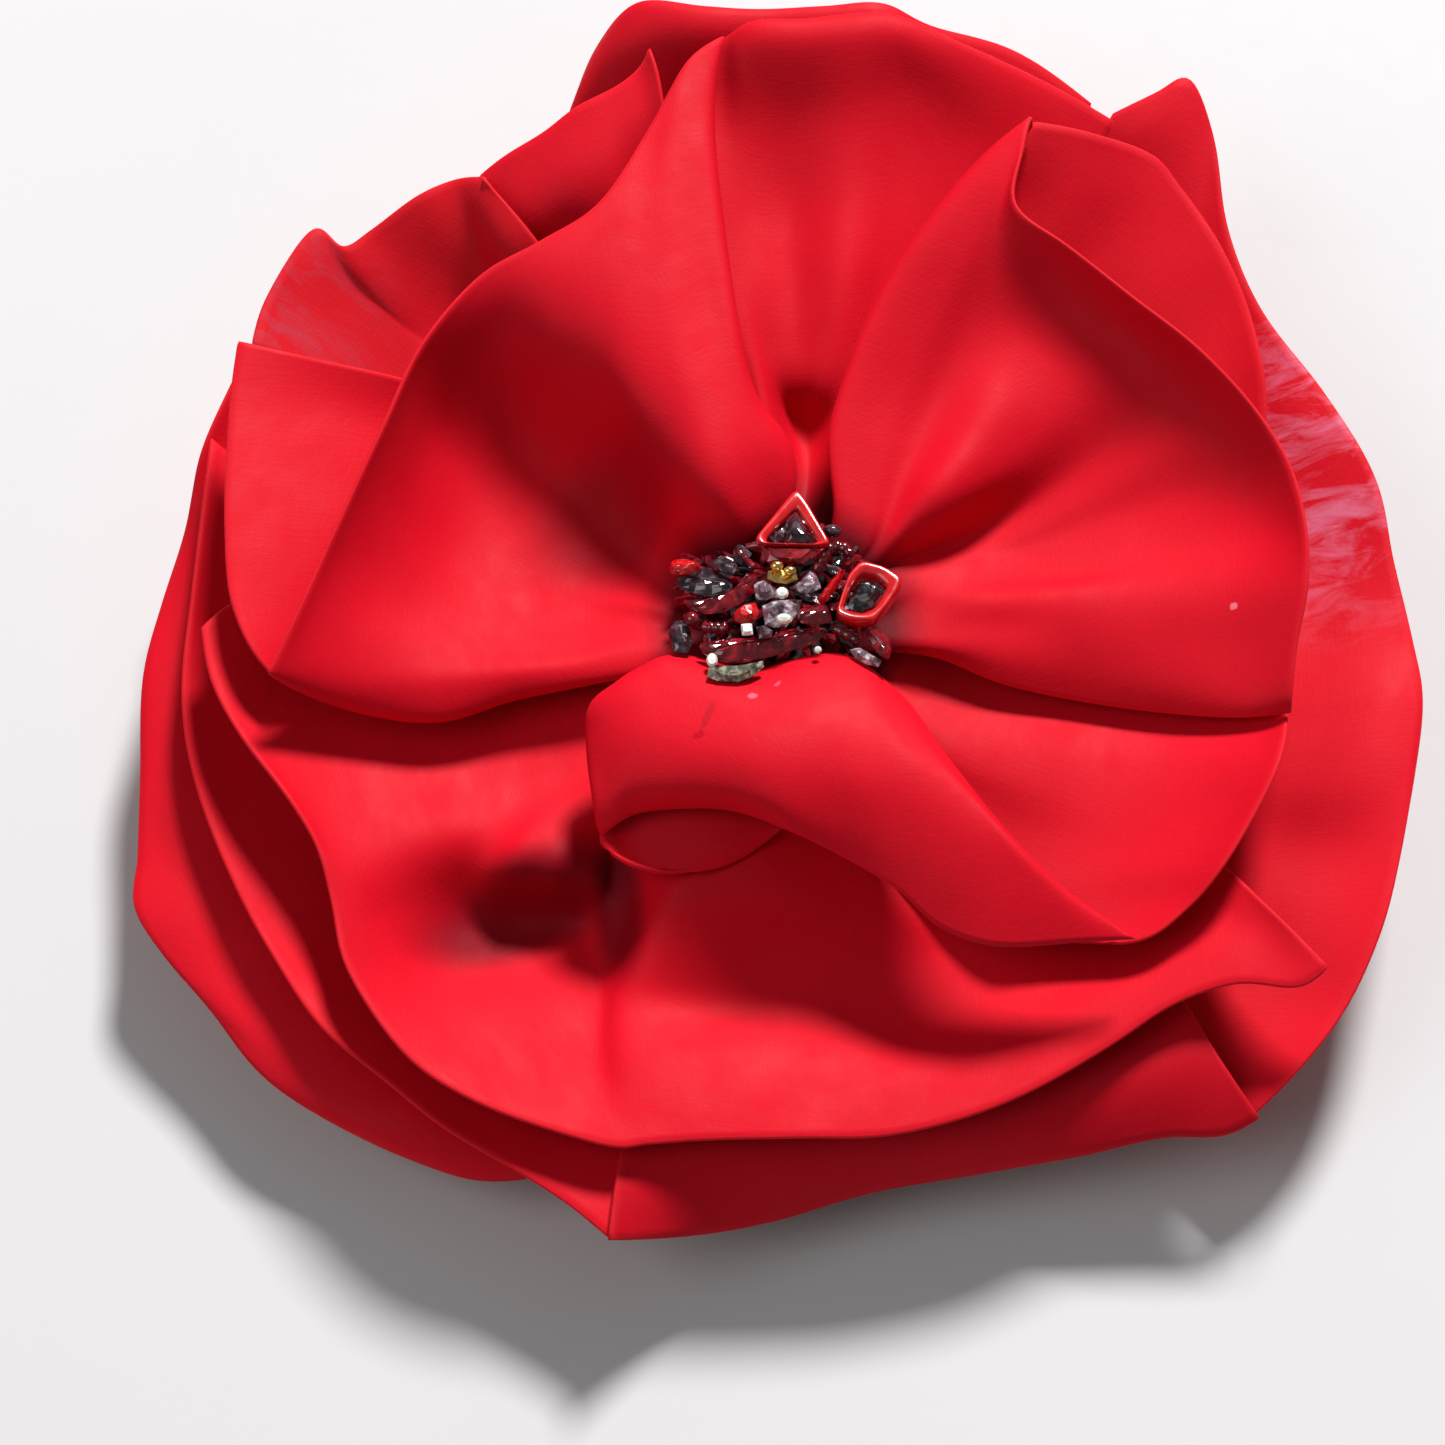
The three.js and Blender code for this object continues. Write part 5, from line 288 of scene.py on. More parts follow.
        [[-4.3, 7.2, 15.2], [-14.82, 24.48, 15.2], [-19.17, 31.95, 20.4], [-21.82, 35.66, 24.6], [-24.29, 38.67, 25.8], [-25.67, 40.26, 26.2], [-27.26, 42.12, 26.4]],
    ],
    "petal_back_left_fold": [
        [[-5.5, 6.5, 14.2], [-14.88, 26.65, 13.5], [-20.43, 35.07, 17.4], [-23.79, 38.29, 22.4], [-26.57, 42.65, 24.1], [-27.7, 44.04, 24.2]],
        [[-5, 7, 14.2], [-13.05, 28.51, 14], [-17.64, 36.34, 18.8], [-21.18, 40.07, 24.6], [-23.98, 44.37, 25.6], [-25.1, 45.42, 25.7]],
        [[-4.6, 7.2, 14.2], [-11.66, 29.28, 14.5], [-15.75, 36.49, 21], [-18.6, 41.71, 26.2], [-20.75, 45.93, 27], [-21.69, 47.05, 27]],
        [[-4.2, 7.4, 14.2], [-10.46, 30.05, 15], [-13.63, 37.18, 21.6], [-16.14, 43.36, 27], [-17.74, 48, 28], [-18.75, 48.94, 28.1]],
        [[-3.8, 7.6, 14.2], [-9.35, 30.82, 15.5], [-12.08, 38.98, 22.2], [-13.88, 46.13, 27.8], [-14.63, 49.89, 28.8], [-15, 50.72, 28.9]],
        [[-3.4, 7.8, 14.2], [-8.43, 31.04, 16], [-10.7, 39.48, 22.6], [-12.24, 47.59, 28.4], [-12.71, 51.13, 29.4], [-12.99, 52.23, 29.6]],
        [[-3, 8, 14.2], [-7.51, 30.91, 16.2], [-9.33, 39.34, 22.8], [-10.68, 47.29, 28.8], [-11.42, 51.51, 30.4], [-12.07, 53.47, 30.8]],
    ],
    "petal_rear_outer": [
        [[-4.5, 8.5, 13.2], [-14.9, 25.42, 12], [-19.68, 39.27, 14.5], [-21.03, 48.94, 18.5], [-19.9, 53.23, 20.8], [-19.36, 54.47, 21]],
        [[-4, 8.8, 13.2], [-12.14, 27.42, 12.3], [-15.95, 41.96, 15.5], [-17.83, 52.07, 20.5], [-17.6, 55.79, 24], [-16.87, 58.5, 25]],
        [[-3.2, 9, 13.2], [-9.37, 28.32, 12.6], [-11.73, 43.18, 17], [-13.11, 53.29, 23.5], [-13.63, 57.16, 27.5], [-13.37, 60.47, 28.6]],
        [[-2.2, 9.2, 13.2], [-5.67, 29.16, 13], [-6.6, 43.61, 18], [-7.52, 53.61, 24.6], [-7.51, 56.46, 28.4], [-7.42, 58.06, 29.6], [-7.33, 59.49, 29.4]],
        [[-1, 9.4, 13.2], [-1.5, 30, 13.4], [-1.48, 44.39, 18.5], [-1.48, 53.76, 24.4], [-1.78, 56.5, 27.6], [-1.78, 58.07, 29], [-1.78, 59.46, 29]],
        [[0.5, 9.4, 13.2], [3.13, 30, 13.4], [4.11, 44.39, 18.5], [4.37, 53.76, 24.4], [4.14, 56.69, 27.8], [4.04, 58.38, 29.2], [4.05, 59.65, 29.2]],
        [[2, 9.2, 13.2], [7.28, 29.03, 13.2], [9.72, 43.89, 17.6], [10.15, 54.06, 24], [9.88, 56.92, 27.8], [9.69, 58.76, 29], [9.62, 60.04, 29]],
        [[3, 9, 13.2], [10.06, 28.19, 12.8], [13.9, 42.05, 17], [14.85, 52.11, 22], [14.41, 56.31, 25.6], [14.13, 58.08, 26.6], [14.05, 59.09, 26.8]],
        [[3.8, 8.8, 13.2], [11.44, 27.29, 12.5], [17.19, 40.63, 15.8], [20.5, 50.14, 20], [21.35, 55.54, 22.8], [21.64, 57.68, 23.8], [21.66, 58.57, 24]],
        [[4.5, 8.5, 13.2], [12.82, 26.39, 12.2], [20.46, 39.07, 14.8], [26.23, 48.51, 17.5], [28.38, 52.58, 19.8], [29.08, 55, 20.6]],
    ],
    "petal_right_outer": [
        [[4, 9, 12.2], [11.01, 26.05, 11], [18.75, 40.43, 12.8], [26.34, 49.23, 16.5], [30.34, 52.94, 19], [31.4, 54.58, 19.6]],
        [[5, 8.5, 12.2], [13.76, 24.96, 11], [22.46, 38.38, 12.5], [30.99, 48.08, 16.5], [34.25, 53.04, 19.5], [35.55, 56.41, 20.41]],
        [[5.8, 8, 12.2], [15.58, 23.87, 11], [25.18, 36.14, 12.5], [33.76, 46.15, 16], [37.33, 52.81, 19.5], [38.49, 57.57, 20.88]],
        [[6.5, 7.2, 12.2], [16.49, 22.91, 10.8], [26.97, 33.12, 12], [35.51, 41.32, 14.8], [38.87, 47.51, 17.3], [40.57, 52.6, 19]],
        [[7.2, 6.4, 12.2], [17.83, 21.29, 10.8], [28.71, 29.93, 11.8], [37.21, 37.16, 14.3], [40.31, 41.41, 16.3], [41.52, 43.2, 17.3]],
        [[7.8, 5.5, 12.1], [18.68, 18.72, 10.6], [30.4, 25.74, 11.5], [39.67, 30.71, 14], [42.83, 33.25, 16], [44.19, 34.37, 16.8]],
        [[8.3, 4.5, 12], [19.95, 15.51, 10.6], [32.02, 20.44, 11.3], [42.08, 24.28, 13.8], [46.48, 25.18, 15.8], [49.34, 25.59, 16.5]],
        [[8.7, 3.3, 12], [20.74, 11.34, 10.5], [33.58, 14.21, 11], [43.53, 16.73, 13], [49.67, 17.1, 15], [53.49, 16.7, 16]],
        [[9, 2, 12], [21.52, 7.26, 10.3], [35.12, 8.13, 10.6], [45.82, 9.12, 12.5], [51.03, 9.08, 14], [54.64, 8.7, 15]],
        [[9, 0.8, 12], [21.34, 2.13, 10.2], [35.69, 1.91, 10.6], [46.2, 1.37, 12.5], [52.23, 1.04, 14], [55.78, 0.76, 14.5]],
        [[8.8, -0.5, 12], [22.06, -2.98, 10.2], [36.26, -4.21, 10.6], [46.55, -5.69, 13], [52.46, -6.5, 14.5], [56.17, -5.3, 14.5]],
        [[8.5, -1.8, 12], [21.88, -8.02, 10.2], [35.9, -10.73, 10.6], [46.05, -12.95, 13], [51.56, -13.46, 14], [54.96, -12.48, 14]],
        [[8.2, -2.8, 11.8], [21.77, -11.81, 9.8], [34.77, -16.01, 10.3], [44.15, -18.07, 11.5], [49.61, -19.05, 12.5], [53.22, -20.02, 13.5]],
        [[7.9, -3.6, 11.5], [20.8, -15.46, 9.2], [32.88, -20.4, 9.3], [42.1, -23.63, 11], [47.91, -25.54, 12], [51.11, -26.96, 13]],
        [[7.6, -4.4, 11.2], [19.85, -18.21, 8.8], [30.99, -24.08, 8.9], [39.29, -28.51, 10.2], [45.02, -31.7, 11], [48.02, -33.37, 12]],
        [[7.2, -5.2, 11], [18.03, -20.94, 8.4], [28.24, -27.73, 8.5], [35.61, -33.47, 9.7], [40.95, -36.86, 10], [43.95, -38.68, 11]],
        [[6.8, -6, 10.8], [16.21, -23.7, 8.1], [25.54, -30.44, 8.2], [32.14, -36.26, 8.6], [36.99, -40.6, 9], [39.35, -42.91, 9.5]],
    ],
    "petal_lower_left": [
        [[-9, 2.5, 12.9], [-27.64, 18.94, 12], [-40.45, 19.64, 12.6], [-49.32, 19.23, 15], [-51.73, 20.25, 16.8]],
        [[-9, 1, 12.9], [-28.32, 10.58, 11.8], [-40.97, 9.53, 11.8], [-50.05, 7.44, 14.5], [-52.57, 4.91, 16.2]],
        [[-9, 0, 12.9], [-28.09, 2.38, 11.6], [-40.55, -0.52, 11.3], [-49.91, -3.91, 13.8], [-52.93, -5.23, 15.3]],
        [[-8.5, -1.5, 12.8], [-27.87, -5.64, 11.4], [-39.23, -10.44, 11], [-47.72, -13.34, 12.8], [-51.28, -13.67, 14.4]],
        [[-8, -3, 12.7], [-26.82, -13.1, 10.4], [-36.26, -19.86, 10.2], [-43.77, -22.81, 12.3], [-47.81, -22.24, 13.7]],
        [[-7, -4.5, 12.6], [-25.06, -17.77, 7.9], [-32.62, -26.82, 8.6], [-39.21, -29.91, 11.2], [-44.04, -29.13, 13.2]],
        [[-6.5, -5.5, 12.5], [-23.24, -21.34, 7.2], [-28.98, -32.33, 8.2], [-35.06, -36.12, 11.5], [-39.65, -35.76, 12.8]],
        [[-6, -6, 12.4], [-20.55, -24.2, 7.1], [-24.54, -36.26, 8.6], [-29.37, -41.06, 11.2], [-33.95, -40.69, 12.5]],
        [[-5, -6.5, 12.3], [-18.29, -27.31, 7.6], [-21.03, -39.21, 9], [-25.06, -44.54, 10.8], [-28.35, -45.21, 12]],
        [[-4.5, -7, 12.2], [-16.08, -28.45, 8], [-17.59, -40.22, 9.2], [-20.38, -46.35, 10.8], [-22.4, -48.65, 11.6]],
        [[-4, -7.5, 12.1], [-13.9, -29.4, 8], [-15.02, -40.35, 9.5], [-16.58, -47.25, 10.8], [-18.34, -51.29, 11.3]],
        [[-3.5, -8, 12], [-11.72, -30.44, 8.2], [-12.63, -40.39, 9.6], [-13.56, -46.35, 10.8], [-14.63, -54.37, 11]],
    ],
    "petal_front_outer": [
        [[-3, -8, 12.8], [-10.13, -32.1, 9.8], [-11.41, -40.98, 11], [-12.69, -46.79, 11.9], [-14.53, -54.72, 11.7]],
        [[-2, -8.3, 12.6], [-6.94, -32.01, 9.6], [-6.92, -40.89, 10.8], [-7.41, -46.55, 11.3], [-7.83, -49.65, 9.6], [-8.17, -52.56, 7.4]],
        [[-0.5, -8.6, 12.4], [-2.2, -31.88, 9.3], [-1.4, -40.72, 10.4], [-1.1, -45.98, 11], [-1.01, -48.52, 9], [-0.99, -50.76, 6.2]],
        [[1, -8.6, 12.4], [3.84, -31.84, 9.2], [5.42, -39.72, 10.2], [6.34, -44.54, 10.8], [6.87, -46.71, 9], [7.09, -48.48, 6.6]],
        [[2.5, -8.4, 12.4], [9.9, -30.89, 9.2], [13.1, -38.8, 10.2], [14.64, -43.49, 10.9], [15.52, -45.52, 9.2], [16.03, -46.97, 6.9]],
        [[4, -8.6, 12], [15.09, -29.27, 9.8], [20, -36.11, 10.4], [22.55, -41.14, 11.4], [23.83, -43.76, 10], [24.49, -45.77, 8]],
        [[5.3, -7.9, 12], [19.49, -26.56, 10.1], [26.09, -33.4, 10.6], [29.94, -39.19, 12.2], [32.08, -44.43, 9.2]],
        [[6.3, -7.1, 12], [22.14, -24.74, 10.3], [29.6, -30.81, 11.1], [33.81, -37.52, 12.6], [37.15, -44.33, 9.4]],
        [[7, -6.4, 12], [23.94, -22.86, 10.4], [30.55, -28.54, 11.3], [33.78, -33.49, 12.5], [36.5, -38.5, 12.3], [39.93, -43.2, 10.2]],
    ],
    "petal_left_outer": [
        [[-9, 4, 11.6], [-25.92, 20.75, 10.8], [-37.05, 23.75, 11.2], [-45.3, 25.88, 13], [-48.86, 27.32, 15], [-49.98, 27.22, 16.5]],
        [[-9.3, 3, 11.6], [-26.76, 17.65, 10.6], [-37.84, 19.67, 10.8], [-46.92, 20.36, 12.3], [-51.78, 20.8, 14.2], [-52.67, 20.51, 15]],
        [[-9.5, 2, 11.6], [-27.56, 13.39, 10.6], [-38.56, 14.51, 10.5], [-48, 13.39, 11.5], [-52.54, 13.74, 11.8], [-54.29, 14.41, 11.2]],
        [[-9.6, 1, 11.6], [-27.42, 8.19, 10.5], [-39.21, 7.43, 10], [-49.05, 6.86, 11], [-54.39, 6.17, 11.3], [-56.04, 6.57, 10.6]],
        [[-9.6, 0, 11.6], [-28.18, 3.05, 10.4], [-39.82, 0.3, 9.8], [-49.1, -1.11, 10.5], [-55.29, -1.38, 11], [-57.27, -1.05, 10.4]],
        [[-9.4, -1, 11.6], [-28.04, -1.96, 10.2], [-39.52, -6.7, 9.6], [-49.14, -8.97, 10.1], [-54.81, -10.07, 10.3], [-56.95, -9.91, 9.6]],
        [[-9.1, -2, 11.6], [-27.91, -6.91, 10], [-38.34, -13.59, 9.4], [-47.87, -16.64, 9.6], [-53.96, -17.62, 9.6], [-56.75, -17.67, 9.1]],
        [[-8.7, -3, 11.6], [-26.97, -11.2, 8.6], [-36.45, -18.89, 8.2], [-45.81, -22.82, 9.3], [-52.73, -23.79, 9.3], [-56.68, -22.92, 8.9]],
        [[-8.2, -4, 11.6], [-26.08, -14.32, 6.9], [-34.62, -23.14, 6.9], [-42.97, -27.91, 8.9], [-49.44, -28.82, 8.8], [-53.92, -27.2, 8.4]],
        [[-7.6, -5, 11.2], [-25.12, -18.02, 6.4], [-31.83, -27.86, 6.7], [-39.25, -33.54, 8.8], [-45.23, -34.86, 8.6], [-49.59, -32.2, 7.9]],
        [[-7, -5.8, 10.9], [-23.31, -20.77, 6], [-29.08, -31.76, 6.9], [-35.21, -38.08, 8.5], [-40.75, -39.34, 8.2], [-45, -37.93, 7.5]],
        [[-6.3, -6.5, 11], [-21.47, -23.78, 6.2], [-25.52, -35.44, 6.7], [-30.8, -41.77, 8.5], [-35.05, -42.94, 8], [-39, -42.11, 7.1]],
        [[-5.6, -7.2, 10.9], [-19.67, -26.54, 5.9], [-22.88, -37.31, 6.7], [-26.93, -43.44, 8.1], [-30.31, -45.48, 7.5], [-32.51, -45.12, 6.6]],
        [[-5, -7.8, 10.8], [-17.89, -28.36, 5.7], [-20.21, -39.63, 7.8], [-23.5, -44.35, 8.1], [-25.61, -46.76, 7.3], [-26.75, -47.13, 6.4]],
        [[-4.5, -8.3, 10.8], [-16.09, -29.81, 6.8], [-17.62, -40.64, 8], [-20.1, -44.39, 8.2], [-21.37, -46.27, 7.2], [-22.26, -46.92, 6.1]],
    ],
}

# ------------------------------------------------------------------ jewels, mm
JEWELS = {
    "leaf_bezel": {"kind": 'band', "outer": [[0.98, 9.33], [1.93, 7.91], [2.95, 5.78], [3.97, 3.66], [2.84, 3.46], [1.28, 3.51], [-0.28, 3.56], [-2.01, 3.61], [-2.7, 4.16], [-0.95, 6.59]], "inner": [[0.97, 7.4], [1.48, 6.38], [2.25, 5.07], [2.85, 4.01], [2.32, 3.66], [1.28, 3.66], [-0.28, 3.71], [-1.49, 3.76], [-1.66, 4.31], [-0.26, 5.93]], "z": 26.2, "h": 0.8},
    "leaf_stone_left": {"kind": 'stone', "outline": [[-1.01, 4.52], [-0.53, 5.23], [-0, 5.63], [0.17, 5.03], [0.07, 4.12], [-0.62, 4.12]], "z": 26.1, "up": 0.45, "down": 0.4, "inUp": 0.5, "inDown": 0.6},
    "leaf_stone_right": {"kind": 'stone', "outline": [[0.26, 5.94], [0.88, 6.75], [1.56, 5.63], [2.24, 4.12], [1.2, 3.97], [0.25, 4.02]], "z": 26.1, "up": 0.55, "down": 0.4, "inUp": 0.5, "inDown": 0.6},
    "garnet_bar": {"kind": 'stone', "outline": [[-2.01, 3.23], [-0.62, 3.33], [1.28, 3.23], [2.93, 3.33], [2.4, 2.63], [1.53, 1.93], [-0.11, 2.03], [-1.58, 2.13]], "z": 25.9, "up": 0.55, "down": 0.5, "inUp": 0.7, "inDown": 0.7},
    "garnet_stem_left": {"kind": 'rod', "path": [[-4.26, 4.02, 24.9], [-3.39, 2.9, 25.1], [-2.71, 1.8, 25.6]], "r": 0.28},
    "violet_leaf": {"kind": 'stone', "outline": [[-6.35, 3.19], [-5.3, 3.8], [-4.26, 3.19], [-3.91, 2.09], [-4.78, 1.69], [-5.74, 2.29]], "z": 24.25, "up": 0.25, "down": 0.3, "inUp": 0.6, "inDown": 0.7},
    "red_tip_leaf": {"kind": 'stone', "outline": [[-10.08, 2.27], [-9.74, 2.97], [-8.61, 3.07], [-7.48, 2.67], [-7.21, 2.07], [-8.17, 1.57], [-9.29, 1.47], [-9.9, 1.57]], "z": 24.8, "up": 0.5, "down": 0.35, "inUp": 0.6, "inDown": 0.7},
    "smoky_leaf": {"kind": 'stone', "outline": [[-9.57, 1.56], [-8.87, 2.36], [-7.4, 3.07], [-6.35, 2.77], [-5.04, 1.86], [-4.43, 0.96], [-5.04, -0.14], [-6.69, -0.04], [-8.26, 0.36], [-9.22, 0.86]], "z": 23.6, "up": 0.45, "down": 0.35, "inUp": 0.6, "inDown": 0.7},
    "garnet_leaf_upper": {"kind": 'stone', "outline": [[-9.02, -1.09], [-7.38, -1.09], [-5.65, -1.19], [-4.35, 0.01], [-3.48, 1.41], [-2.44, 2.01], [-1.31, 1.71], [-1.84, 0.71], [-2.88, -0.59], [-3.92, -1.58], [-5.13, -2.28], [-6.68, -2.57], [-8.07, -2.08]], "z": 24.9, "up": 0.5, "down": 0.35, "inUp": 0.55, "inDown": 0.7},
    "gold_bead_left": {"kind": 'bead', "at": [-0.74, 1.03, 27.1], "r": [0.6, 0.45, 0.45]},
    "gold_bead_right": {"kind": 'bead', "at": [0.38, 0.53, 27.1], "r": [0.6, 0.42, 0.42]},
    "gold_setting": {"kind": 'stone', "outline": [[-1.5, 1.11], [-0.72, 1.31], [0.14, 1.01], [0.91, 0.91], [1.08, 0.22], [0.13, -0.18], [-0.82, -0.08], [-1.59, 0.31]], "z": 26.1, "up": 0.45, "down": 0.4, "inUp": 0.6, "inDown": 0.7},
    "grey_facet": {"kind": 'stone', "outline": [[0.63, -0.83], [1.33, -0.23], [2.11, 0.76], [2.71, 0.17], [3.04, -0.93], [2.26, -1.42], [1.31, -1.42]], "z": 26.7, "up": 0.55, "down": 0.4, "inUp": 0.5, "inDown": 0.7},
    "clear_stone_round": {"kind": 'bead', "at": [-0.33, -1.71, 27.2], "r": [0.58, 0.58, 0.42]},
    "clear_stone_oval": {"kind": 'bead', "at": [-0.17, -4.21, 27.1], "r": [0.75, 0.5, 0.45]},
    "crystal_upper": {"kind": 'stone', "outline": [[-2.72, -0.17], [-2.02, 0.33], [-1.33, -0.07], [-0.82, -0.66], [-1, -1.36], [-1.69, -1.66], [-2.55, -1.56]], "z": 25.9, "up": 0.6, "down": 0.45, "inUp": 0.5, "inDown": 0.7},
    "crystal_middle": {"kind": 'stone', "outline": [[-2.03, -2.02], [-1.08, -1.53], [0.13, -1.43], [1.42, -1.43], [1.24, -2.22], [0.8, -3.11], [0.11, -4], [-0.92, -4.2], [-1.78, -3.9]], "z": 25.5, "up": 0.7, "down": 0.4, "inUp": 0.5, "inDown": 0.7},
    "red_petal_bead": {"kind": 'stone', "outline": [[-4.44, -2.77], [-3.67, -1.98], [-2.63, -1.78], [-2.29, -2.67], [-2.64, -3.56], [-3.59, -3.86], [-4.36, -3.56]], "z": 25.6, "up": 0.7, "down": 0.4, "inUp": 0.5, "inDown": 0.7},
    "garnet_petal_right": {"kind": 'stone', "outline": [[0.96, -3.09], [1.91, -2.59], [3.2, -2.49], [3.87, -3.28], [3.69, -4.27], [2.32, -4.47], [1.12, -4.27]], "z": 26.5, "up": 0.6, "down": 0.4, "inUp": 0.55, "inDown": 0.7},
    "square_stone": {"kind": 'stone', "outline": [[-3.85, -4.59], [-2.91, -4.54], [-2.83, -5.57], [-3.77, -5.66]], "z": 26.8, "up": 0.4, "down": 0.5, "inUp": 0.7, "inDown": 0.6},
    "square_setting": {"kind": 'stone', "outline": [[-2.56, -4.44], [-1.79, -4.34], [-1.11, -4.83], [-1.28, -5.52], [-2.31, -5.62]], "z": 26.1, "up": 0.4, "down": 0.4, "inUp": 0.7, "inDown": 0.7},
    "red_leaf_lower": {"kind": 'stone', "outline": [[-7.62, -5.44], [-6.08, -5.14], [-4.45, -4.85], [-2.64, -4.94], [-1.18, -4.94], [-0.66, -4.16], [0.72, -3.96], [2.18, -3.96], [3.56, -3.86], [3.12, -4.94], [1.74, -5.73], [0.01, -6.22], [-1.62, -6.81], [-3.59, -7.3], [-5.48, -7.3], [-6.85, -6.71]], "z": 24.9, "up": 0.6, "down": 0.35, "inUp": 0.55, "inDown": 0.75},
    "clear_stone_low": {"kind": 'bead', "at": [-6.33, -7.39, 25.6], "r": [0.5, 0.7, 0.4]},
    "green_facet": {"kind": 'stone', "outline": [[-6.59, -8.23], [-5.31, -8.03], [-3.6, -8.03], [-1.97, -7.55], [-1.89, -8.13], [-2.92, -9.1], [-4.11, -9.59], [-5.82, -9.49], [-6.76, -9.1]], "z": 25.7, "up": 0.45, "down": 0.3, "inUp": 0.6, "inDown": 0.75},
    "clear_stone_small": {"kind": 'bead', "at": [2.74, -6.41, 25.6], "r": [0.35, 0.35, 0.3]},
    "red_arm": {"kind": 'stone', "outline": [[2.7, -1.81], [3.13, -2.21], [3.82, -1.52], [4.53, -0.32], [5.24, 1.17], [4.81, 1.37], [4.02, 0.27], [3.23, -0.82]], "z": 26, "up": 0.5, "down": 0.35, "inUp": 0.5, "inDown": 0.7},
    "kite_bezel": {"kind": 'band', "outer": [[5.4, 0.57], [6.55, 1.97], [8.53, 1.37], [10.14, 0.17], [9.6, -1.12], [8.53, -2.8], [7.57, -4.04], [5.85, -4.09], [4.23, -3.4], [4.86, -1.22]], "inner": [[5.87, -0.08], [6.62, 0.77], [7.91, 0.47], [8.75, -0.47], [8.39, -1.52], [7.59, -2.8], [6.64, -3.2], [5.61, -3.05], [4.92, -2.75], [5.29, -1.42]], "z": 26, "h": 1.3},
    "kite_stone": {"kind": 'stone', "outline": [[6.16, -0.38], [6.73, 0.27], [7.76, 0.02], [8.4, -0.73], [8.08, -1.52], [7.33, -2.61], [6.55, -2.96], [5.74, -2.81], [5.31, -2.51], [5.59, -1.47]], "z": 26.1, "up": 0.65, "down": 0.45, "inUp": 0.55, "inDown": 0.7},
    "garnet_elbow": {"kind": 'rod', "path": [[2.59, 1.83, 24.7], [3.29, 2.96, 25], [4.08, 4, 25.2], [5.04, 4, 25.2], [5.73, 3.21, 25]], "r": 0.48},
    "violet_bead_top": {"kind": 'bead', "at": [4.12, 5.84, 24.9], "r": [0.85, 0.6, 0.55]},
    "garnet_bead_left": {"kind": 'bead', "at": [-8.06, -3.03, 25], "r": [0.65, 0.65, 0.6]},
    "violet_bead_stack": {"kind": 'stone', "outline": [[-10.14, -3.95], [-9.62, -2.76], [-8.85, -2.66], [-8.24, -3.55], [-8.06, -4.84], [-8.4, -5.82], [-9.52, -5.72]], "z": 24, "up": 0.55, "down": 0.45, "inUp": 0.55, "inDown": 0.7},
    "left_bar": {"kind": 'rod', "path": [[-7.12, -3.42, 24.3], [-5.99, -3.69, 24.6], [-4.96, -3.8, 24.8]], "r": 0.5},
    "right_bar": {"kind": 'rod', "path": [[4.16, -3.86, 24.9], [5.19, -4.45, 24.9], [6.39, -5.13, 24.7]], "r": 0.48},
    "garnet_leaf_right": {"kind": 'stone', "outline": [[6.73, -4.14], [7.76, -4.24], [8.77, -5.03], [9.09, -6.11], [8.81, -7.38], [7.88, -6.7], [7.21, -5.72]], "z": 25.4, "up": 0.5, "down": 0.35, "inUp": 0.55, "inDown": 0.7},
    "smoky_bead_right": {"kind": 'stone', "outline": [[5.52, -5.92], [6.38, -5.72], [7.4, -6.41], [8.24, -6.99], [7.89, -7.58], [6.87, -7.29], [5.93, -6.7]], "z": 24.7, "up": 0.45, "down": 0.35, "inUp": 0.55, "inDown": 0.7},
}


# ------------------------------------------------------------------ cloth sheets from ribs
def tangents(p, t):
    m = np.zeros_like(p)
    h = np.diff(t).reshape((-1,) + (1,) * (p.ndim - 1))
    d = np.diff(p, axis=0) / h
    m[1:-1] = (d[:-1] * h[1:] + d[1:] * h[:-1]) / (h[:-1] + h[1:])
    m[0] = 1.5 * d[0] - 0.5 * m[1]
    m[-1] = 1.5 * d[-1] - 0.5 * m[-2]
    return m


def hermite(p, m, t, s):
    i = np.clip(np.searchsorted(t, s, side="right") - 1, 0, len(t) - 2)
    h = (t[i + 1] - t[i])
    u = (s - t[i]) / h
    sh = (-1,) + (1,) * (p.ndim - 1)
    u, h = u.reshape(sh), h.reshape(sh)
    return ((2 * u**3 - 3 * u**2 + 1) * p[i] + (u**3 - 2 * u**2 + u) * h * m[i]
            + (3 * u**2 - 2 * u**3) * p[i + 1] + (u**3 - u**2) * h * m[i + 1])


def rib(points, n):
    p = np.array(points, float)
    t = np.concatenate([[0], np.cumsum(np.sqrt(np.linalg.norm(np.diff(p, axis=0), axis=1) + 1e-6))])
    dense = hermite(p, tangents(p, t), t, np.linspace(0, t[-1], 24 * (len(p) - 1) + 1))
    L = np.concatenate([[0], np.cumsum(np.linalg.norm(np.diff(dense, axis=0), axis=1))])
    s = np.linspace(0, L[-1], n)
    return np.stack([np.interp(s, L, dense[:, c]) for c in range(3)], 1)


def sheet_grid(ribs, nu, nv):
    R = np.stack([rib(r, nu) for r in ribs], 0)                    # ribs, nu, 3
    d = np.linalg.norm(np.diff(R, axis=0), axis=2).mean(1) + 0.3
    t = np.concatenate([[0], np.cumsum(d**0.7)])
    # columns spread evenly by width, so that no strip of cloth is coarser than another
    return np.swapaxes(hermite(R, tangents(R, t), t, np.linspace(0, t[-1], nv)), 0, 1)   # nu, nv, 3


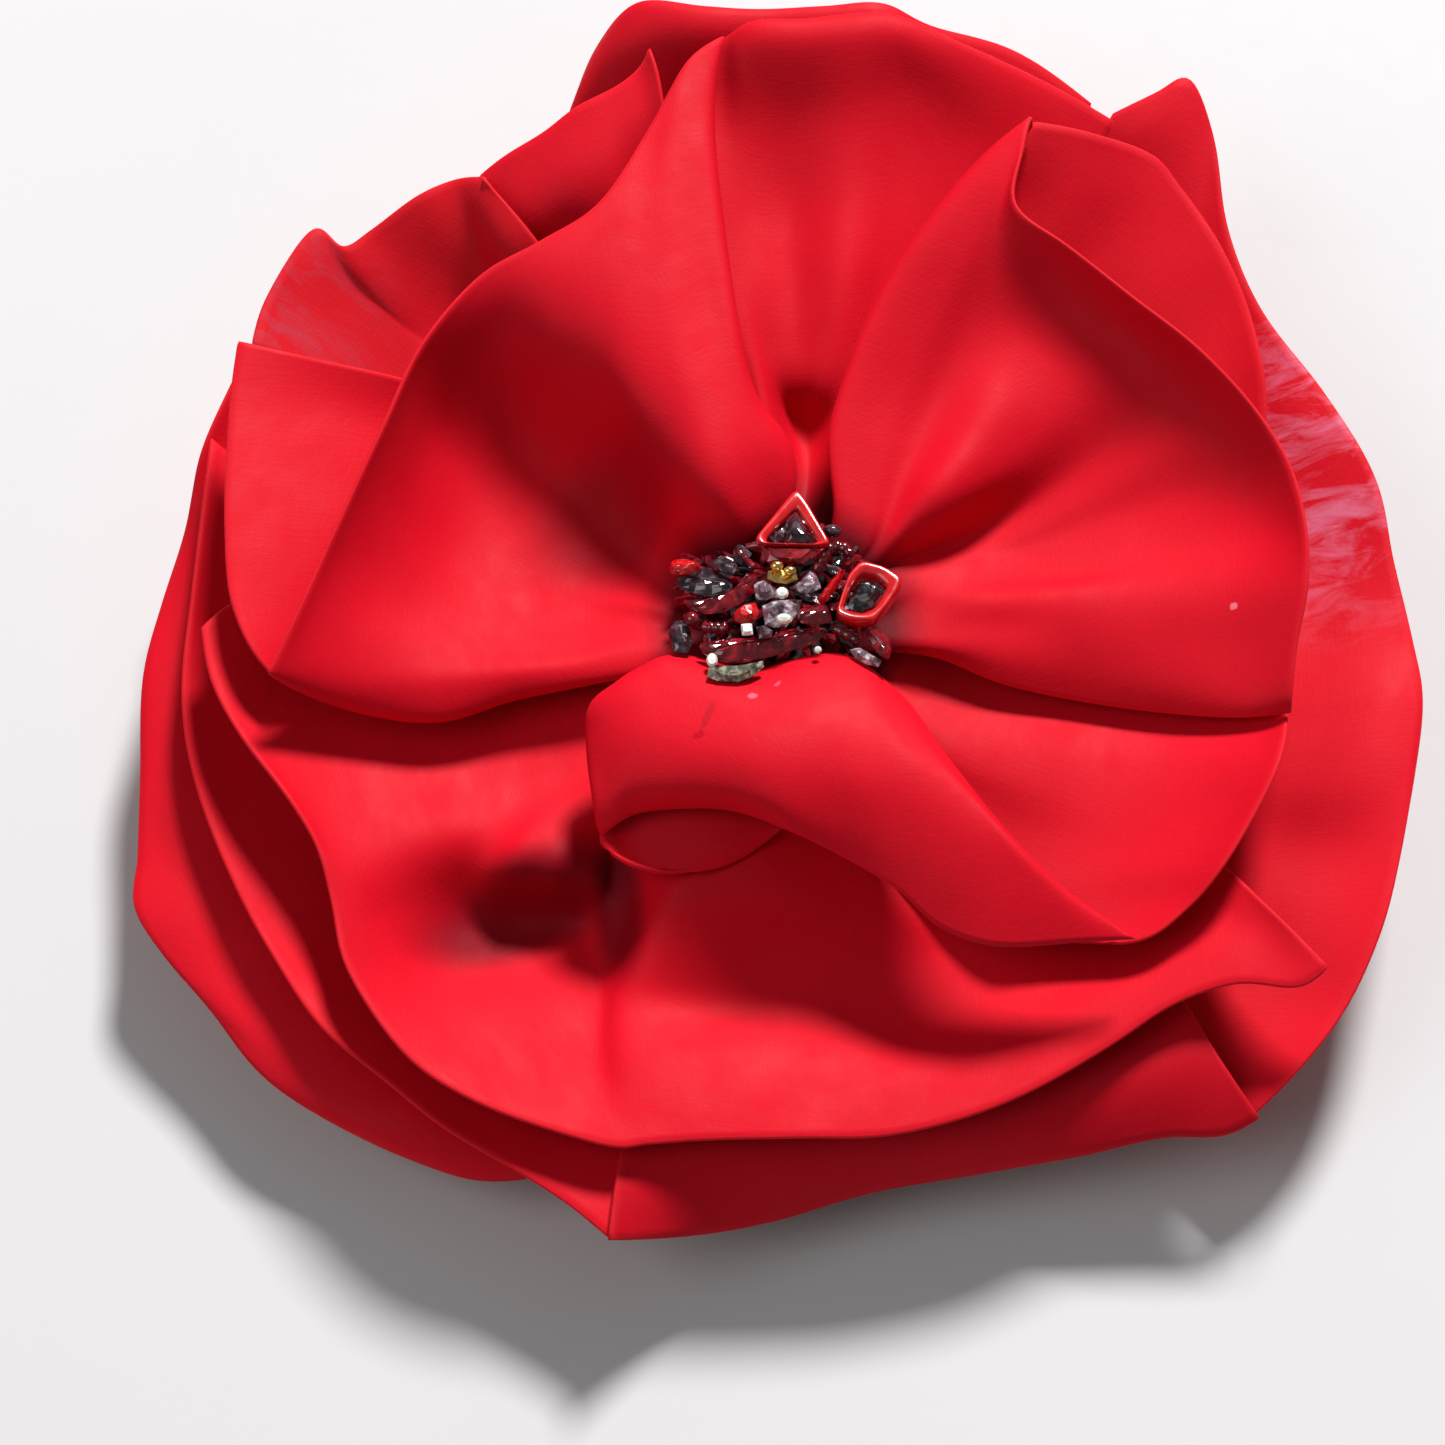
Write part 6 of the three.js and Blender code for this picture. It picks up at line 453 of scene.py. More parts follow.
def relax(S, times, k=0.5, hold=0.3):
    S = S.copy()
    w = np.full(S.shape[:2], k)
    w[[0, -1], :] *= hold
    w[:, [0, -1]] *= hold
    w[0, :] = 0
    for _ in range(times):
        T = S.copy()
        T[1:-1, 1:-1] = (S[:-2, 1:-1] + S[2:, 1:-1] + S[1:-1, :-2] + S[1:-1, 2:]) / 4
        for e in (0, -1):
            T[e, 1:-1] = (S[e, :-2] + S[e, 2:]) / 2
            T[1:-1, e] = (S[:-2, e] + S[2:, e]) / 2
        S += (T - S) * w[..., None]
    return S


def normals(S):
    n = np.cross(np.gradient(S, axis=0), np.gradient(S, axis=1))
    return n / (np.linalg.norm(n, axis=2, keepdims=True) + 1e-12)


def wave_noise(x, y, seed, octaves=3):
    """Smooth, seeded value noise from a few turned sine products."""
    rng = np.random.RandomState(seed)
    out, amp, tot = np.zeros_like(x), 1.0, 0.0
    for o in range(octaves):
        for _ in range(4):
            a, ph, ph2 = rng.rand() * math.pi, rng.rand() * 6.28, rng.rand() * 6.28
            f = (0.7 + 0.6 * rng.rand()) * 2**o
            u, v = x * math.cos(a) + y * math.sin(a), -x * math.sin(a) + y * math.cos(a)
            out += amp * np.sin(f * u + ph) * np.sin(0.73 * f * v + ph2)
            tot += amp * 0.5
        amp *= 0.5
    return out / tot


def cloth_object(name, S, thick, material, hem=0.15):
    """Closed sheet: two skins and a rounded, slightly proud rolled edge along the cut sides."""
    nu, nv = S.shape[:2]
    N = normals(S)
    du = np.concatenate([np.zeros((1, nv)), np.linalg.norm(np.diff(S, axis=0), axis=2)], 0).cumsum(0)
    dv = np.concatenate([np.zeros((nu, 1)), np.linalg.norm(np.diff(S, axis=1), axis=2)], 1).cumsum(1)
    rim = np.minimum(du[-1:] - du, np.minimum(dv, dv[:, -1:] - dv))
    vmid = dv - dv[:, -1:] / 2
    top, bot = S + N * thick / 2, S - N * thick / 2
    V = [top.reshape(-1, 3), bot.reshape(-1, 3)]
    A = [np.stack([du, vmid, rim], 2).reshape(-1, 3)] * 2
    k = nu * nv
    idx = np.arange(k).reshape(nu, nv)
    a, b, c, d = idx[:-1, :-1], idx[1:, :-1], idx[1:, 1:], idx[:-1, 1:]
    F = [np.stack([a, b, c, d], -1).reshape(-1, 4), np.stack([a, d, c, b], -1).reshape(-1, 4) + k]
    loop = np.concatenate([idx[:, 0], idx[-1, 1:], idx[-2::-1, -1], idx[0, -2:0:-1]])
    P, Nn, At = S.reshape(-1, 3)[loop], N.reshape(-1, 3)[loop], A[0][loop]
    tan = np.roll(P, -1, 0) - np.roll(P, 1, 0)
    out = np.cross(tan, Nn)
    out /= np.linalg.norm(out, axis=1, keepdims=True) + 1e-12
    ui, vi = np.divmod(loop, nv)
    inward = S[np.clip(ui, 1, nu - 2), np.clip(vi, 1, nv - 2)] - P
    flip = np.sign((out * inward).sum(1).mean())
    out *= -flip
    rings, base, m = [loop], 2 * k, len(loop)
    for ang in (60, 25, -25, -60):
        q = math.radians(ang)
        V.append(P + out * hem * math.cos(q) + Nn * hem * math.sin(q))
        At2 = At.copy(); At2[:, 2] = -0.2
        A.append(At2)
        rings.append(np.arange(m) + base)
        base += m
    rings.append(loop + k)
    for r, s in zip(rings[:-1], rings[1:]):
        r2, s2 = np.roll(r, -1), np.roll(s, -1)
        F.append(np.stack([r, s, s2, r2], -1))
    V, A, F = np.concatenate(V) / 1000, np.concatenate(A), np.concatenate(F)
    V[:, 0] += SX / 1000
    V[:, 1] += SY / 1000
    # outward faces
    p, q, r, s = (V[F[:, i]] for i in range(4))
    if ((p * np.cross(q, r)).sum() + (p * np.cross(r, s)).sum()) < 0:
        F = F[:, ::-1]
    me = bpy.data.meshes.new(name)
    me.from_pydata(V.tolist(), [], F.tolist())
    me.polygons.foreach_set("use_smooth", [True] * len(me.polygons))
    at = me.attributes.new("cloth", "FLOAT_VECTOR", "POINT")
    at.data.foreach_set("vector", (A / 1000).astype(np.float32).ravel())
    me.materials.append(material)
    me.update()
    o = link(bpy.data.objects.new(name, me))
    q0 = S[:-1, :-1]
    area = float(np.linalg.norm(np.cross(S[1:, :-1] - q0, S[:-1, 1:] - q0), axis=2).sum()) / 1e6
    long = float(np.median(du[-1])) / 1000
    wide = float(np.percentile(dv[:, -1], 92)) / 1000
    return o, area, wide, long


# ------------------------------------------------------------------ materials
def cloth_material(name, lit=(203, 8, 31), deep=(196, 5, 28), patch=None, rough=0.6, heart=3.3, wells=(), marks=()):
    m = Mat(name)
    m.set(Specular_IOR_Level=0.10, Sheen_Weight=0.05, Sheen_Roughness=0.35, Sheen_Tint=(1.0, 0.22, 0.22, 1))
    at = m.node("ShaderNodeAttribute", attribute_name="cloth")
    sep = m.node("ShaderNodeSeparateXYZ")
    m.link(at.outputs["Vector"], sep.inputs[0])
    u = m.math("MULTIPLY", sep.outputs[0], 1000.0)
    v = m.math("MULTIPLY", sep.outputs[1], 1000.0)
    rim = m.math("MULTIPLY", sep.outputs[2], 1000.0)

    def uv(su, sv, off=0.0):
        c = m.node("ShaderNodeCombineXYZ")
        m.link(m.math("MULTIPLY", u, su), c.inputs[0])
        m.link(m.math("MULTIPLY", v, sv), c.inputs[1])
        c.inputs[2].default_value = off
        return c.outputs[0]

    warp = m.noise(uv(0.55, 3.4), 1.0, 2.0, 0.55)          # threads along the cloth
    weft = m.noise(uv(3.4, 0.55, 7.0), 1.0, 2.0, 0.55)     # threads across it
    grain = m.noise(uv(2.6, 2.6, 3.0), 1.0, 2.0, 0.6)
    broad = m.noise(uv(0.07, 0.07, 1.0), 1.0, 3.0, 0.5)
    mid = m.noise(uv(0.28, 0.2, 5.0), 1.0, 3.0, 0.55)
    base = m.ramp(broad, [(0.25, srgb(*deep)), (0.50, srgb(*lit)), (0.80, srgb(min(lit[0] + 8, 255), lit[1] + 3, lit[2] + 1))])
    weave = m.math("ADD", m.math("MULTIPLY", warp, 0.5), m.math("MULTIPLY", weft, 0.5))
    base = m.mix(m.math("MULTIPLY", m.math("SUBTRACT", weave, 0.40, clamp=True), 0.30), base, srgb(165, 3, 22), "MIX")
    base = m.mix(m.math("MULTIPLY", m.math("SUBTRACT", grain, 0.52, clamp=True), 0.3), base, srgb(212, 40, 46))
    # heat-sealed rim: the cut is paler, partly from the melted edge itself and partly as a painted highlight of light
    # caught along the rolled edge
    edge = m.ramp(rim, [(0.0, (1, 1, 1)), (0.08, (0.5, 0.5, 0.5)), (0.26, (0, 0, 0))])
    base = m.mix(m.math("MULTIPLY", edge, 0.12), base, srgb(225, 50, 52))
    rgh = m.node("ShaderNodeMapRange", in_From_Min=0.3, in_From_Max=0.7, in_To_Min=rough - 0.07, in_To_Max=rough + 0.07)
    m.link(mid, rgh.inputs[0])
    rgh = rgh.outputs[0]
    # painted sheen: pale pink streaks in the colour stand in for light glancing off glossy cloth; the roughness is
    # lowered there as well
    if patch:
        centre, radius, tint, amount = patch
        pos = m.node("ShaderNodeVectorMath", operation="DISTANCE")
        m.link(m.obj_coord(), pos.inputs[0])
        pos.inputs[1].default_value = centre
        near = m.node("ShaderNodeMapRange", in_From_Min=radius, in_From_Max=radius * 0.35, in_To_Min=0.0, in_To_Max=1.0)
        m.link(pos.outputs["Value"], near.inputs[0])
        streak = m.ramp(m.noise(uv(0.16, 0.42, 11.0), 1.0, 5.0, 0.6, 0.8), [(0.44, (0, 0, 0)), (0.68, (1, 1, 1))])
        k = m.math("MULTIPLY", m.math("MULTIPLY", near.outputs[0], streak), amount)
        base = m.mix(k, base, srgb(*tint))
        rgh = m.math("SUBTRACT", rgh, m.math("MULTIPLY", k, 0.25))
    # painted shade over the gathered root: stands in for pleats deeper and closer than the sheet has
    root = m.ramp(m.math("MULTIPLY", u, 1.0 / heart), [(0.0, (0.0, 0.0, 0.0)), (0.45, (0.12, 0.12, 0.12)), (0.75, (0.62, 0.62, 0.62)), (1.0, (1, 1, 1))])
    base = m.mix(root, srgb(80, 0, 13), base)
    # painted shade in a hollow: stands in for a fold deeper than the sheet has; it is colour, not light, and shows from every side
    for (cx, cy, cz), (ra, rb), turn, amount in wells:
        mp = m.node("ShaderNodeMapping", vector_type="TEXTURE", in_Location=(cx, cy, cz), in_Rotation=(0.0, 0.0, turn), in_Scale=(ra, rb, 0.02))
        m.link(m.obj_coord(), mp.inputs["Vector"])
        ln = m.node("ShaderNodeVectorMath", operation="LENGTH")
        m.link(mp.outputs[0], ln.inputs[0])
        fall = m.node("ShaderNodeMapRange", interpolation_type="SMOOTHSTEP", in_From_Min=0.45, in_From_Max=1.15, in_To_Min=amount, in_To_Max=0.0)
        m.link(ln.outputs["Value"], fall.inputs[0])
        base = m.mix(fall.outputs[0], base, srgb(70, 0, 15))
    # small pale pink spots, a little glossier than the cloth, and a pulled thread
    for (cx, cy, cz), (ra, rb), turn, amount, tint in marks:
        mp = m.node("ShaderNodeMapping", vector_type="TEXTURE", in_Location=(cx, cy, cz), in_Rotation=(0.0, 0.0, turn), in_Scale=(ra, rb, 0.006))
        m.link(m.obj_coord(), mp.inputs["Vector"])
        ln = m.node("ShaderNodeVectorMath", operation="LENGTH")
        m.link(mp.outputs[0], ln.inputs[0])
        spot = m.math("ADD", ln.outputs["Value"], m.math("MULTIPLY", m.math("SUBTRACT", grain, 0.5), 0.9))
        fall = m.node("ShaderNodeMapRange", interpolation_type="SMOOTHSTEP", in_From_Min=0.55, in_From_Max=1.05, in_To_Min=amount, in_To_Max=0.0)
        m.link(spot, fall.inputs[0])
        base = m.mix(fall.outputs[0], base, srgb(*tint))
        rgh = m.math("SUBTRACT", rgh, m.math("MULTIPLY", fall.outputs[0], 0.3))
    m.link(base, m.bsdf.inputs["Base Color"])
    m.link(rgh, m.bsdf.inputs["Roughness"])
    b1 = m.bump(mid, 0.00006, 0.5)
    b2 = m.bump(weave, 0.00005, 0.55, b1)
    b3 = m.bump(grain, 0.00003, 0.4, b2)
    m.link(b3, m.bsdf.inputs["Normal"])
    return m.mat


def felt_material():
    m = Mat("felt")
    m.set(Specular_IOR_Level=0.12, Sheen_Weight=0.25, Sheen_Roughness=0.6, Sheen_Tint=(1.0, 0.4, 0.4, 1), Roughness=0.95)
    oc = m.obj_coord()
    fib = m.noise(oc, 1600.0, 4.0, 0.7, 1.2)
    cloud = m.noise(oc, 220.0, 3.0, 0.6)
    base = m.ramp(fib, [(0.30, srgb(92, 4, 14)), (0.55, srgb(150, 12, 26)), (0.75, srgb(186, 36, 46))])
    base = m.mix(m.math("MULTIPLY", cloud, 0.4), base, srgb(120, 6, 18))
    m.link(base, m.bsdf.inputs["Base Color"])
    m.link(m.bump(fib, 0.00025, 0.8), m.bsdf.inputs["Normal"])
    return m.mat


def thread_material():
    m = Mat("thread")
    m.set(Specular_IOR_Level=0.3, Sheen_Weight=0.2, Sheen_Tint=(1, 0.4, 0.4, 1), Roughness=0.6)
    ply = m.node("ShaderNodeTexWave", wave_type="BANDS", bands_direction="DIAGONAL", in_Scale=900.0, in_Distortion=1.0)
    m.link(m.obj_coord(), ply.inputs["Vector"])
    m.link(m.ramp(ply.outputs["Fac"], [(0.2, srgb(120, 4, 16)), (0.8, srgb(205, 24, 36))]), m.bsdf.inputs["Base Color"])
    m.link(m.bump(ply.outputs["Fac"], 0.00008, 0.7), m.bsdf.inputs["Normal"])
    return m.mat


def metal_material(name, color, dark, rough, scratch=0.4):
    m = Mat(name)
    m.set(Metallic=1.0)
    oc = m.obj_coord()
    mp = m.node("ShaderNodeMapping", in_Scale=(60.0, 900.0, 900.0))
    m.link(oc, mp.inputs["Vector"])
    brush = m.noise(mp.outputs[0], 1.0, 3.0, 0.6)
    smudge = m.noise(oc, 180.0, 4.0, 0.6)
    base = m.ramp(smudge, [(0.25, srgb(*dark)), (0.6, srgb(*color))])
    m.link(base, m.bsdf.inputs["Base Color"])
    r = m.node("ShaderNodeMapRange", in_From_Min=0.3, in_From_Max=0.7, in_To_Min=rough - 0.06, in_To_Max=rough + 0.10)
    m.link(m.math("ADD", m.math("MULTIPLY", smudge, 0.5), m.math("MULTIPLY", brush, 0.5)), r.inputs[0])
    m.link(r.outputs[0], m.bsdf.inputs["Roughness"])
    m.link(m.bump(brush, 0.00002, scratch), m.bsdf.inputs["Normal"])
    return m.mat


def enamel_material():
    m = Mat("red_enamel")
    m.set(Specular_IOR_Level=0.5, Coat_Weight=0.6, Coat_Roughness=0.08)
    oc = m.obj_coord()
    flow = m.noise(oc, 420.0, 3.0, 0.55, 0.8)
    m.link(m.ramp(flow, [(0.22, srgb(150, 3, 14)), (0.5, srgb(196, 12, 20)), (0.8, srgb(216, 26, 26))]), m.bsdf.inputs["Base Color"])
    r = m.node("ShaderNodeMapRange", in_To_Min=0.16, in_To_Max=0.36)
    m.link(m.noise(oc, 900.0, 2.0), r.inputs[0])
    m.link(r.outputs[0], m.bsdf.inputs["Roughness"])
    m.link(m.bump(flow, 0.00005, 0.35), m.bsdf.inputs["Normal"])
    return m.mat


def glass_material(name, lo, mid, hi, transmission, rough=0.06, scale=700.0, ior=1.52, metallic=0.0):
    m = Mat(name)
    m.set(IOR=ior, Transmission_Weight=transmission, Coat_Weight=0.5, Coat_Roughness=0.03, Metallic=metallic)
    oc = m.obj_coord()
    n = m.noise(oc, scale, 3.0, 0.6, 1.0)
    m.link(m.ramp(n, [(0.28, srgb(*lo)), (0.5, srgb(*mid)), (0.72, srgb(*hi))]), m.bsdf.inputs["Base Color"])
    r = m.node("ShaderNodeMapRange", in_To_Min=rough, in_To_Max=rough + 0.14)
    m.link(m.noise(oc, scale * 1.7, 2.0), r.inputs[0])
    m.link(r.outputs[0], m.bsdf.inputs["Roughness"])
    m.link(m.bump(n, 0.00006, 0.30), m.bsdf.inputs["Normal"])
    return m.mat


def floor_material():
    m = Mat("floor")
    m.set(Specular_IOR_Level=0.25)
    oc = m.obj_coord()
    n = m.noise(oc, 9.0, 3.0, 0.5)
    m.link(m.ramp(n, [(0.3, srgb(198, 197, 198)), (0.7, srgb(201, 200, 201))]), m.bsdf.inputs["Base Color"])
    r = m.node("ShaderNodeMapRange", in_To_Min=0.62, in_To_Max=0.72)
    m.link(m.noise(oc, 300.0, 2.0), r.inputs[0])
    m.link(r.outputs[0], m.bsdf.inputs["Roughness"])
    return m.mat


MATS = {
    "petal_cloth": cloth_material("petal_cloth"),
    "petal_heart": cloth_material("petal_heart", heart=6.4),
    "petal_left": cloth_material("petal_left", heart=6.4, wells=[((-0.0150, 0.0085, 0.017), (0.0085, 0.0065), 0.5, 0.40)]),
    "petal_cup": cloth_material("petal_cup", wells=[((-0.0224, -0.0268, 0.0095), (0.0116, 0.0044), 0.40, 0.70), ((-0.0138, -0.0272, 0.011), (0.0026, 0.0078), 0.10, 0.66)]),
    # painted shade: the whole front outer petal is coloured a deeper red, standing in for the shadow the cup's lip
    # casts over it
    "petal_front_painted_shade": cloth_material("petal_front_painted_shade", lit=(186, 6, 28), deep=(178, 4, 25)),
    "petal_tongue": cloth_material("petal_tongue", heart=2.2, marks=[
        ((-0.0023, -0.0138, 0.0245), (0.00055, 0.00040), 0.2, 0.65, (205, 110, 130)), ((-0.0002, -0.0125, 0.0245), (0.00045, 0.00022), 0.8, 0.55, (200, 95, 120)),
        ((-0.0061, -0.0157, 0.0248), (0.00042, 0.00190), -0.35, 0.45, (140, 0, 18)), ((-0.0069, -0.0176, 0.0250), (0.00065, 0.00042), 0.3, 0.5, (150, 0, 20))]),
    "petal_right": cloth_material("petal_right", heart=6.4, marks=[((0.0395, -0.0035, 0.0240), (0.00042, 0.00036), 0.0, 0.7, (225, 130, 140))]),
    "petal_slot": cloth_material("petal_slot", heart=10.5),
    # the pink patches on these two petals are painted sheen
    "petal_gloss": cloth_material("petal_gloss", patch=((0.0475, 0.0160, 0.0165), 0.0195, (214, 104, 132), 1.0)),
    "petal_painted_sheen": cloth_material("petal_painted_sheen", lit=(198, 13, 30), patch=((-0.0455, 0.0300, 0.0200), 0.012, (165, 58, 76), 0.7)),
    "felt": felt_material(),
    "thread": thread_material(),
    "nickel": metal_material("nickel", (214, 213, 210), (178, 177, 176), 0.22),
    "spring_steel": metal_material("spring_steel", (168, 169, 172), (120, 121, 124), 0.32),
    "dark_metal": metal_material("dark_metal", (30, 26, 28), (12, 9, 10), 0.48),
    "gold": metal_material("gold", (240, 208, 120), (196, 150, 60), 0.20),
    "red_enamel": enamel_material(),
    "garnet_glass": glass_material("garnet_glass", (44, 0, 8), (104, 6, 22), (168, 26, 40), 0.12),
    "smoky_glass": glass_material("smoky_glass", (14, 8, 12), (50, 34, 42), (112, 90, 100), 0.15),
    "black_glass": glass_material("black_glass", (4, 4, 5), (16, 14, 17), (96, 92, 92), 0.10, 0.02, 1000.0),
    "crystal_glass": glass_material("crystal_glass", (58, 20, 32), (128, 100, 112), (236, 230, 234), 0.20, 0.03, 1300.0),
    # near-white body: partly the stones' own pale colour, partly a painted glint standing in for their sparkle
    "clear_glass": glass_material("clear_glass", (206, 210, 200), (240, 242, 236), (255, 255, 250), 0.10, 0.03),
    "green_glass": glass_material("green_glass", (26, 28, 22), (104, 104, 88), (206, 204, 176), 0.10, 0.05, 1200.0, metallic=0.2),
}


# ------------------------------------------------------------------ petals
# extra: (pleats at the root, pleat depth mm, ripple mm, seed, material)
PETAL_LOOK = {
    "petal_inner_left": (5, 0.10, 0.10, 11, "petal_left"),
    "petal_inner_back": (3, 0.08, 0.10, 12, "petal_slot"),
    "petal_inner_right": (5, 0.10, 0.10, 13, "petal_right"),
    "petal_front_tongue": (3, 0.10, 0.16, 14, "petal_tongue"),
    "petal_right_fold": (5, 0.22, 0.14, 15, "petal_cloth"),
    "petal_front_cup": (8, 0.12, 0.16, 16, "petal_cup"),
    "petal_back_right_fold": (5, 0.22, 0.16, 17, "petal_cloth"),
    "petal_left_leaf": (5, 0.22, 0.16, 18, "petal_cloth"),
    "petal_upper_left": (4, 0.22, 0.20, 19, "petal_painted_sheen"),
    "petal_back_left_fold": (4, 0.22, 0.18, 20, "petal_cloth"),
    "petal_rear_outer": (6, 0.25, 0.22, 21, "petal_cloth"),
    "petal_right_outer": (8, 0.25, 0.26, 22, "petal_gloss"),
    "petal_lower_left": (6, 0.22, 0.22, 23, "petal_cloth"),
    "petal_front_outer": (5, 0.22, 0.22, 24, "petal_front_painted_shade"),
    "petal_left_outer": (7, 0.22, 0.26, 25, "petal_cloth"),
}
CLOTH_MM = 0.40


def make_petal(name, ribs):
    pleats, depth, ripple, seed, mat = PETAL_LOOK[name]
    nu, nv = 64, int(min(150, 30 + 7 * len(ribs)))
    S = relax(sheet_grid(ribs, nu, nv), 6)
    N = normals(S)
    u = np.linspace(0, 1, nu)[:, None]
    v = np.linspace(0, 1, nv)[None, :]
    ease = np.exp(-((u / 0.16) ** 2)) * np.clip(u / 0.06, 0, 1)
    wob = 0.25 * wave_noise(u * 5 + v * 0, v * 9 + u * 0, seed)
    side = np.clip(np.minimum(v, 1 - v) / 0.08, 0, 1)
    pleat = depth * ease * np.sin(2 * math.pi * pleats * (v + 0.04 * wob) + seed) * side
    X, Y = S[..., 0] / 7.5, S[..., 1] / 7.5
    big = ripple * wave_noise(X, Y, seed, 3) * np.clip(u / 0.25, 0, 1)
    S = S + N * (pleat + big)[..., None]
    if name == "petal_front_tongue":
        # the lip of the roll turns under, so its cut edge faces down
        along = np.clip(1 - np.abs((S[-1:, :, 0] + 8.2) / 8.6) ** 4, 0, 1)
        turn = np.clip((u - 0.88) / 0.12, 0, 1) ** 2 * along
        S = S + turn[..., None] * np.array([0.0, 0.55, -0.75])
    o, area, wide, long = cloth_object(name + "_cloth", S, CLOTH_MM, MATS[mat], 0.04 if name == "petal_front_tongue" else 0.15)
    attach(o, "flower")
    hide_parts(name)
    w = max(wide, area / long * 1.02)
    l = long if area <= w * long else area / w * 1.02
    if area < 0.32 * w * l:
        w = area / l / 0.34
    return o


# the front petal's cut edge laps about a millimetre over its neighbour, where the CAD solids stop short of each other
PETALS["petal_front_outer"][0] = [[-3, -8, 12.8], [-10.9, -32.2, 9.8], [-12.5, -41.2, 11.0], [-13.85, -46.9, 11.95], [-14.95, -54.72, 11.85]]

for _name, _ribs in PETALS.items():
    make_petal(_name, _ribs)


# ------------------------------------------------------------------ mesh helpers
def mesh_object(name, verts, faces, material, smooth=False, node=None, body="flower", mm=True):
    V = np.array(verts, float)
    if mm:
        V = V.copy()
        V[:, 0] += SX
        V[:, 1] += SY
        V /= 1000
    F = [list(f) for f in faces]
    vol = 0.0
    for f in F:
        for i in range(1, len(f) - 1):
            vol += float(np.dot(V[f[0]], np.cross(V[f[i]], V[f[i + 1]])))
    if vol < 0:
        F = [f[::-1] for f in F]
    me = bpy.data.meshes.new(name)
    me.from_pydata(V.tolist(), [], F)
    me.polygons.foreach_set("use_smooth", [smooth] * len(me.polygons))
    me.materials.append(MATS[material] if isinstance(material, str) else material)
    me.update()
    o = link(bpy.data.objects.new(name, me))
    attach(o, body)
    if node:
        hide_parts(node)
    return o


def ring_faces(count, n, closed=False):
    F = []
    for l in range(count - (0 if closed else 1)):
        m = (l + 1) % count
        for i in range(n):
            j = (i + 1) % n
            F.append((l * n + i, l * n + j, m * n + j, m * n + i))
    return F


def chaikin(P, times=1, keep=0.25):
    P = np.array(P, float)
    for _ in range(times):
        Q = np.roll(P, -1, 0)
        P = np.stack([P * (1 - keep) + Q * keep, P * keep + Q * (1 - keep)], 1).reshape(-1, 2)
    return P


def gem(t, seed=0, chips=0.05):
    """Cut stone: culet, pavilion, girdle, star facets and table, each a flat facet."""
    rng = np.random.RandomState(seed)
    O = np.array(t["outline"], float)
    if len(O) < 8:
        O = np.stack([O, (O + np.roll(O, -1, 0)) / 2 * 1.0], 1).reshape(-1, 2)
        c0 = O.mean(0)
        O[1::2] = c0 + (O[1::2] - c0) * 1.03
    n, c, z = len(O), O.mean(0), t["z"]
    M = (O + np.roll(O, -1, 0)) / 2
    lay = lambda P, s, h: np.c_[c + (P - c) * s, np.full(len(P), z + h)]
    jit = lambda A, k: A + rng.uniform(-k, k, A.shape) * [0.4, 0.4, 1.0]
    up, dn, iu, idn = t["up"], t["down"], t["inUp"], t["inDown"]
    V = [lay(O, idn, -dn), lay(O, 1, -0.05), lay(O, 1, 0.05), jit(lay(M, 0.5 + 0.42 * iu, up * 0.62), chips), jit(lay(O, iu, up), chips * 0.5)]
    Vv = np.vstack(V + [[[c[0], c[1], z - dn]], [[c[0], c[1], z + up * 1.04]]])
    F = ring_faces(3, n)
    for i in range(n):
        j = (i + 1) % n
        g, m, t1 = 2 * n, 3 * n, 4 * n
        F += [(g + i, g + j, m + i), (g + j, m + j, m + i), (m + i, t1 + j, t1 + i), (m + i, m + j, t1 + j)]
        F.append((5 * n, j, i))
        F.append((5 * n + 1, t1 + i, t1 + j))
    return Vv, F


def leaf(t, seed=0, rows=5, vein=0.10):
    """Moulded glass leaf: outline rising to a spine, with shallow veins between."""
    rng = np.random.RandomState(seed)
    O = chaikin(t["outline"], 1, 0.22)
    n, c, z = len(O), np.array(t["outline"]).mean(0), t["z"]
    w, vv = np.linalg.eigh(np.cov((O - c).T))
    ax = vv[:, 1]
    along = (O - c) @ ax
    spine = c + np.outer(along * 0.78, ax)
    rings = [np.c_[c + (spine - c) * 1.0 * 0.9 + (O - spine) * t["inDown"], np.full(n, z - t["down"])], np.c_[O, np.full(n, z - 0.06)], np.c_[O, np.full(n, z + 0.06)]]
    ph = rng.rand() * 6
    for k in range(1, rows + 1):
        s = k / (rows + 0.35)
        P = O * (1 - s) + spine * s
        h = z + 0.06 + t["up"] * math.sin(min(1, s * 1.05) * math.pi / 2)
        zz = h + vein * np.where(np.arange(n) % 2 == 0, 1, -1) * math.sin(s * math.pi) + 0.03 * np.sin(np.arange(n) * 1.7 + ph)
        rings.append(np.c_[P, zz])
    m = len(rings)
    V = np.vstack(rings + [rings[0].mean(0)[None], rings[-1].mean(0)[None]])
    F = ring_faces(m, n)
    for i in range(n):
        j = (i + 1) % n
        F += [(m * n, j, i), (m * n + 1, (m - 1) * n + i, (m - 1) * n + j)]
    return V, F


def frame_band(t):
    """Bezel with a rounded section that is thickest on its outer side."""
    A, B = chaikin(t["outer"], 2, 0.16), chaikin(t["inner"], 2, 0.16)
    z0, z1 = t["z"] - t["h"] / 2, t["z"] + t["h"] / 2
    prof = [(0.0, z0), (0.0, z0 * 0.35 + z1 * 0.65), (0.06, z1 - 0.10), (0.20, z1), (0.45, z1 - 0.02), (0.78, z1 - 0.14), (1.0, z1 - 0.30), (1.0, z0)]
    V = np.vstack([np.c_[A * (1 - w) + B * w, np.full(len(A), z)] for w, z in prof])
    return V, ring_faces(len(prof), len(A), closed=True)


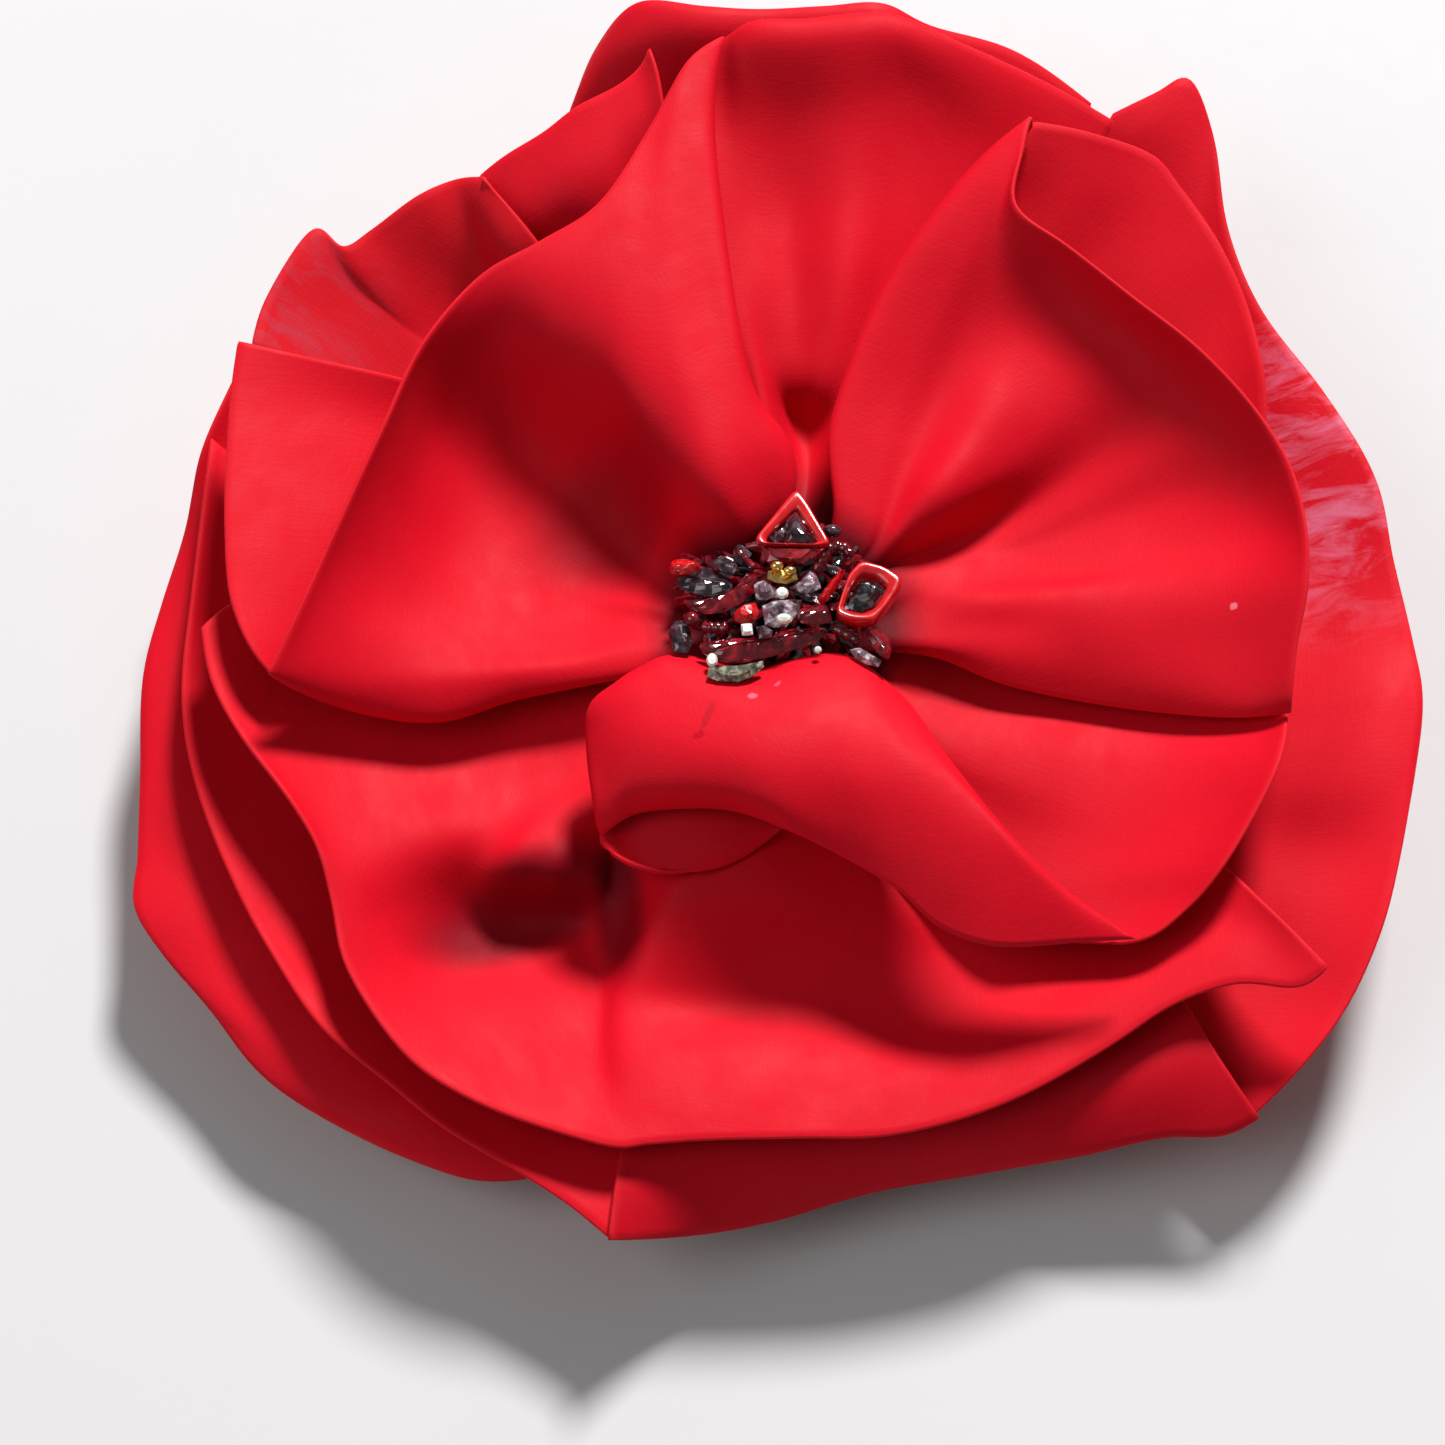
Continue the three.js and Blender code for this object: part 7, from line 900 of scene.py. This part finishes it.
def tube(path, r, sides=10, per=6, bulge=0.0, seed=0):
    P = np.array(path, float)
    if len(P) > 2:
        P = rib(P, per * (len(P) - 1) + 1)
    rng = np.random.RandomState(seed)
    V, prev, k = [], None, len(P)
    for i in range(k):
        d = P[min(i + 1, k - 1)] - P[max(i - 1, 0)]
        d /= np.linalg.norm(d)
        u = (np.cross(d, [0, 0, 1.0]) if prev is None else prev - d * np.dot(prev, d))
        u /= np.linalg.norm(u)
        prev, w = u, np.cross(u, d)
        rr = r * (1 + bulge * math.sin(i * 1.9 + seed)) * (0.75 if i in (0, k - 1) else 1)
        for q in np.arange(sides) * 2 * math.pi / sides:
            V.append(P[i] + rr * (u * math.cos(q) + w * math.sin(q)))
    V = np.array(V)
    F = ring_faces(k, sides)
    V = np.vstack([V, P[0], P[-1]])
    for i in range(sides):
        j = (i + 1) % sides
        F += [(k * sides, j, i), (k * sides + 1, (k - 1) * sides + i, (k - 1) * sides + j)]
    return V, F


def seed_bead(t, n=14, rows=7):
    c, r = np.array(t["at"], float), np.array(t["r"], float)
    ths = np.radians(np.linspace(-78, 78, rows))
    V = [[c[0] + r[0] * math.cos(a) * math.cos(th), c[1] + r[1] * math.sin(a) * math.cos(th), c[2] + r[2] * math.sin(th)]
         for th in ths for a in np.arange(n) * 2 * math.pi / n]
    V += [[c[0], c[1], c[2] - r[2]], [c[0], c[1], c[2] + r[2]]]
    F = ring_faces(rows, n)
    for i in range(n):
        j = (i + 1) % n
        F += [(rows * n, j, i), (rows * n + 1, (rows - 1) * n + i, (rows - 1) * n + j)]
    return np.array(V), F


LEAVES = {"smoky_leaf", "garnet_leaf_upper", "red_leaf_lower", "violet_leaf", "garnet_leaf_right", "red_arm", "red_tip_leaf", "garnet_petal_right"}


def jewel_look(name):
    if name == "kite_stone":
        return "black_glass", "smoky_glass"
    if "bezel" in name or name in ("red_tip_leaf", "red_petal_bead", "red_arm"):
        return "red_enamel", "red_enamel"
    if "gold" in name:
        return "gold", "gold"
    if "green" in name:
        return "green_glass", "clear_glass"
    if name in ("crystal_upper", "crystal_middle", "grey_facet", "smoky_bead_right"):
        return "crystal_glass", "clear_glass"
    if "clear" in name or name == "square_stone":
        return "clear_glass", "clear_glass"
    if any(k in name for k in ("smoky", "violet", "leaf_stone", "square_setting")):
        return "smoky_glass", "smoky_glass"
    return "garnet_glass", "garnet_glass"


for _i, (_n, _t) in enumerate(JEWELS.items()):
    _m, _s = jewel_look(_n)
    if _t["kind"] == "stone":
        _V, _F = (leaf if _n in LEAVES else gem)(_t, seed=_i)
        _sm = False
    elif _t["kind"] == "band":
        _V, _F = frame_band(_t)
        _sm = True
    elif _t["kind"] == "rod":
        _V, _F = tube(_t["path"], _t["r"], bulge=0.18, seed=_i)
        _sm = True
    else:
        _V, _F = seed_bead(_t, 10 if "clear" in _n else 16, 5 if "clear" in _n else 9)
        _sm = "clear" not in _n
    mesh_object(_n + "_cut", _V, _F, _m, _sm, _n, "flower")


def nest():
    """Broken chips packed on the plate under the named stones, so no bare plate shows between them."""
    rng = np.random.RandomState(41)
    kinds = {"garnet_glass": ([], []), "smoky_glass": ([], []), "black_glass": ([], [])}
    put = []
    for _ in range(4000):
        x, y = rng.uniform(-9.4, 8.2), rng.uniform(-5.4, 9.4)
        q = math.hypot((x + 0.6) / 8.4, (y - 1.9) / 6.9)
        if q > 1 or any(math.hypot(x - a, y - b) < 1.05 for a, b in put):
            continue
        put.append((x, y))
        z = 22.9 - 1.9 * q * q + rng.uniform(-0.45, 0.35)
        yaw = math.atan2(y - 1.9, x + 0.6) + rng.uniform(-0.8, 0.8)
        long, wide, tall = rng.uniform(0.9, 1.55), rng.uniform(0.38, 0.66), rng.uniform(0.30, 0.55)
        n = 7
        a = np.arange(n) * 2 * math.pi / n + rng.uniform(0, 1)
        rr = rng.uniform(0.8, 1.12, n)
        loop = np.c_[long * np.cos(a) * rr, wide * np.sin(a) * rr]
        top = loop * rng.uniform(0.40, 0.62) + rng.uniform(-0.12, 0.12, 2)
        V = np.vstack([np.c_[loop * 0.6, np.full(n, -tall)], np.c_[loop, np.zeros(n)], np.c_[top, tall * (1 + rng.uniform(-0.25, 0.25, n))],
                       [[0, 0, -tall * 1.2]], [[top[:, 0].mean(), top[:, 1].mean(), tall * 1.05]]])
        tilt, roll = rng.uniform(-0.5, 0.5), rng.uniform(-0.4, 0.4)
        ct, st, cr, sr, cy, sy = math.cos(tilt), math.sin(tilt), math.cos(roll), math.sin(roll), math.cos(yaw), math.sin(yaw)
        V = V @ np.array([[ct, 0, -st], [0, 1, 0], [st, 0, ct]]) @ np.array([[1, 0, 0], [0, cr, sr], [0, -sr, cr]]) @ np.array([[cy, sy, 0], [-sy, cy, 0], [0, 0, 1]])
        V = V + [x, y, z]
        F = ring_faces(3, n)
        for i in range(n):
            j = (i + 1) % n
            F += [(3 * n, j, i), (3 * n + 1, 2 * n + i, 2 * n + j)]
        vs, fs = kinds[rng.choice(["garnet_glass", "smoky_glass", "black_glass"], p=[0.60, 0.24, 0.16])]
        base = sum(len(v) for v in vs)
        vs.append(V)
        fs += [tuple(base + i for i in f) for f in F]
    for k, (vs, fs) in kinds.items():
        mesh_object("chips_" + k.split("_")[0], np.vstack(vs), fs, k, False, None, "flower")


nest()


def stitches():
    """Whip stitches that hold the felt disc to the flower, left out where the clip's strip crosses."""
    vs, fs, base = [], [], 0
    rng = np.random.RandomState(5)
    for i in range(40):
        a = 2 * math.pi * i / 40 + rng.uniform(-0.015, 0.015)
        c, s = math.cos(a), math.sin(a)
        if abs(12 * s) < 4.6:
            continue
        r0 = 10.7 + rng.uniform(-0.12, 0.12)
        lean = 0.05
        pts = []
        for r, z, k in ((r0, 8.85, 0), (r0 + 0.15, 8.52, 0.1), (11.5, 8.44, 0.5), (12.2, 8.50, 0.9), (12.38, 8.9, 1.0), (12.30, 9.45, 1.0)):
            b = a + lean * (k - 0.5)
            pts.append((r * math.cos(b), r * math.sin(b), z))
        V, F = tube(pts, 0.13, sides=6, per=3, bulge=0.05, seed=i)
        vs.append(V)
        fs += [tuple(base + q for q in f) for f in F]
        base += len(V)
    mesh_object("backing_stitches", np.vstack(vs), fs, "thread", True, None, "flower")


stitches()


def spring():
    """Torsion spring: a wire coiled at the hinge, its upper leg along the fixed arm and its lower leg along the jaw."""
    path = [(14.5, -1.9, 5.94)]
    for i in range(50):
        a = math.radians(75 - 1230 * i / 49)
        path.append((5 + 1.75 * math.cos(a), -1.9 + 3.8 * i / 49, 4.2 + 1.75 * math.sin(a)))
    path.append((14.5, 1.9, 1.26))
    P = np.array(path)
    legs = [P[0] + (P[1] - P[0]) * t for t in np.linspace(0, 1, 8)[:-1]]
    tail = [P[-2] + (P[-1] - P[-2]) * t for t in np.linspace(0, 1, 8)[1:]]
    V, F = tube(legs + list(P[1:-1]) + tail, 0.36, sides=12, per=2)
    V = V + [SX, SY, 0]
    V /= 1000
    me = bpy.data.meshes.new("torsion_spring_wire")
    me.from_pydata(V.tolist(), [], [list(f) for f in F])
    bm = bmesh.new()
    bm.from_mesh(me)
    bmesh.ops.recalc_face_normals(bm, faces=bm.faces)
    bm.to_mesh(me)
    bm.free()
    me.polygons.foreach_set("use_smooth", [True] * len(me.polygons))
    me.materials.append(MATS["spring_steel"])
    o = link(bpy.data.objects.new("torsion_spring_wire", me))
    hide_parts("torsion_spring")
    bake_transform(o)


spring()


# ------------------------------------------------------------------ clip and small parts, from the CAD shapes
def polished(node, material, body, bevel=0.00012, segments=2):
    """The CAD shape with its sharp sheet edges broken, as tumbled and plated steel has."""
    src = NODES[node]
    me = src.data.copy()
    me.name = node + "_finish"
    o = link(bpy.data.objects.new(node + "_finish", me))
    me.materials.clear()
    me.materials.append(MATS[material])
    w = o.modifiers.new("weld", "WELD")
    w.merge_threshold = 1e-6
    b = o.modifiers.new("bevel", "BEVEL")
    b.width, b.segments, b.limit_method, b.angle_limit = bevel, segments, "ANGLE", math.radians(32)
    b.harden_normals = False
    dg = bpy.context.evaluated_depsgraph_get()
    done = bpy.data.meshes.new_from_object(o.evaluated_get(dg))
    o.modifiers.clear()
    o.data = done
    done.materials.clear()
    done.materials.append(MATS[material])
    done.polygons.foreach_set("use_smooth", [False] * len(done.polygons))
    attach(o, body)
    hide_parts(node)
    return o


polished("clip_fixed_arm", "nickel", "flower")
polished("clip_moving_arm", "nickel", "jaw")
for _n, _m in (("hinge_pin", "nickel"), ("jewel_plate", "dark_metal"), ("petal_core", "petal_cloth"),
               ("gather_thread", "thread"), ("felt_lock_strip", "felt"), ("felt_backing_disc", "felt")):
    NODES[_n].data.materials.clear()
    NODES[_n].data.materials.append(MATS[_m])


# ------------------------------------------------------------------ stage, lights
def make_stage():
    me = bpy.data.meshes.new("floor")
    r, n = 1.6, 24
    verts = [(-r + 2 * r * i / n, -r + 2 * r * j / n, -0.0002) for j in range(n + 1) for i in range(n + 1)]
    faces = [(j * (n + 1) + i, j * (n + 1) + i + 1, (j + 1) * (n + 1) + i + 1, (j + 1) * (n + 1) + i) for j in range(n) for i in range(n)]
    me.from_pydata(verts, [], faces)
    me.materials.append(floor_material())
    o = link(bpy.data.objects.new("floor", me))


def area_light(name, loc, target, size, power, color=(1, 1, 1)):
    l = bpy.data.lights.new(name, "AREA")
    l.shape, l.size, l.energy, l.color = "DISK", size, power, color
    o = link(bpy.data.objects.new(name, l))
    o.location = loc
    o.rotation_mode = "QUATERNION"
    o.rotation_quaternion = (Vector(target) - Vector(loc)).to_track_quat("-Z", "Y")
    return o


make_stage()
area_light("key", (0.38, 1.21, 1.30), (0, 0, 0.02), 0.40, 55.0, (1.0, 0.985, 0.985))
area_light("fill", (-0.75, -0.25, 0.90), (0, 0, 0.02), 0.80, 3.4)
_world = bpy.data.worlds.new("studio")
SCENE.world = _world
_world.use_nodes = True
_world.node_tree.nodes["Background"].inputs[0].default_value = (1, 1, 1, 1)
_world.node_tree.nodes["Background"].inputs[1].default_value = 0.185
SCENE.view_settings.view_transform = "Standard"
